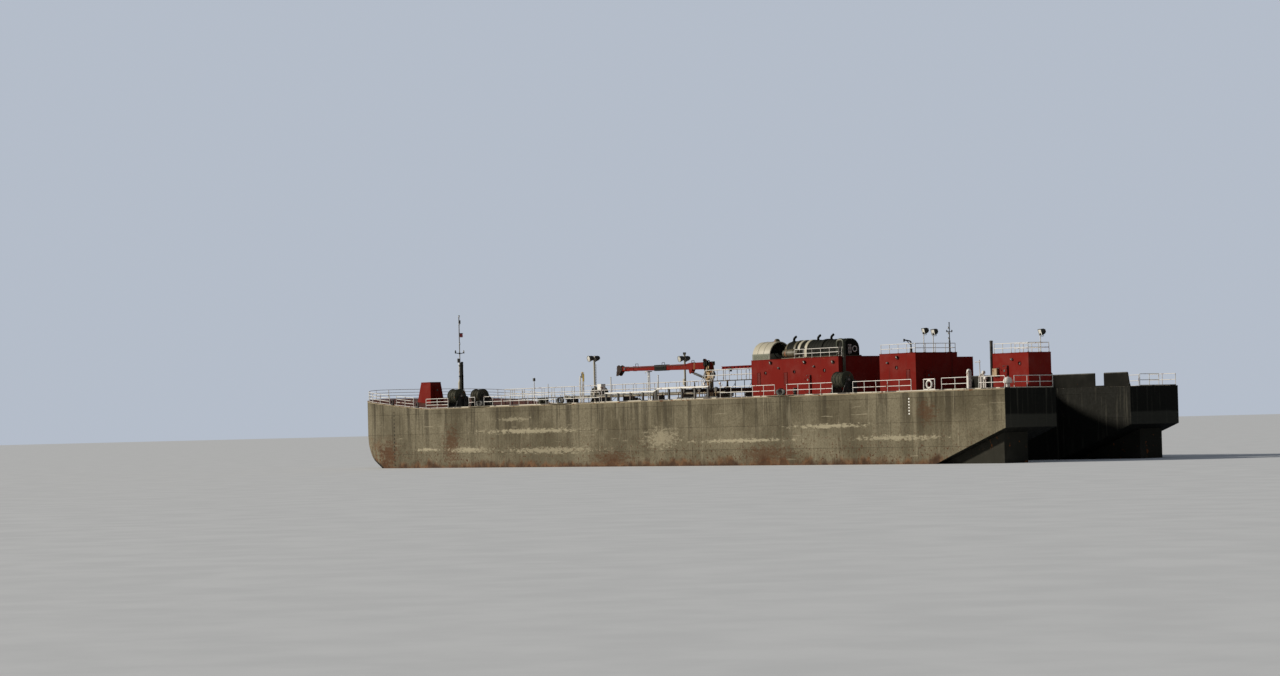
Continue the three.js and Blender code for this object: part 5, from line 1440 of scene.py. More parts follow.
def crane_crutch():
    """The boom's rest: two legs with a tie between them, a padded saddle and a foot."""
    top = PIVOT + boom_bottom(-CRUTCH) - 0.005
    legs = [rod((lean, 0, 0.004), (lean * 0.75, 0, top - 0.008), 0.006, 12) for lean in (-0.017, 0.017)]
    ties = [rod((-0.016, 0, z), (0.016, 0, z), 0.004, 8) for z in (0.1, 0.2, 0.29)]
    foot = block((-0.026, -0.026, 0), (0.026, 0.026, 0.008))
    saddle = block((-0.022, -0.034, top - 0.010), (0.022, 0.034, top - 0.003), 0.0015)
    hook = tube(
        [(-0.020, -0.028, top - 0.006), (-0.029, -0.028, top - 0.006), (-0.029, -0.028, top - 0.028)], 0.003,
        corner=0.006, sides=8
    )
    pad = block((-0.020, -0.032, top - 0.004), (0.020, 0.032, top), 0.001)
    groups = [(WHITE, joined(*legs, *ties, foot, saddle, hook)), (DARK, pad)]
    many(
        "crane_crutch_legs", groups, replaces="crane_crutch", at=CRANE_AT - (CRUTCH, 0, 0)
    )


crane_boom()
crane_boom_heel()
crane_head()
crane_king()
crane_cylinder()
crane_pedestal()
crane_crutch()


# Masts, pipes and catwalk on deck


def mast_lamp(z, wide=0.008):
    """A lamp on a bracket at a mast's port side: a tray, a lens and a cap. Returns its dark shapes and its
    lens."""
    dark = [
        block((0.004, -0.005, z), (0.016, 0.005, z + 0.003), 0.0008),
        disc(wide, z + 0.0185, z + 0.0235, (0.007, 0, 0)),
        disc(wide - 0.0005, z + 0.001, z + 0.0045, (0.007, 0, 0)),
    ]
    return dark, disc(wide - 0.0015, z + 0.004, z + 0.019, (0.007, 0, 0), edge=0.0005)


def foremast():
    """A pale cone of a foot, a stout lower pole, a thin upper one with lamps, a crossarm that curves up to
    globe lamps at its tips, and a black exhaust stack strapped behind."""
    x = -5.0
    deck = float(deck_at(x))
    foot = lathe([
        [0, -0.02], [0.0255, -0.02], [0.026, 0.0], [0.026, 0.243], [0.0252, 0.249], [0.0145, 0.283],
        [0, 0.284]
    ])
    pole = [
        lathe([
            [0, 0.28], [0.014, 0.28], [0.014, 0.479], [0.0125, 0.485], [0.0065, 0.488], [0.006, 0.49],
            [0.006, 1.065], [0.007, 1.067], [0.007, 1.070], [0, 1.070]
        ]),
        ring((0, 0, 0.383), 0.0145, 0.0022, "Z", 24, 6)
    ]
    span = np.linspace(-0.06, 0.06, 15)
    curve = np.stack([0 * span, span, 0.602 + 0.010 * (span / 0.06) ** 2], -1)
    arm = [swept(curve, 0.0045, (1, 0, 0), 10), disc(0.010, 0.593, 0.615, sides=14)]
    glass, red_glass, dark = [], [], []
    for end in (-0.06, 0.06):
        arm.append(disc(0.0085, 0.602, 0.620, (0, end, 0), sides=14))
        arm.append(disc(0.0065, 0.638, 0.6405, (0, end, 0), sides=14))
        bulb = [[0, 0.616], [0.006, 0.617], [0.0085, 0.623], [0.0085, 0.631], [0.006, 0.638], [0, 0.639]]
        (dark if end < 0 else glass).append(lathe(bulb, (0, end, 0)))
    for z in (1.046, 0.950, 0.710):
        shapes, lens = mast_lamp(z)
        dark += shapes
        glass.append(lens)
    dark.append(block((-0.008, 0.004, 0.965), (0.008, 0.020, 1.010), 0.003))
    red_glass.append(block((-0.004, 0.006, 0.800), (0.012, 0.046, 0.846), 0.006))
    dark.append(block((-0.006, 0.004, 0.846), (0.014, 0.048, 0.852), 0.001))
    box = block((-0.028, -0.020, 0.491), (-0.005, 0.013, 0.541), 0.002)
    stack = [
        lathe(
            [
                [0, -0.01], [0.015, -0.01], [0.015, 0.484], [0.017, 0.485], [0.017, 0.493], [0.015, 0.4945],
                [0.015, 0.498], [0.0125, 0.498], [0.0125, 0.465], [0, 0.464]
            ],
            (0.046, 0, 0)
        ),
        block((-0.020, -0.026, -0.01), (0.072, 0.026, 0.010), 0.002),
        bolts((0.026, 0, 0.010), 0.023, 4, 0.003)
    ]
    for z in (0.315, 0.445):
        stack.append(block((0.010, -0.005, z), (0.036, 0.005, z + 0.012), 0.001))
        stack.append(disc(0.0172, z, z + 0.012, (0.046, 0, 0)))
        stack.append(disc(0.0160, z, z + 0.012, edge=0.001))
    groups = [
        (CREAM, foot),
        (STEEL, joined(*pole)),
        (DARK, joined(*dark, *arm, box)),
        (BLACK, joined(*stack)),
        (LAMP, joined(*glass)),
        (RED_LAMP, joined(*red_glass)),
    ]
    many("foremast_poles", groups, replaces="foremast", at=(x, 0, deck))


LIGHT_TOWERS = [
    {"name": "forward_light_tower", "x": -2.197, "y": 0.0, "height": 0.530, "above": 0.012, "ladder": True},
    {"name": "midship_light_tower", "x": -1.724, "y": 0.95, "height": 0.507, "above": 0.070, "ladder": False},
]
TOWER = {"pole": 0.012, "lamp": 0.036, "spread": 0.042, "front": -0.038, "back": 0.028}


def round_floodlight(at):
    """A round floodlight that looks to port and a little forward and down: a deep bowl with fins, and a pale
    pane."""
    r, front, back = TOWER["lamp"], TOWER["front"], TOWER["back"]
    bowl = [
        [0, front + 0.004], [r - 0.003, front + 0.004], [r - 0.003, front], [r, front + 0.002],
        [r, front + 0.010], [r - 0.004, front + 0.012], [r * 0.85, front + 0.030], [r * 0.62, back - 0.006],
        [r * 0.55, back], [0, back]
    ]
    shapes = [lathe(bowl, axis="X", sides=36)]
    shapes += [disc(r * 0.80, x, x + 0.002, axis="X", edge=0.0005) for x in (-0.008, 0.000, 0.008)]
    pane = [[0, front - 0.001], [r * 0.5, front], [r - 0.003, front + 0.0035], [0, front + 0.006]]
    pane = lathe(pane, axis="X", sides=36)
    return [moved(turned(turned(shape, -12, "Y"), 84), at) for shape in (joined(*shapes), pane)]


def light_tower(tower):
    """A pole with a foot, an arm with two round floodlights side by side, a junction box, and a ladder or a
    cage."""
    height, top, r = tower["height"], tower["height"] + tower["above"], TOWER["pole"]
    pole = [
        lathe(
            [
                [0, 0.008], [r + 0.004, 0.008], [r + 0.001, 0.016], [r, 0.02], [r, top - 0.004],
                [r - 0.003, top], [0, top]
            ],
            sides=20
        ),
        block((-0.030, -0.030, 0), (0.030, 0.030, 0.008), 0.002), bolts((0, 0, 0.008), 0.030, 4, 0.003),
        rod((0, -TOWER["spread"] - 0.02, height), (0, TOWER["spread"] + 0.02, height), 0.006)
    ]
    if tower["ladder"]:
        line, half = 0.019, 0.011
        rails = rods(
            [(line, -half, 0.01), (line, half, 0.01)], [(line, -half, 0.46), (line, half, 0.46)], 0.0020, 6
        )
        levels = np.arange(0.03, 0.46, 0.028)[:, None]
        ends = [np.hstack([0 * levels + line, 0 * levels + sign * half, levels]) for sign in (-1, 1)]
        pole += [rails, rods(*ends, 0.0015, 6)]
        pole.append(block((-0.018, -0.024, 0.07), (0.018, -0.010, 0.135), 0.002))
    else:
        pole.append(block((-0.016, -0.024, 0.20), (0.016, -0.010, 0.270), 0.002))
    dark, pale = [], []
    for y in (-TOWER["spread"], TOWER["spread"]):
        bowl, pane = round_floodlight((0, y, height))
        dark.append(bowl)
        pale.append(pane)
    if tower["above"] > 0.05:
        dark.append(
            rods(
                [(0, -0.012, top - 0.024), (0, 0.012, top - 0.024)], [(0, -0.012, top), (0, 0.012, top)],
                0.009, 12
            )
        )
        dark.append(block((-0.005, -0.014, top - 0.030), (0.005, 0.014, top - 0.022), 0.001))
    groups = [(CREAM, joined(*pole)), (DARK, joined(*dark)), (LAMP, joined(*pale))]
    many(
        f"{tower['name']}_gear", groups, replaces=tower["name"],
        at=(tower["x"], tower["y"], FLOOR)
    )


SIDE_PIPE = {
    "y": -1.1, "radius": 0.009, "post": 0.026, "runs": [(-0.49, 0.42, 0.098), (0.41, 1.33, 0.124)], "posts": 5
}


def side_pipe():
    """The heavy pipe along the port edge: two runs at their heights, joined by a bend, on broad flared
    posts."""
    radius, post = SIDE_PIPE["radius"], SIDE_PIPE["post"]
    (x0, x1, low), (x2, x3, high) = SIDE_PIPE["runs"]
    pipe = [
        tube(
            [(x0, 0, low), (x1 - 0.03, 0, low), (x2 + 0.04, 0, high), (x3, 0, high)], radius, corner=0.02,
            sides=16
        )
    ]
    pipe += [
        disc(radius + 0.003, x - 0.003, x + 0.003, (0, 0, z), "X") for x,
        z in ((x0 + 0.004, low), (x3 - 0.004, high))
    ]
    posts = []
    for start, end, height in SIDE_PIPE["runs"]:
        for x in np.linspace(start + post / 2, end - post / 2, SIDE_PIPE["posts"]):
            half = post / 2
            sections = [
                (0, half + 0.002, 0.012), (0.004, half + 0.001, 0.011), (0.008, half, 0.008),
                (height - 0.004, half, 0.008)
            ]
            posts.append(tapered(sections, at=(x, 0, 0)))
            posts.append(
                block(
                    (x - half - 0.001, -radius - 0.001, height - 0.010),
                    (x + half + 0.001, radius + 0.001, height - 0.002), 0.001
                )
            )
    groups = [(WHITE, joined(*pipe)), (DARK, joined(*posts))]
    many("side_pipe_runs", groups, replaces="side_pipe", at=(0, SIDE_PIPE["y"], FLOOR))


CATWALK = {"y": -0.3, "width": 0.11, "plate": 0.008, "leg": 0.010}
LOW_WALK = {
    "from": -3.6, "to": 0.19, "top": 0.095, "legs": np.linspace(0, 1, 10),
    "rails": [(-3.6, -2.18), (-2.0, 0.19)]
}
HIGH_WALK = {"from": 0.25, "to": 1.2997, "top": 0.205, "legs": (0, 0.37, 0.64, 1), "rails": [(0.25, 1.2997)]}
BEAM = {"from": 0.48, "low": 0.326, "high": 0.354, "half": 0.012, "posts": (0.50, 0.89, 1.27)}


def walk(run):
    """One run of the catwalk: side channels, cross bars as its grating, legs with feet and braces, and
    rails."""
    start, end, top = run["from"], run["to"], run["top"]
    width, plate, leg = CATWALK["width"], CATWALK["plate"], CATWALK["leg"]
    steel, rails = [], []
    for y in (0, width):
        steel.append(block((start, y - 0.003, top - plate), (end, y + 0.003, top), 0.0008))
    bars = np.arange(start + 0.005, end - 0.004, 0.012)[:, None]
    lows = np.hstack([bars, 0 * bars, 0 * bars + top - 0.006])
    steel.append(blocks(lows, lows + (0.005, width, 0.006), 0.0006))
    for share in run["legs"]:
        x = start + leg / 2 + (end - start - leg) * share
        ends = [(x, leg / 2, 0), (x, width - leg / 2, 0)]
        steel.append(rods(ends, np.array(ends) + (0, 0, top - 0.004), leg / 2 * 0.8, 8))
        steel.append(copies(disc(0.009, 0, 0.003, sides=10), ends))
        steel.append(rod((x, leg / 2, top * 0.15), (x, width - leg / 2, top * 0.85), 0.0024, 6))
    for low, high in run["rails"]:
        for y in (0, width):
            rails.append(railing((low + 0.003, y, top), (high - 0.003, y, top), 0.195, 0.117))
    return joined(*steel), joined(*rails)


def catwalk():
    """The low run, three posts and a lamp on its own post beside it, and the boxes they carry."""
    steel, rails = walk(LOW_WALK)
    posts = []
    for x, height in ((-2.97, 0.33), (-2.69, 0.25), (-2.06, 0.30)):
        posts.append(rod((x, -0.012, 0), (x, -0.012, height), 0.0042, 10))
    posts.append(rod((-2.005, -0.010, 0), (-2.005, -0.010, 0.31), 0.005, 10))
    boxes = [
        block((-2.984, -0.022, 0.29), (-2.956, -0.002, 0.325), 0.002),
        block((-2.02, -0.02, 0.30), (-1.99, 0.0, 0.352), 0.002),
    ]
    lens = disc(0.011, 0.352, 0.368, (-2.005, -0.010, 0), sides=14)
    groups = [(DARK, steel), (WHITE, rails), (WHITE, joined(*posts)), (DARK, joined(*boxes)), (YELLOW, lens)]
    place = (0, CATWALK["y"], FLOOR)
    many("catwalk_run", groups, replaces="catwalk", at=place)


def manifold_catwalk():
    """The high run, the stair up to it with treads between its stringers, and the beam above."""
    steel, rails = walk(HIGH_WALK)
    start = np.array([LOW_WALK["to"] + 0.002, 0, LOW_WALK["top"] - 0.004])
    end = np.array([HIGH_WALK["from"], 0, HIGH_WALK["top"] - 0.004])
    width = CATWALK["width"]
    stair = [
        rods(
            [start + (0, y, 0) for y in (0.004, width - 0.004)],
            [end + (0, y, 0) for y in (0.004, width - 0.004)], 0.004, 6
        )
    ]
    for share in np.linspace(0.12, 0.88, 4):
        x, _, z = start + (end - start) * share
        stair.append(block((x - 0.006, 0.003, z - 0.001), (x + 0.008, width - 0.003, z + 0.002), 0.0006))
    hand = []
    for y in (0.0, width):
        for height in (0.058, 0.114):
            hand.append(
                rod(
                    (start[0] - 0.002, y, LOW_WALK["top"] + height),
                    (end[0] + 0.002, y, HIGH_WALK["top"] + height), 0.003, 8
                )
            )
    middle = width / 2
    half, low, high = BEAM["half"], BEAM["low"], BEAM["high"]
    beam = [
        block((BEAM["from"], middle - half, high - 0.005), (HIGH_WALK["to"], middle + half, high), 0.001),
        block((BEAM["from"], middle - half, low), (HIGH_WALK["to"], middle + half, low + 0.005), 0.001),
        block(
            (BEAM["from"] + 0.001, middle - 0.003, low + 0.002),
            (HIGH_WALK["to"], middle + 0.003, high - 0.002), 0.0006
        )
    ]
    stiff = np.arange(BEAM["from"] + 0.02, HIGH_WALK["to"], 0.065)[:, None]
    lows = np.hstack([stiff, 0 * stiff + middle - half + 0.001, 0 * stiff + low + 0.003])
    beam.append(blocks(lows, lows + (0.003, 2 * half - 0.002, high - low - 0.006), 0.0004))
    trolley = [block((0.60, middle - 0.017, low - 0.012), (0.66, middle + 0.017, low + 0.010), 0.002)]
    trolley.append(block((1.02, middle - 0.015, low - 0.006), (1.05, middle + 0.015, high + 0.002), 0.002))
    trolley.append(disc(0.012, low - 0.03, low - 0.012, (0.63, middle, 0), sides=14))
    posts = [rod((x, middle, HIGH_WALK["top"]), (x, middle, low + 0.002), 0.0045, 10) for x in BEAM["posts"]]
    groups = [
        (DARK, joined(steel, *stair, *trolley)), (WHITE, joined(rails, *hand, *posts)), (RED, joined(*beam))
    ]
    many(
        "manifold_catwalk_run", groups, replaces="manifold_catwalk",
        at=(0, CATWALK["y"], FLOOR)
    )


CARGO = {"from": -3.0, "to": 0.47, "spread": 0.06, "y": 0.21, "height": 0.092, "radius": 0.018, "racks": 7}


def cargo_pipes():
    """Two cargo pipes with flanges at each length, on racks of bent bar with straps."""
    start, end, height = CARGO["from"], CARGO["to"], CARGO["height"]
    radius, spread = CARGO["radius"], CARGO["spread"]
    pipes, racks = [], []
    for y in (-spread, spread):
        pipes.append(rod((start, y, height), (end, y, height), radius - 0.001, 20))
        pipes += [
            flange((x, y, height), radius + 0.007, 0.012, "X")
            for x in np.linspace(start + 0.02, end - 0.02, 7)
        ]
    for x in np.linspace(start + 0.06, end - 0.06, CARGO["racks"]):
        half = spread + 0.026
        racks.append(
            tapered(
                [
                    (0, 0.006, half), (0.003, 0.006, half), (0.006, 0.004, half),
                    (height - radius, 0.004, half)
                ],
                at=(x, 0, 0)
            )
        )
        for y in (-spread, spread):
            racks.append(disc(radius + 0.0025, x - 0.005, x + 0.005, (0, y, height), "X"))
    groups = [(CREAM, joined(*pipes)), (DARK, joined(*racks))]
    many("cargo_pipe_runs", groups, replaces="cargo_pipes", at=(0, CARGO["y"], FLOOR))


MANIFOLD = {"x": 0.78, "pitch": 0.28, "pipes": 3, "reach": 0.83, "height": 0.1, "radius": 0.016, "tray": 0.12}


def cargo_manifold():
    """Crossing pipes with flanged valves and wheels, blanked at both ends over drip trays."""
    pitch, pipes, reach = MANIFOLD["pitch"], MANIFOLD["pipes"], MANIFOLD["reach"]
    height, radius, tray = MANIFOLD["height"], MANIFOLD["radius"], MANIFOLD["tray"]
    span = pitch * (pipes - 1) / 2
    dark, pale, yellow, tan = [], [], [], []
    for side in (-1, 1):
        near, far = sorted((side * (reach - tray), side * reach))
        dark.append(block((-span - 0.068, near + 0.002, 0), (span + 0.068, far - 0.002, 0.008), 0.001))
        for low, high in (
            ((-span - 0.07, near), (span + 0.07, near + 0.006)),
            ((-span - 0.07, far - 0.006), (span + 0.07, far)), ((-span - 0.07, near), (-span - 0.064, far)),
            ((span + 0.064, near), (span + 0.07, far))
        ):
            dark.append(block((*low, 0), (*high, 0.030), 0.001))
    for number in range(pipes):
        x = -span + number * pitch
        dark.append(rod((x, -reach + 0.03, height), (x, reach - 0.03, height), radius - 0.001, 20))
        for side in (-1, 1):
            end, valve = side * (reach - 0.034), side * (reach - 0.19)
            dark.append(flange((x, end, height), radius + 0.012, 0.010, "Y"))
            dark.append(flange((x, end - side * 0.012, height), radius + 0.010, 0.008, "Y"))
            tan.append(rod((x, end, 0.005), (x, end, height), 0.006, 10))
            dark += [
                flange((x, valve + shift, height), radius + 0.010, 0.008, "Y") for shift in (-0.028, 0.028)
            ]
            body = lathe(
                [
                    [0, -0.026], [0.014, -0.026], [0.022, -0.014], [0.024, 0.0], [0.022, 0.012],
                    [0.013, 0.022], [0.012, 0.030], [0.016, 0.031], [0.016, 0.036], [0, 0.036]
                ],
                (x, valve, height)
            )
            yoke = rods([(x - 0.010, valve, height + 0.034), (x + 0.010, valve, height + 0.034)],
                        [(x - 0.005, valve, height + 0.080), (x + 0.005, valve, height + 0.080)], 0.0028, 6)
            dark += [body, yoke, rod((x, valve, height + 0.03), (x, valve, height + 0.099), 0.0032, 8)]
            pale.append(handwheel((x, valve, height + 0.095), 0.031))
            yellow.append(disc(0.007, height + 0.078, height + 0.086, (x, valve, 0), sides=10))
            lever = side * (reach - 0.10)
            dark.append(disc(0.014, -0.006, 0.006, (x, lever, height), "Y"))
            yellow.append(rod((x, lever, height + 0.012), (x + 0.03, lever, height + 0.05), 0.0028, 6))
    gauges = []
    for x in (-0.16, 0.11):
        tan.append(rod((x, -0.60, 0.0), (x, -0.60, 0.16), 0.004, 8))
        gauges.append(disc(0.016, -0.612, -0.602, (x, 0, 0.168), "Y"))
    groups = [
        (DARK, joined(*dark)), (WHITE, joined(*pale, *gauges)), (YELLOW, joined(*yellow)), (TAN, joined(*tan))
    ]
    many(
        "cargo_manifold_gear", groups, replaces="cargo_manifold",
        at=(MANIFOLD["x"], 0, FLOOR)
    )


HATCHES = [{"name": "forward", "x": -2.65, "y": -0.42}, {"name": "middle", "x": -0.45, "y": 0.56}]
HATCH = {"radius": 0.052, "height": 0.070, "wall": 0.008, "lip": 0.008, "hinge": 0.074}


def hatch_trunk(hatch):
    """An open trunk: its profile runs up the outside, over a rolled rim and down the inside to a floor; and
    the hinge."""
    radius, height, hinge = HATCH["radius"], HATCH["height"], HATCH["hinge"]
    inner = radius - HATCH["wall"]
    profile = [
        [0, 0], [radius + 0.004, 0], [radius, 0.004], [radius, height - 0.008],
        [radius + 0.002, height - 0.005], [radius + 0.001, height - 0.001], [radius - 0.002, height],
        [inner + 0.001, height], [inner, height - 0.002], [inner, 0.012], [0, 0.012]
    ]
    shapes = [lathe(profile, sides=40)]
    brackets = prism(
        [(radius - 0.001, 0.002), (radius + 0.010, 0.002), (radius - 0.001, height - 0.012)], "Y", -0.0015,
        0.0015
    )
    shapes += [turned(brackets, angle) for angle in (45, 105, 165, 225, 285, 335)]
    for y in (-0.026, 0.014):
        shapes.append(
            block((radius - 0.006, y, height - 0.022), (hinge + 0.005, y + 0.012, height - 0.0085), 0.001)
        )
        shapes.append(
            block((hinge - 0.005, y, height - 0.022), (hinge + 0.005, y + 0.012, height + 0.011), 0.002)
        )
    shapes.append(disc(0.003, -0.028, 0.028, (hinge, 0, height + 0.005), "Y", 0.0005, 12))
    name = f"{hatch['name']}_hatch_trunk"
    piece(
        f"{name}_ring", moved(joined(*shapes), (hatch["x"], hatch["y"], FLOOR)), OLIVE, replaces=name,
    )


def hatch_lid(hatch):
    """A domed lid with a rolled edge, dogs round it, a grip and the hinge's arm."""
    radius, lip, hinge = HATCH["radius"], HATCH["lip"], HATCH["hinge"]
    rim = radius + lip
    profile = [
        [0, 0.0005], [rim - 0.002, 0.0005], [rim, 0.0025], [rim, 0.006], [rim - 0.003, 0.008],
        [rim * 0.7, 0.0105], [rim * 0.35, 0.0118], [0, 0.0122]
    ]
    shapes = [
        lathe(profile, sides=40),
        block((radius - 0.010, -0.012, 0.0008), (hinge + 0.004, 0.012, 0.009), 0.001)
    ]
    shapes.append(ring((hinge, 0, 0.005), 0.0052, 0.0018, "Y", 16, 6))
    shapes.append(
        tube(
            [(-0.012, 0, 0.008), (-0.012, 0, 0.021), (0.012, 0, 0.021), (0.012, 0, 0.008)], 0.0024,
            corner=0.005, sides=8
        )
    )
    for angle in (60, 120, 180, 240, 300):
        dog = joined(
            disc(0.004, 0.004, 0.014, (rim - 0.007, 0, 0), sides=8),
            block((rim - 0.018, -0.002, 0.011), (rim - 0.002, 0.002, 0.014), 0.0006)
        )
        shapes.append(turned(dog, angle))
    name = f"{hatch['name']}_hatch_lid"
    place = (hatch["x"], hatch["y"], FLOOR + HATCH["height"])
    piece(f"{name}_cover", moved(joined(*shapes), place), OLIVE, f"{hatch['name']}_lid", name)


foremast()
for tower in LIGHT_TOWERS:
    light_tower(tower)
side_pipe()
catwalk()
manifold_catwalk()
cargo_pipes()
cargo_manifold()
for hatch in HATCHES:
    hatch_trunk(hatch)
    hatch_lid(hatch)


# Deck houses: corner, length, width and height of each, and the gear on their roofs

HOUSES = {
    "main": {"x": 1.300, "y": -0.500, "length": 1.405, "width": 1.000, "height": 0.394},
    "middle": {"x": 3.335, "y": -0.500, "length": 0.535, "width": 0.556, "height": 0.392},
    "stern": {"x": 5.290, "y": -0.805, "length": 0.480, "width": 0.292, "height": 0.332},
}
ROOF_RAIL = {"height": 0.092, "spacing": 0.13}


def roof_edge(low, high, top, wide=0.004):
    """A half-round strip round a roof's edge, standing a little out of the walls."""
    (x0, y0), (x1, y1) = low, high
    corners = np.array([(x0, y0, top), (x1, y0, top), (x1, y1, top), (x0, y1, top)])
    return rods(corners, np.roll(corners, -1, 0), wide, 8)


def skirting(low, high, floor):
    (x0, y0), (x1, y1) = low, high
    corners = np.array([(x0, y0, floor), (x1, y0, floor), (x1, y1, floor), (x0, y1, floor)])
    return rods(corners, np.roll(corners, -1, 0), 0.003, 6)


def port_light(x, z, y, radius=0.016):
    """A round port in a wall that faces port: a rolled rim with bolts, and its pane set in the hole."""
    rim = [
        ring((x, y - 0.001, z), radius + 0.003, 0.0035, "Y"),
        bolts((x, y - 0.002, z), radius + 0.0035, 8, 0.0012, "Y", 0.004)
    ]
    pane = disc(radius + 0.001, 0.004, 0.007, (x, y, z), "Y", 0.0005)
    return joined(*rim), pane


def louvre(x, low, high, y, half=0.028):
    """A ventilation grille on a wall that faces port: a frame, slanting slats, and behind them a back plate
    that is painted dark as painted shade in the opening.
    """
    frame = [
        block((x - half, y - 0.004, low), (x - half + 0.004, y + 0.001, high), 0.0008),
        block((x + half - 0.004, y - 0.004, low), (x + half, y + 0.001, high), 0.0008),
        block((x - half, y - 0.004, low), (x + half, y + 0.001, low + 0.004), 0.0008),
        block((x - half, y - 0.004, high - 0.004), (x + half, y + 0.001, high), 0.0008),
    ]
    slats = []
    for z in np.arange(low + 0.007, high - 0.006, 0.008):
        slat = prism(
            [(y - 0.0035, z - 0.002), (y - 0.0025, z - 0.003), (y + 0.001, z + 0.003), (y, z + 0.004)], "X",
            x - half + 0.003, x + half - 0.003
        )
        slats.append(slat)
    # Back plate behind the slats; its dark paint is painted shade in the vent's opening.
    back = block(
        (x - half + 0.002, y - 0.0008, low + 0.002), (x + half - 0.002, y + 0.0006, high - 0.002), 0.0002
    )
    return joined(*frame, *slats), back


def wall_lamp(at):
    """A bulkhead lamp on a wall that faces port: a round base, a dome and a guard."""
    x, y, z = at
    base = disc(0.012, -0.006, 0.001, (x, y, z), "Y", 0.001)
    dome = lathe(
        [[0, -0.018], [0.005, -0.0175], [0.008, -0.014], [0.009, -0.006], [0, -0.006]], (x, y, z), "Y", 16
    )
    guard = joined(
        ring((x, y - 0.012, z), 0.0095, 0.0012, "Y", 16, 6),
        rod((x, y - 0.019, z - 0.009), (x, y - 0.019, z + 0.009), 0.0011, 6)
    )
    return joined(base, guard), dome


def door_frame(x, floor, y):
    """The frame round a doorway in a wall that faces port, where the leaf's hinge axis stands at x."""
    low, high, bottom, top = x + 0.013, x + 0.085, floor + 0.026, floor + 0.214
    wide = 0.003
    parts = [
        block((high - 0.001, y - 0.003, bottom), (high + wide, y + 0.001, top), 0.0008),
        block((low - 0.001, y - 0.003, top - 0.002), (high + wide, y + 0.001, top + wide), 0.0008),
        block((low - 0.001, y - 0.003, floor + 0.018), (high + wide, y + 0.001, floor + 0.024), 0.0008),
    ]
    return joined(*parts)


DOORS = [
    {"name": "main", "at": (2.180, -0.509), "floor": FLOOR, "turn": 0},
    {"name": "middle", "at": (3.879, -0.390), "floor": FLOOR, "turn": 90},
    {"name": "stern", "at": (5.410, -0.814), "floor": FLOOR, "turn": 0},
    {"name": "forward", "at": (-4.891, -0.460), "floor": float(deck_at(-4.9)), "turn": 90},
]
LEAF = {"thick": 0.008, "reach": 0.012, "width": 0.074, "height": 0.190, "sill": 0.025, "knuckle": 0.005}


def door(entry):
    """A watertight door leaf with a turned edge, a small round light, dogs with handles, and its knuckles."""
    half, low, wide, height = LEAF["thick"] / 2, LEAF["reach"], LEAF["width"], LEAF["height"]
    panel = block((low, -half, 0), (low + wide, half, height), 0.002)
    raised = block(
        (low + 0.010, -half - 0.0015, 0.012), (low + wide - 0.010, -half + 0.001, height - 0.012), 0.002
    )
    shapes = [panel, raised]
    for share in (0.18, 0.78):
        z = share * height
        shapes.append(disc(LEAF["knuckle"], z + SEAT, z + 0.014, (0, 0, 0), edge=0.0008, sides=16))
        shapes.append(block((0, -0.0025, z + 0.001), (low + 0.030, 0.0025, z + 0.013), 0.001))
        shapes.append(
            block((low + 0.001, -half - 0.002, z + 0.002), (low + 0.026, -half + 0.001, z + 0.012), 0.0008)
        )
    dogs = []
    for x, z, lean in (
        (low + wide - 0.008, 0.04, 25), (low + wide - 0.008, 0.10, -20), (low + wide - 0.008, 0.16, 15),
        (low + 0.02, 0.182, 80), (low + 0.05, 0.008, 95)
    ):
        hub = disc(0.004, -half - 0.004, -half + 0.001, (x, 0, z), "Y", 0.0006, 12)
        handle = turned(
            block((x - 0.0014, -half - 0.005, z - 0.002), (x + 0.0014, -half - 0.003, z + 0.017), 0.0006),
            lean, "Y", (x, 0, z)
        )
        dogs += [hub, handle]
    rim = ring((low + wide / 2, -half - 0.001, height * 0.74), 0.011, 0.0022, "Y", 24, 8)
    pane = disc(0.010, -half - 0.002, -half - 0.0008, (low + wide / 2, 0, height * 0.74), "Y", 0.0003)
    groups = [(RED, joined(*shapes)), (DARK, joined(*dogs, rim)), (PANE, pane)]
    x, y = entry["at"]
    place = (x, y, entry["floor"] + LEAF["sill"])
    groups = [(material, moved(turned(shape, entry["turn"]), place)) for material, shape in groups]
    many(
        f"{entry['name']}_door_leaf", groups, f"{entry['name']}_door", f"{entry['name']}_house_door",
    )


def house_trim(name, lights, louvres, lamps, entry):
    """What is fixed to a house's port wall: edge strips, ports, grilles, lamps and the door's frame."""
    house = HOUSES[name]
    x, y, length, width = house["x"], house["y"], house["length"], house["width"]
    top = FLOOR + house["height"]
    red = [roof_edge((x - 0.001, y - 0.001), (x + length + 0.001, y + width + 0.001), top - 0.003, 0.003)]
    dark = [skirting((x, y), (x + length, y + width), FLOOR + 0.003)]
    glass, pale = [], []
    for at, height in lights:
        rim, pane = port_light(x + at, FLOOR + height, y)
        red.append(rim)
        glass.append(pane)
    for at, low, high in louvres:
        frame, back = louvre(x + at, FLOOR + low, FLOOR + high, y)
        red.append(frame)
        # The grille's back plate gets dark paint as painted shade.
        dark.append(back)
    for at, height in lamps:
        base, dome = wall_lamp((x + at, y, FLOOR + height))
        dark.append(base)
        pale.append(dome)
    if entry is not None:
        dark.append(door_frame(entry, FLOOR, y))
    groups = [(RED, joined(*red)), (DARK, joined(*dark))]
    if glass:
        groups.append((PANE, joined(*glass)))
    if pale:
        groups.append((LAMP, joined(*pale)))
    many(f"{name}_house_trim", groups)


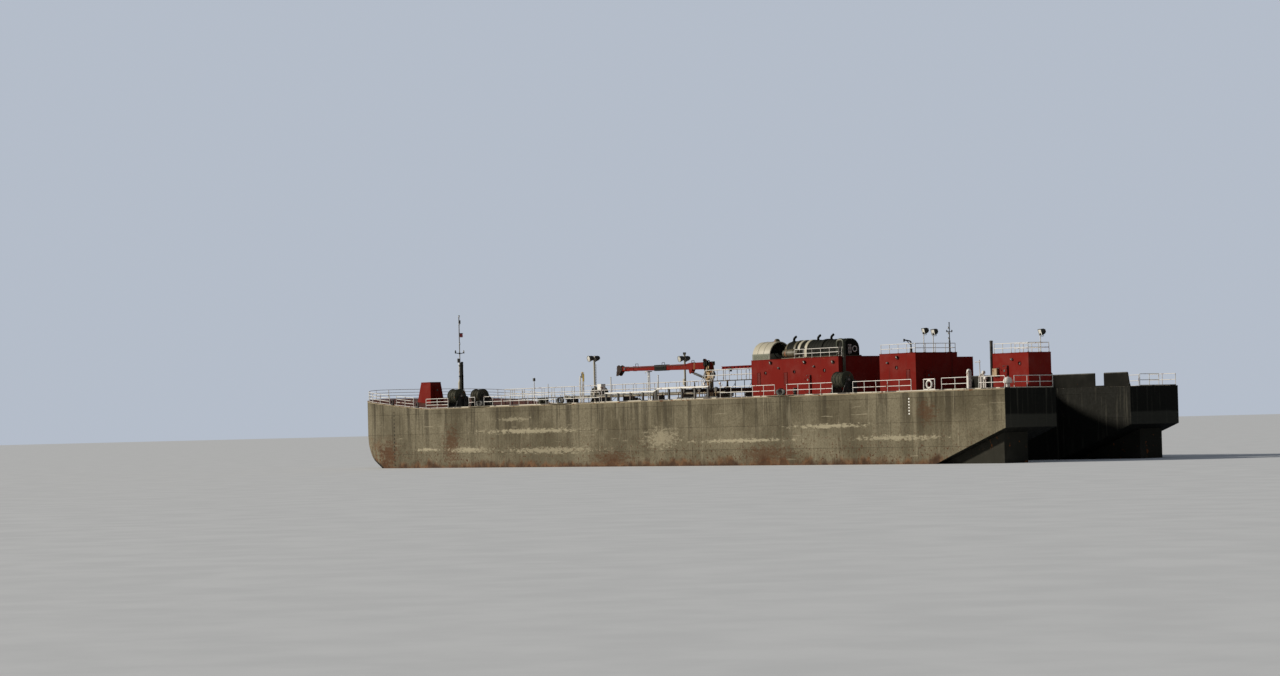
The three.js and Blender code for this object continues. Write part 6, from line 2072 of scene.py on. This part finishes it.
def wall_floodlights(name, at, y):
    """Floodlights on brackets under a roof's edge; at is [x, height] of each."""
    dark, pale = [], []
    for x, height in at:
        housing, pane = floodlight((x, y - 0.014, FLOOR + height), -8, 0.021, 25)
        dark += [
            housing,
            rod((x, y + 0.001, FLOOR + height - 0.012), (x, y - 0.014, FLOOR + height - 0.016), 0.003, 8)
        ]
        pale.append(pane)
    many(name, [(DARK, joined(*dark)), (LAMP, joined(*pale))])


def main_roof_gear():
    """The hood, the cooler's half-round casing with ribs and bands, its elbows, and the silencer, on one
    skid."""
    main = HOUSES["main"]
    at = np.array([main["x"] + 0.345, main["y"] + 0.230, FLOOR + main["height"] + SEAT])
    hood_at = np.array([-0.342, -0.222, 0])
    length, radius, tall = 1.010, 0.108, 0.172
    pale, green, olive, dark, white = [], [], [], [], []

    def hood_ring(x, draw):
        points = arch(0.150 - draw, 0.190 - draw, 20) + (0.150, 0)
        return np.column_stack([np.full(len(points), x), points])

    levels = (
        (0.0, 0.012), (0.006, 0.003), (0.012, 0.0), (0.278, 0.0), (0.290, 0.002), (0.290, 0.012),
        (0.235, 0.014)
    )
    pale.append(moved(shells(np.stack([hood_ring(*level) for level in levels])[None]), hood_at))
    for x in (0.090, 0.188):
        band = arch(0.1525, 0.1925, 20) + (0.150, 0)
        pale.append(moved(prism(band, "X", x, x + 0.005, 0.001), hood_at))
    green.append(
        moved(
            prism(
                [(-0.002, 0.001), (0.302, 0.001), (0.302, 0.062), (-0.002, 0.062)], "X", 0.006, 0.284, 0.002
            ),
            hood_at
        )
    )
    for z in np.arange(0.012, 0.056, 0.009):
        slat = prism(
            [(-0.006, z - 0.002), (-0.004, z - 0.003), (0.0, z + 0.003), (-0.002, z + 0.004)], "X", 0.03, 0.26
        )
        green.append(moved(slat, hood_at))
    # A black plate at the back of the hood's aft recess: painted shade in the opening.
    dark.append(moved(prism(arch(0.137, 0.177, 20) + (0.150, 0), "X", 0.2352, 0.240, 0.0), hood_at))
    dark.append(moved(ring((0.286, 0.150, 0.095), 0.085, 0.004, "X", 36, 8), hood_at))
    dark.append(moved(disc(0.020, 0.242, 0.284, (0, 0.150, 0.095), "X", 0.003), hood_at))
    for angle in range(0, 360, 45):
        blade = turned(
            block((0.262, 0.146, 0.112), (0.266, 0.168, 0.172), 0.001), 18, "Z", (0.264, 0.157, 0.14)
        )
        dark.append(moved(turned(blade, angle, "X", (0, 0.150, 0.095)), hood_at))
    dome = lathe(
        [[0, 0.184], [0.030, 0.186], [0.030, 0.198], [0.026, 0.208], [0.016, 0.216], [0, 0.219]], sides=24
    )
    olive.append(moved(dome, hood_at + (0.240, 0.150, 0)))
    olive.append(block((-0.07, -0.135, 0), (length, radius + 0.020, 0.012), 0.002))

    def casing_ring(x, draw):
        points = arch(radius - draw, tall - draw, 20)
        return np.column_stack([np.full(len(points), x), points + (0, 0.011)])

    levels = ((0.0, 0.070), (0.008, 0.050), (0.030, 0.022), (0.060, 0.004), (0.085, 0.0))
    olive.append(shells(np.stack([casing_ring(*level) for level in levels])[None]))
    levels = ((0.0852, 0.0), (length - 0.012, 0.0), (length, 0.012))
    dark.append(shells(np.stack([casing_ring(*level) for level in levels])[None]))
    for x in np.arange(0.10, length - 0.02, 0.0475):
        dark.append(
            moved(prism(arch(radius + 0.002, tall + 0.002, 20), "X", x, x + 0.005, 0.0012), (0, 0, 0.011))
        )
    for x, wide in ((0.205, 0.034), (0.275, 0.040), (0.385, 0.042)):
        band = arch(radius + 0.008, tall + 0.008, 20)
        (olive if x < 0.21 else pale).append(moved(prism(band, "X", x, x + wide, 0.002), (0, 0, 0.011)))
    dark.append(moved(prism(arch(radius + 0.008, tall + 0.008, 20), "X", 0.620, 0.660, 0.002), (0, 0, 0.011)))
    for x in (0.090, 0.480, 0.690):
        dark.append(
            tube([(x, 0, 0.165), (x, 0, 0.212), (x + 0.034, 0, 0.230)], 0.0125, corner=0.016, sides=16)
        )
        dark.append(ring((x + 0.033, 0, 0.2297), 0.0115, 0.0020, "X", 20, 6))
        dark.append(disc(0.019, 0.180, 0.188, (x, 0, 0), edge=0.001))
    for side in (-1, 1):
        hatches = np.arange(0.46, 0.60, 0.06)[:, None]
        lows = np.hstack([hatches, 0 * hatches + side * radius - 0.003, 0 * hatches + 0.04])
        dark.append(blocks(lows, lows + (0.045, 0.006, 0.05), 0.001))
    louvres = np.arange(0.030, 0.120, 0.014)[:, None]
    lows = np.hstack([0 * louvres + length - 0.006, 0 * louvres - 0.055, louvres])
    white.append(blocks(lows, lows + (0.010, 0.045, 0.006), 0.001))
    white.append(ring((length - 0.002, 0.035, 0.075), 0.028, 0.005, "X", 28, 8))
    y = 0.085 - 0.190
    silencer = [
        [0, 0.050], [0.020, 0.051], [0.036, 0.060], [0.042, 0.074], [0.042, 0.286], [0.036, 0.300],
        [0.020, 0.309], [0, 0.310]
    ]
    olive.append(lathe(silencer, (0, y, 0.058), "X", 32))
    for x in (0.085, 0.135, 0.225, 0.275):
        olive.append(disc(0.0445, x - 0.004, x + 0.004, (0, y, 0.058), "X", 0.001))
    for x in (0.090, 0.270):
        dark.append(tapered([(0.011, 0.010, 0.030), (0.045, 0.008, 0.020)], at=(x, y, 0), cut=0.1))
    dark.append(
        tube(
            [(0.31, y, 0.058), (0.345, y, 0.058), (0.345, y, 0.10), (0.40, y, 0.10)], 0.010, corner=0.014,
            sides=12
        )
    )
    dark.append(tube([(-0.03, y, 0.058), (0.055, y, 0.058)], 0.014, corner=0.01, sides=14))
    groups = [
        (CREAM, joined(*pale)),
        (GREEN_GREY, joined(*green)),
        (SILENCER_OLIVE, joined(*olive)),
        (BLACK, joined(*dark)),
        (WHITE, joined(*white)),
    ]
    many("main_roof_machinery", groups, replaces="roof_machinery", at=at)


def main_rail_and_riser():
    main = HOUSES["main"]
    roof = FLOOR + main["height"] + SEAT
    corner = np.array([main["x"], main["y"], roof])
    height, spacing = ROOF_RAIL["height"], ROOF_RAIL["spacing"]
    rails = [
        railing(corner + (0.700, 0.014, 0), corner + (1.391, 0.014, 0), spacing, height),
        railing(corner + (1.391, 0.014, 0), corner + (1.391, 0.060, 0), 0.05, height),
    ]
    at = np.array([main["x"] + main["length"], main["y"] + 0.060, FLOOR])
    pipe = tube(
        [(-0.080, 0, 0.395), (-0.080, 0, 0.560), (0.020, 0, 0.560), (0.020, 0, 0.215)], 0.0155, corner=0.040,
        sides=18
    )
    riser = [
        pipe, disc(0.022, 0.395, 0.401, (-0.080, 0, 0)),
        block((0.0003, -0.007, 0.235), (0.020, 0.007, 0.249), 0.001)
    ]
    riser += [disc(0.0185, z, z + 0.008, (0.020, 0, 0)) for z in (0.24, 0.38, 0.50)]
    clamp = rod(corner + (1.391, 0.058, 0.089), corner + (1.420, 0.058, 0.089), 0.003, 8)
    groups = [(WHITE, joined(*rails, clamp)), (OLIVE, moved(joined(*riser), at))]
    many("main_roof_pipes", groups, replaces="main_roof_rail")


def lamp_poles(places, roof):
    """Floodlights on poles: [x, y, height, heading] of each, above a roof. Returns pole, dark and pale
    shapes."""
    poles, dark, pale = [], [], []
    for x, y, height, heading in places:
        poles.append(rod((x, y, roof), (x, y, roof + height - 0.045), 0.0045, 12))
        poles.append(disc(0.011, 0, 0.004, (x, y, roof), sides=14))
        dark.append(rod((x, y, roof + height - 0.05), (x, y, roof + height - 0.030), 0.007, 10))
        housing, pane = floodlight((x, y, roof + height - 0.022), heading, 0.056, 16)
        dark.append(housing)
        pale.append(pane)
    return poles, dark, pale


def middle_roof():
    middle = HOUSES["middle"]
    roof = FLOOR + middle["height"] + SEAT
    x, y, length, width = middle["x"], middle["y"], middle["length"], middle["width"]
    edge, height, spacing = 0.012, ROOF_RAIL["height"], ROOF_RAIL["spacing"]
    near, far = x + edge, x + length - edge
    rails = [
        railing((near, y + edge, roof), (far, y + edge, roof), spacing, height),
        railing((far, y + edge, roof), (far, y + width - edge, roof), spacing, height),
    ]
    poles, dark, pale = lamp_poles([(far, y + 0.127, 0.230, -15), (far, y + 0.253, 0.220, -5)], roof)
    mast = np.array([x + 0.480, y + 0.510, roof])
    column = lathe(
        [[0, 0.0], [0.009, 0.0], [0.009, 0.112], [0.0055, 0.122], [0.005, 0.13], [0.0045, 0.292], [0, 0.293]],
        mast, sides=16
    )
    fittings = [
        column, moved(block((-0.016, -0.016, 0), (0.016, 0.016, 0.005)), mast),
        moved(rod((0, -0.034, 0.205), (0, 0.034, 0.205), 0.0035), mast)
    ]
    glass = []
    for z in (0.130, 0.180, 0.235):
        fittings.append(moved(block((-0.018, -0.006, z), (0.006, 0.006, z + 0.003), 0.0006), mast))
        fittings.append(moved(disc(0.0075, z + 0.014, z + 0.018, (-0.012, 0, 0), sides=14), mast))
        glass.append(moved(disc(0.0065, z + 0.003, z + 0.014, (-0.012, 0, 0), edge=0.0005, sides=14), mast))
    for end in (-0.034, 0.034):
        fittings.append(moved(disc(0.006, 0.200, 0.222, (0, end, 0), sides=12), mast))
    fittings.append(moved(lathe([[0, 0.290], [0.007, 0.290], [0.007, 0.296], [0, 0.300]], sides=12), mast))
    clamps = [rod(mast + (0, 0, z), (far, mast[1], roof + z), 0.003, 8) for z in (0.048, 0.089)]
    groups = [
        (WHITE, joined(*rails, *poles, *clamps)), (DARK, joined(*dark, *fittings)),
        (LAMP, joined(*pale, *glass))
    ]
    many("middle_roof_pipes", groups, replaces="middle_roof_rail")


def stern_roof():
    stern = HOUSES["stern"]
    roof = FLOOR + stern["height"] + SEAT
    x, y, edge = stern["x"], stern["y"], 0.012
    near, far = x + edge, x + stern["length"] - edge
    low, high = y + edge, y + stern["width"] - edge
    corners = [(near, low, roof), (far, low, roof), (far, high, roof), (near, high, roof)]
    rails = [
        railing(start, end, ROOF_RAIL["spacing"], ROOF_RAIL["height"]) for start,
        end in zip(corners, corners[1:])
    ]
    poles, dark, pale = lamp_poles([(far, y + 0.173, 0.204, -15)], roof)
    groups = [(WHITE, joined(*rails, *poles)), (DARK, joined(*dark)), (LAMP, joined(*pale))]
    many("stern_roof_pipes", groups, replaces="stern_roof_rail")


def davit_gear():
    """The davit's step, and the swivelling post with its bent arm and block."""
    middle = HOUSES["middle"]
    at = np.array([middle["x"] + 0.430, middle["y"] + 0.040, FLOOR + middle["height"] + SEAT])
    profile = [
        [0, 0], [0.018, 0], [0.018, 0.004], [0.015, 0.006], [0.013, 0.008], [0.013, 0.038], [0.012, 0.040],
        [0.0077, 0.040], [0.0076, 0.006], [0, 0.006]
    ]
    step = joined(lathe(profile, sides=28), bolts((0, 0, 0.005), 0.0155, 6, 0.0014))
    piece("davit_socket", moved(step, at), DARK, replaces="davit_step")
    post = [tube([(0, 0, 0.007), (0, 0, 0.112), (0, -0.090, 0.126)], 0.0066, (1, 0, 0), 0.018, 14)]
    post.append(disc(0.008, 0.108, 0.136, (0, -0.090, 0), sides=16))
    post.append(rod((0, -0.004, 0.075), (0, -0.060, 0.120), 0.003, 8))
    post.append(disc(0.009, 0.060, 0.066, sides=16))
    piece("davit_post", moved(joined(*post), at), DARK, "davit_arm", "davit")


def stern_vents():
    """The vessel with a dished head, mushroom vents of three heights, and the exhaust, on one base."""
    at = np.array([4.95, -0.62, FLOOR])
    base = block((-0.225, -0.034, 0), (0.160, 0.034, 0.008), 0.002)
    white, dark = [], []
    for x, height in ((-0.020, 0.150), (0.014, 0.175), (0.042, 0.120)):
        head = height - 0.026
        profile = [[0, 0.004], [0.011, 0.004], [0.008, 0.010], [0.0075, head + 0.002], [0.0075, head + 0.008],
                   [0.0165, head - 0.002], [0.0172, head], [0.017, height - 0.012], [0.0145, height - 0.005],
                   [0.009, height], [0, height + 0.001]]
        white.append(lathe(profile, (x, 0, 0.004), sides=24))
    r = 0.024
    vessel = [
        [0, 0], [r + 0.003, 0], [r + 0.003, 0.006], [r, 0.008], [r, 0.168], [r * 0.95, 0.178],
        [r * 0.75, 0.190], [r * 0.4, 0.197], [0, 0.199]
    ]
    white += [
        lathe(vessel, (-0.190, 0, 0.004), sides=32), disc(0.006, 0.190, 0.2005, (-0.190, 0, 0), sides=12)
    ]
    dark.append(ring((-0.190, 0, 0.174), r - 0.0005, 0.002, "Z", 32, 6))
    stack = [
        [0, 0.004], [0.015, 0.004], [0.015, 0.448], [0.017, 0.449], [0.017, 0.457], [0.015, 0.4585],
        [0.015, 0.462], [0.0125, 0.462], [0.0125, 0.43], [0, 0.429]
    ]
    dark += [lathe(stack, (0.130, 0, 0)), disc(0.021, 0.008, 0.016, (0.130, 0, 0)), base]
    groups = [(WHITE, joined(*white)), (DARK, joined(*dark))]
    many("stern_deck_gear", groups, replaces="stern_vents", at=at)


# Small posts on deck: x, y, height, radius
DECK_POSTS = [
    (-0.950, -1.10, 0.300, 0.007),
    (-0.890, -1.10, 0.240, 0.005),
    (-0.700, -1.00, 0.150, 0.005),
    (-0.440, -1.06, 0.274, 0.006),
    (0.410, -1.06, 0.272, 0.006),
    (5.020, -0.72, 0.281, 0.004),
    (4.645, -1.10, 0.112, 0.005),
    (4.800, -1.10, 0.112, 0.005),
]


def deck_posts():
    """White posts with caps, one with a yellow top, a box on a stem, a frame with a ring in it, and a bell
    vent."""
    white, yellow, tan = [], [], []
    for x, y, height, radius in DECK_POSTS:
        white += [
            disc(radius, 0.0, height, (x, y, 0), sides=14),
            disc(radius * 2.2, 0.0, 0.005, (x, y, 0), sides=12)
        ]
        white.append(disc(radius * 1.4, height - 0.006, height, (x, y, 0), sides=14))
    yellow.append(disc(0.008, 0.240, 0.320, (-0.890, -1.10, 0), sides=14))
    white.append(disc(0.006, 0.320, 0.343, (-0.890, -1.10, 0), sides=14))
    white.append(block((-0.738, -1.03, 0.140), (-0.662, -0.97, 0.205), 0.003))
    white.append(rod((4.955, -0.72, 0.262), (5.030, -0.72, 0.262), 0.004, 8))
    white += [rod((4.645, -1.10, z), (4.800, -1.10, z), 0.005, 10) for z in (0.014, 0.110)]
    white.append(ring((4.722, -1.10, 0.062), 0.036, 0.009, "Y"))
    bell = [[0, 0], [0.020, 0], [0.020, 0.045], [0.044, 0.050], [0.042, 0.075], [0.030, 0.098], [0, 0.108]]
    white.append(lathe(bell, (5.640, -0.95, 0)))
    tan.append(block((5.300, -0.826, 0.114), (5.362, -0.806, 0.191), 0.002))
    groups = [(WHITE, joined(*white)), (YELLOW, joined(*yellow)), (TAN, joined(*tan))]
    many("deck_posts", groups, at=(0, 0, FLOOR))


COAMING = {
    "height": 0.130, "margin": 0.005, "thick": 0.009, "gap": (5.330, 5.450), "end": 5.790, "slope": 0.030
}


def coaming_trim():
    """A flat bar on top of the notch's bulwark, and brackets against its outer face."""
    half = NOTCH["half"] + COAMING["margin"] + COAMING["thick"] / 2
    top = FLOOR + COAMING["height"]
    angle = np.radians(np.linspace(-90, 90, 37))
    reach = NOTCH["shoulder"] - NOTCH["front"] + COAMING["margin"] + COAMING["thick"] / 2
    front = np.stack([NOTCH["shoulder"] - reach * np.cos(angle), half * np.sin(angle), np.full(37, top)], -1)
    line = np.concatenate(
        [[(COAMING["gap"][0] - 0.004, -half, top)], front, [(COAMING["gap"][0] - 0.004, half, top)]]
    )
    caps = [swept(line, 0.0065, (0, 0, 1), 8)]
    last = COAMING["end"] - COAMING["slope"]
    for side in (-1, 1):
        start, end = (COAMING["gap"][1] + 0.004, side * half, top), (last, side * half, top)
        caps.append(rod(start, end, 0.0065, 8))
    outer = NOTCH["half"] + COAMING["margin"] + COAMING["thick"]
    bracket = [
        (outer - 0.001, FLOOR + 0.001), (outer + 0.045, FLOOR + 0.001), (outer + 0.045, FLOOR + 0.006),
        (outer - 0.001, top - 0.012)
    ]
    brackets = []
    for x in (4.84, 4.98, 5.12, 5.26, 5.52, 5.64, 5.75):
        shape = prism(bracket, "X", x - 0.002, x + 0.002)
        brackets += [shape, mirrored(shape)]
    for degrees in range(-72, 73, 18):
        radius_x, radius_y = reach + COAMING["thick"] / 2, outer
        turn = math.radians(degrees)
        foot = np.array([NOTCH["shoulder"] - radius_x * math.cos(turn), radius_y * math.sin(turn)])
        normal = np.array([-math.cos(turn) / radius_x, math.sin(turn) / radius_y])
        normal /= np.linalg.norm(normal)
        away = math.degrees(math.atan2(normal[1], normal[0]))
        plate = prism(
            [(-0.001, FLOOR + 0.001), (0.045, FLOOR + 0.001), (0.045, FLOOR + 0.006), (-0.001, top - 0.012)],
            "Y", -0.002, 0.002
        )
        brackets.append(moved(turned(plate, away), (*foot, 0)))
    piece("coaming_stiffeners", joined(*caps, *brackets), DARK)


# The forward house leans in towards its roof at the bow by its rake, and to starboard by its lean
FORWARD_HOUSE = {"x": (-5.23, -4.90), "y": (-0.50, -0.29), "height": 0.262, "rake": 0.125, "lean": 0.062}


def forward_house_trim():
    """Edge strips round the leaning roof, and the door's frame."""
    (x0, x1), (y0, y1) = FORWARD_HOUSE["x"], FORWARD_HOUSE["y"]
    deck = float(deck_at(x1))
    low, high = (x0 + FORWARD_HOUSE["rake"], y0), (x1, y1 - FORWARD_HOUSE["lean"])
    edge = roof_edge(low, high, deck + FORWARD_HOUSE["height"] - 0.003)
    frame = moved(turned(door_frame(0.0, 0.0, 0.0), 90), (x1, y0 + 0.040, deck))
    many("forward_house_trim", [(RED, edge), (DARK, frame)])


for entry in DOORS:
    door(entry)
house_trim(
    "main", [(0.230, 0.255), (0.700, 0.255), (1.180, 0.255)], [(0.120, 0.13, 0.265), (0.560, 0.12, 0.255)],
    [(0.45, 0.30), (1.02, 0.30)], 2.180
)
house_trim("middle", [(0.250, 0.250)], [(0.42, 0.12, 0.23)], [(0.12, 0.30)], None)
house_trim("stern", [(0.360, 0.230)], [(0.06, 0.10, 0.20)], [(0.26, 0.27)], 5.410)
forward_house_trim()
wall_floodlights("main_wall_floodlights", [(1.62, 0.362), (2.17, 0.352), (2.62, 0.340)], HOUSES["main"]["y"])
wall_floodlights("middle_wall_floodlight", [(3.60, 0.352)], HOUSES["middle"]["y"])
main_roof_gear()
main_rail_and_riser()
middle_roof()
stern_roof()
davit_gear()
stern_vents()
deck_posts()
coaming_trim()


# Finishes of what is carried over from the frame


def finished(material, *nodes):
    """Gives frame nodes a procedural finish in place of their plain colour."""
    for node in nodes:
        data = frame["nodes"][node].data
        data.materials.clear()
        data.materials.append(material)


# The skegs take the near-black painted shade.
finished(SKEG_SHADE_PAINT, "port_skeg", "starboard_skeg")
# The notch's coaming takes the near-black painted shade.
finished(COAMING_SHADE_PAINT, "notch_coaming")
finished(RED, "main_house", "middle_house", "stern_house", "forward_house")
finished(STEEL, "pump_engine")


# Camera, light and floor

CAMERA = {
    "place": (26.4098, -20.7668, 0.71147), "yaw": 0.92779, "pitch": 0.02939, "roll": -0.02443, "lens": 86.32
}
SUN = {"from": (-0.68, -0.65, 0.335), "strength": 4.2, "angle": 5.0}


def make_camera():
    """The photograph's view: level axes turned by yaw and pitch, then rolled about the line of sight."""
    yaw, pitch, roll = CAMERA["yaw"], CAMERA["pitch"], CAMERA["roll"]
    ahead = Vector((-math.sin(yaw) * math.cos(pitch), math.cos(yaw) * math.cos(pitch), math.sin(pitch)))
    right = Vector((math.cos(yaw), math.sin(yaw), 0))
    up = right.cross(ahead)
    rolled_right = right * math.cos(roll) + up * math.sin(roll)
    rolled_up = up * math.cos(roll) - right * math.sin(roll)
    data = bpy.data.cameras.new("camera")
    data.sensor_width = 36.0
    data.lens = CAMERA["lens"]
    data.clip_end = 2000
    camera = bpy.data.objects.new("camera", data)
    bpy.context.scene.collection.objects.link(camera)
    camera.matrix_world = Matrix.Translation(CAMERA["place"]) @ Matrix(
        (
            (rolled_right.x, rolled_up.x, -ahead.x, 0),
            (rolled_right.y, rolled_up.y, -ahead.y, 0),
            (rolled_right.z, rolled_up.z, -ahead.z, 0),
            (0, 0, 0, 1),
        )
    )
    bpy.context.scene.camera = camera


def make_light():
    """One low soft sun from ahead on the port side, and an even pale world that gives less light than it
    shows."""
    data = bpy.data.lights.new("key", "SUN")
    data.energy = SUN["strength"]
    data.angle = math.radians(SUN["angle"])
    data.color = (1.0, 0.93, 0.82)
    lamp = bpy.data.objects.new("key", data)
    bpy.context.scene.collection.objects.link(lamp)
    lamp.rotation_mode = "QUATERNION"
    lamp.rotation_quaternion = Vector(SUN["from"]).to_track_quat("Z", "Y")
    world = bpy.data.worlds.new("studio")
    world.use_nodes = True
    tree = world.node_tree
    seen = add(tree, "LightPath").outputs["Is Camera Ray"]
    back = tree.nodes["Background"].inputs
    back["Color"].default_value = (0.74, 0.82, 0.95, 1.0)
    tree.links.new(
        add(tree, "MapRange", {"Value": seen, "To Min": 0.2, "To Max": 0.62}).outputs[0], back["Strength"]
    )
    bpy.context.scene.world = world


def make_floor():
    """A wide pale floor at the waterline: a disc with a fine plaster grain."""
    material, tree, place = start_material("studio_floor")
    grain = noise(tree, place, 3.0, 5.0)
    color = mix(tree, remap(tree, grain, 0.3, 0.7), (0.66, 0.68, 0.70), (0.72, 0.74, 0.76))
    finish_material(tree, {"Base Color": color, "Roughness": 0.85})
    angle = 2 * np.pi * np.arange(64) / 64
    ring = np.stack([np.cos(angle), np.sin(angle), 0 * angle], -1) * 900.0 + (0, 0, WATERLINE)
    mesh = bpy.data.meshes.new("studio_floor")
    mesh.from_pydata(ring.tolist(), [], [list(range(len(ring)))])
    mesh.materials.append(material)
    floor = bpy.data.objects.new("studio_floor", mesh)
    bpy.context.scene.collection.objects.link(floor)


make_camera()
make_light()
make_floor()
bpy.context.scene.view_settings.view_transform = "Standard"
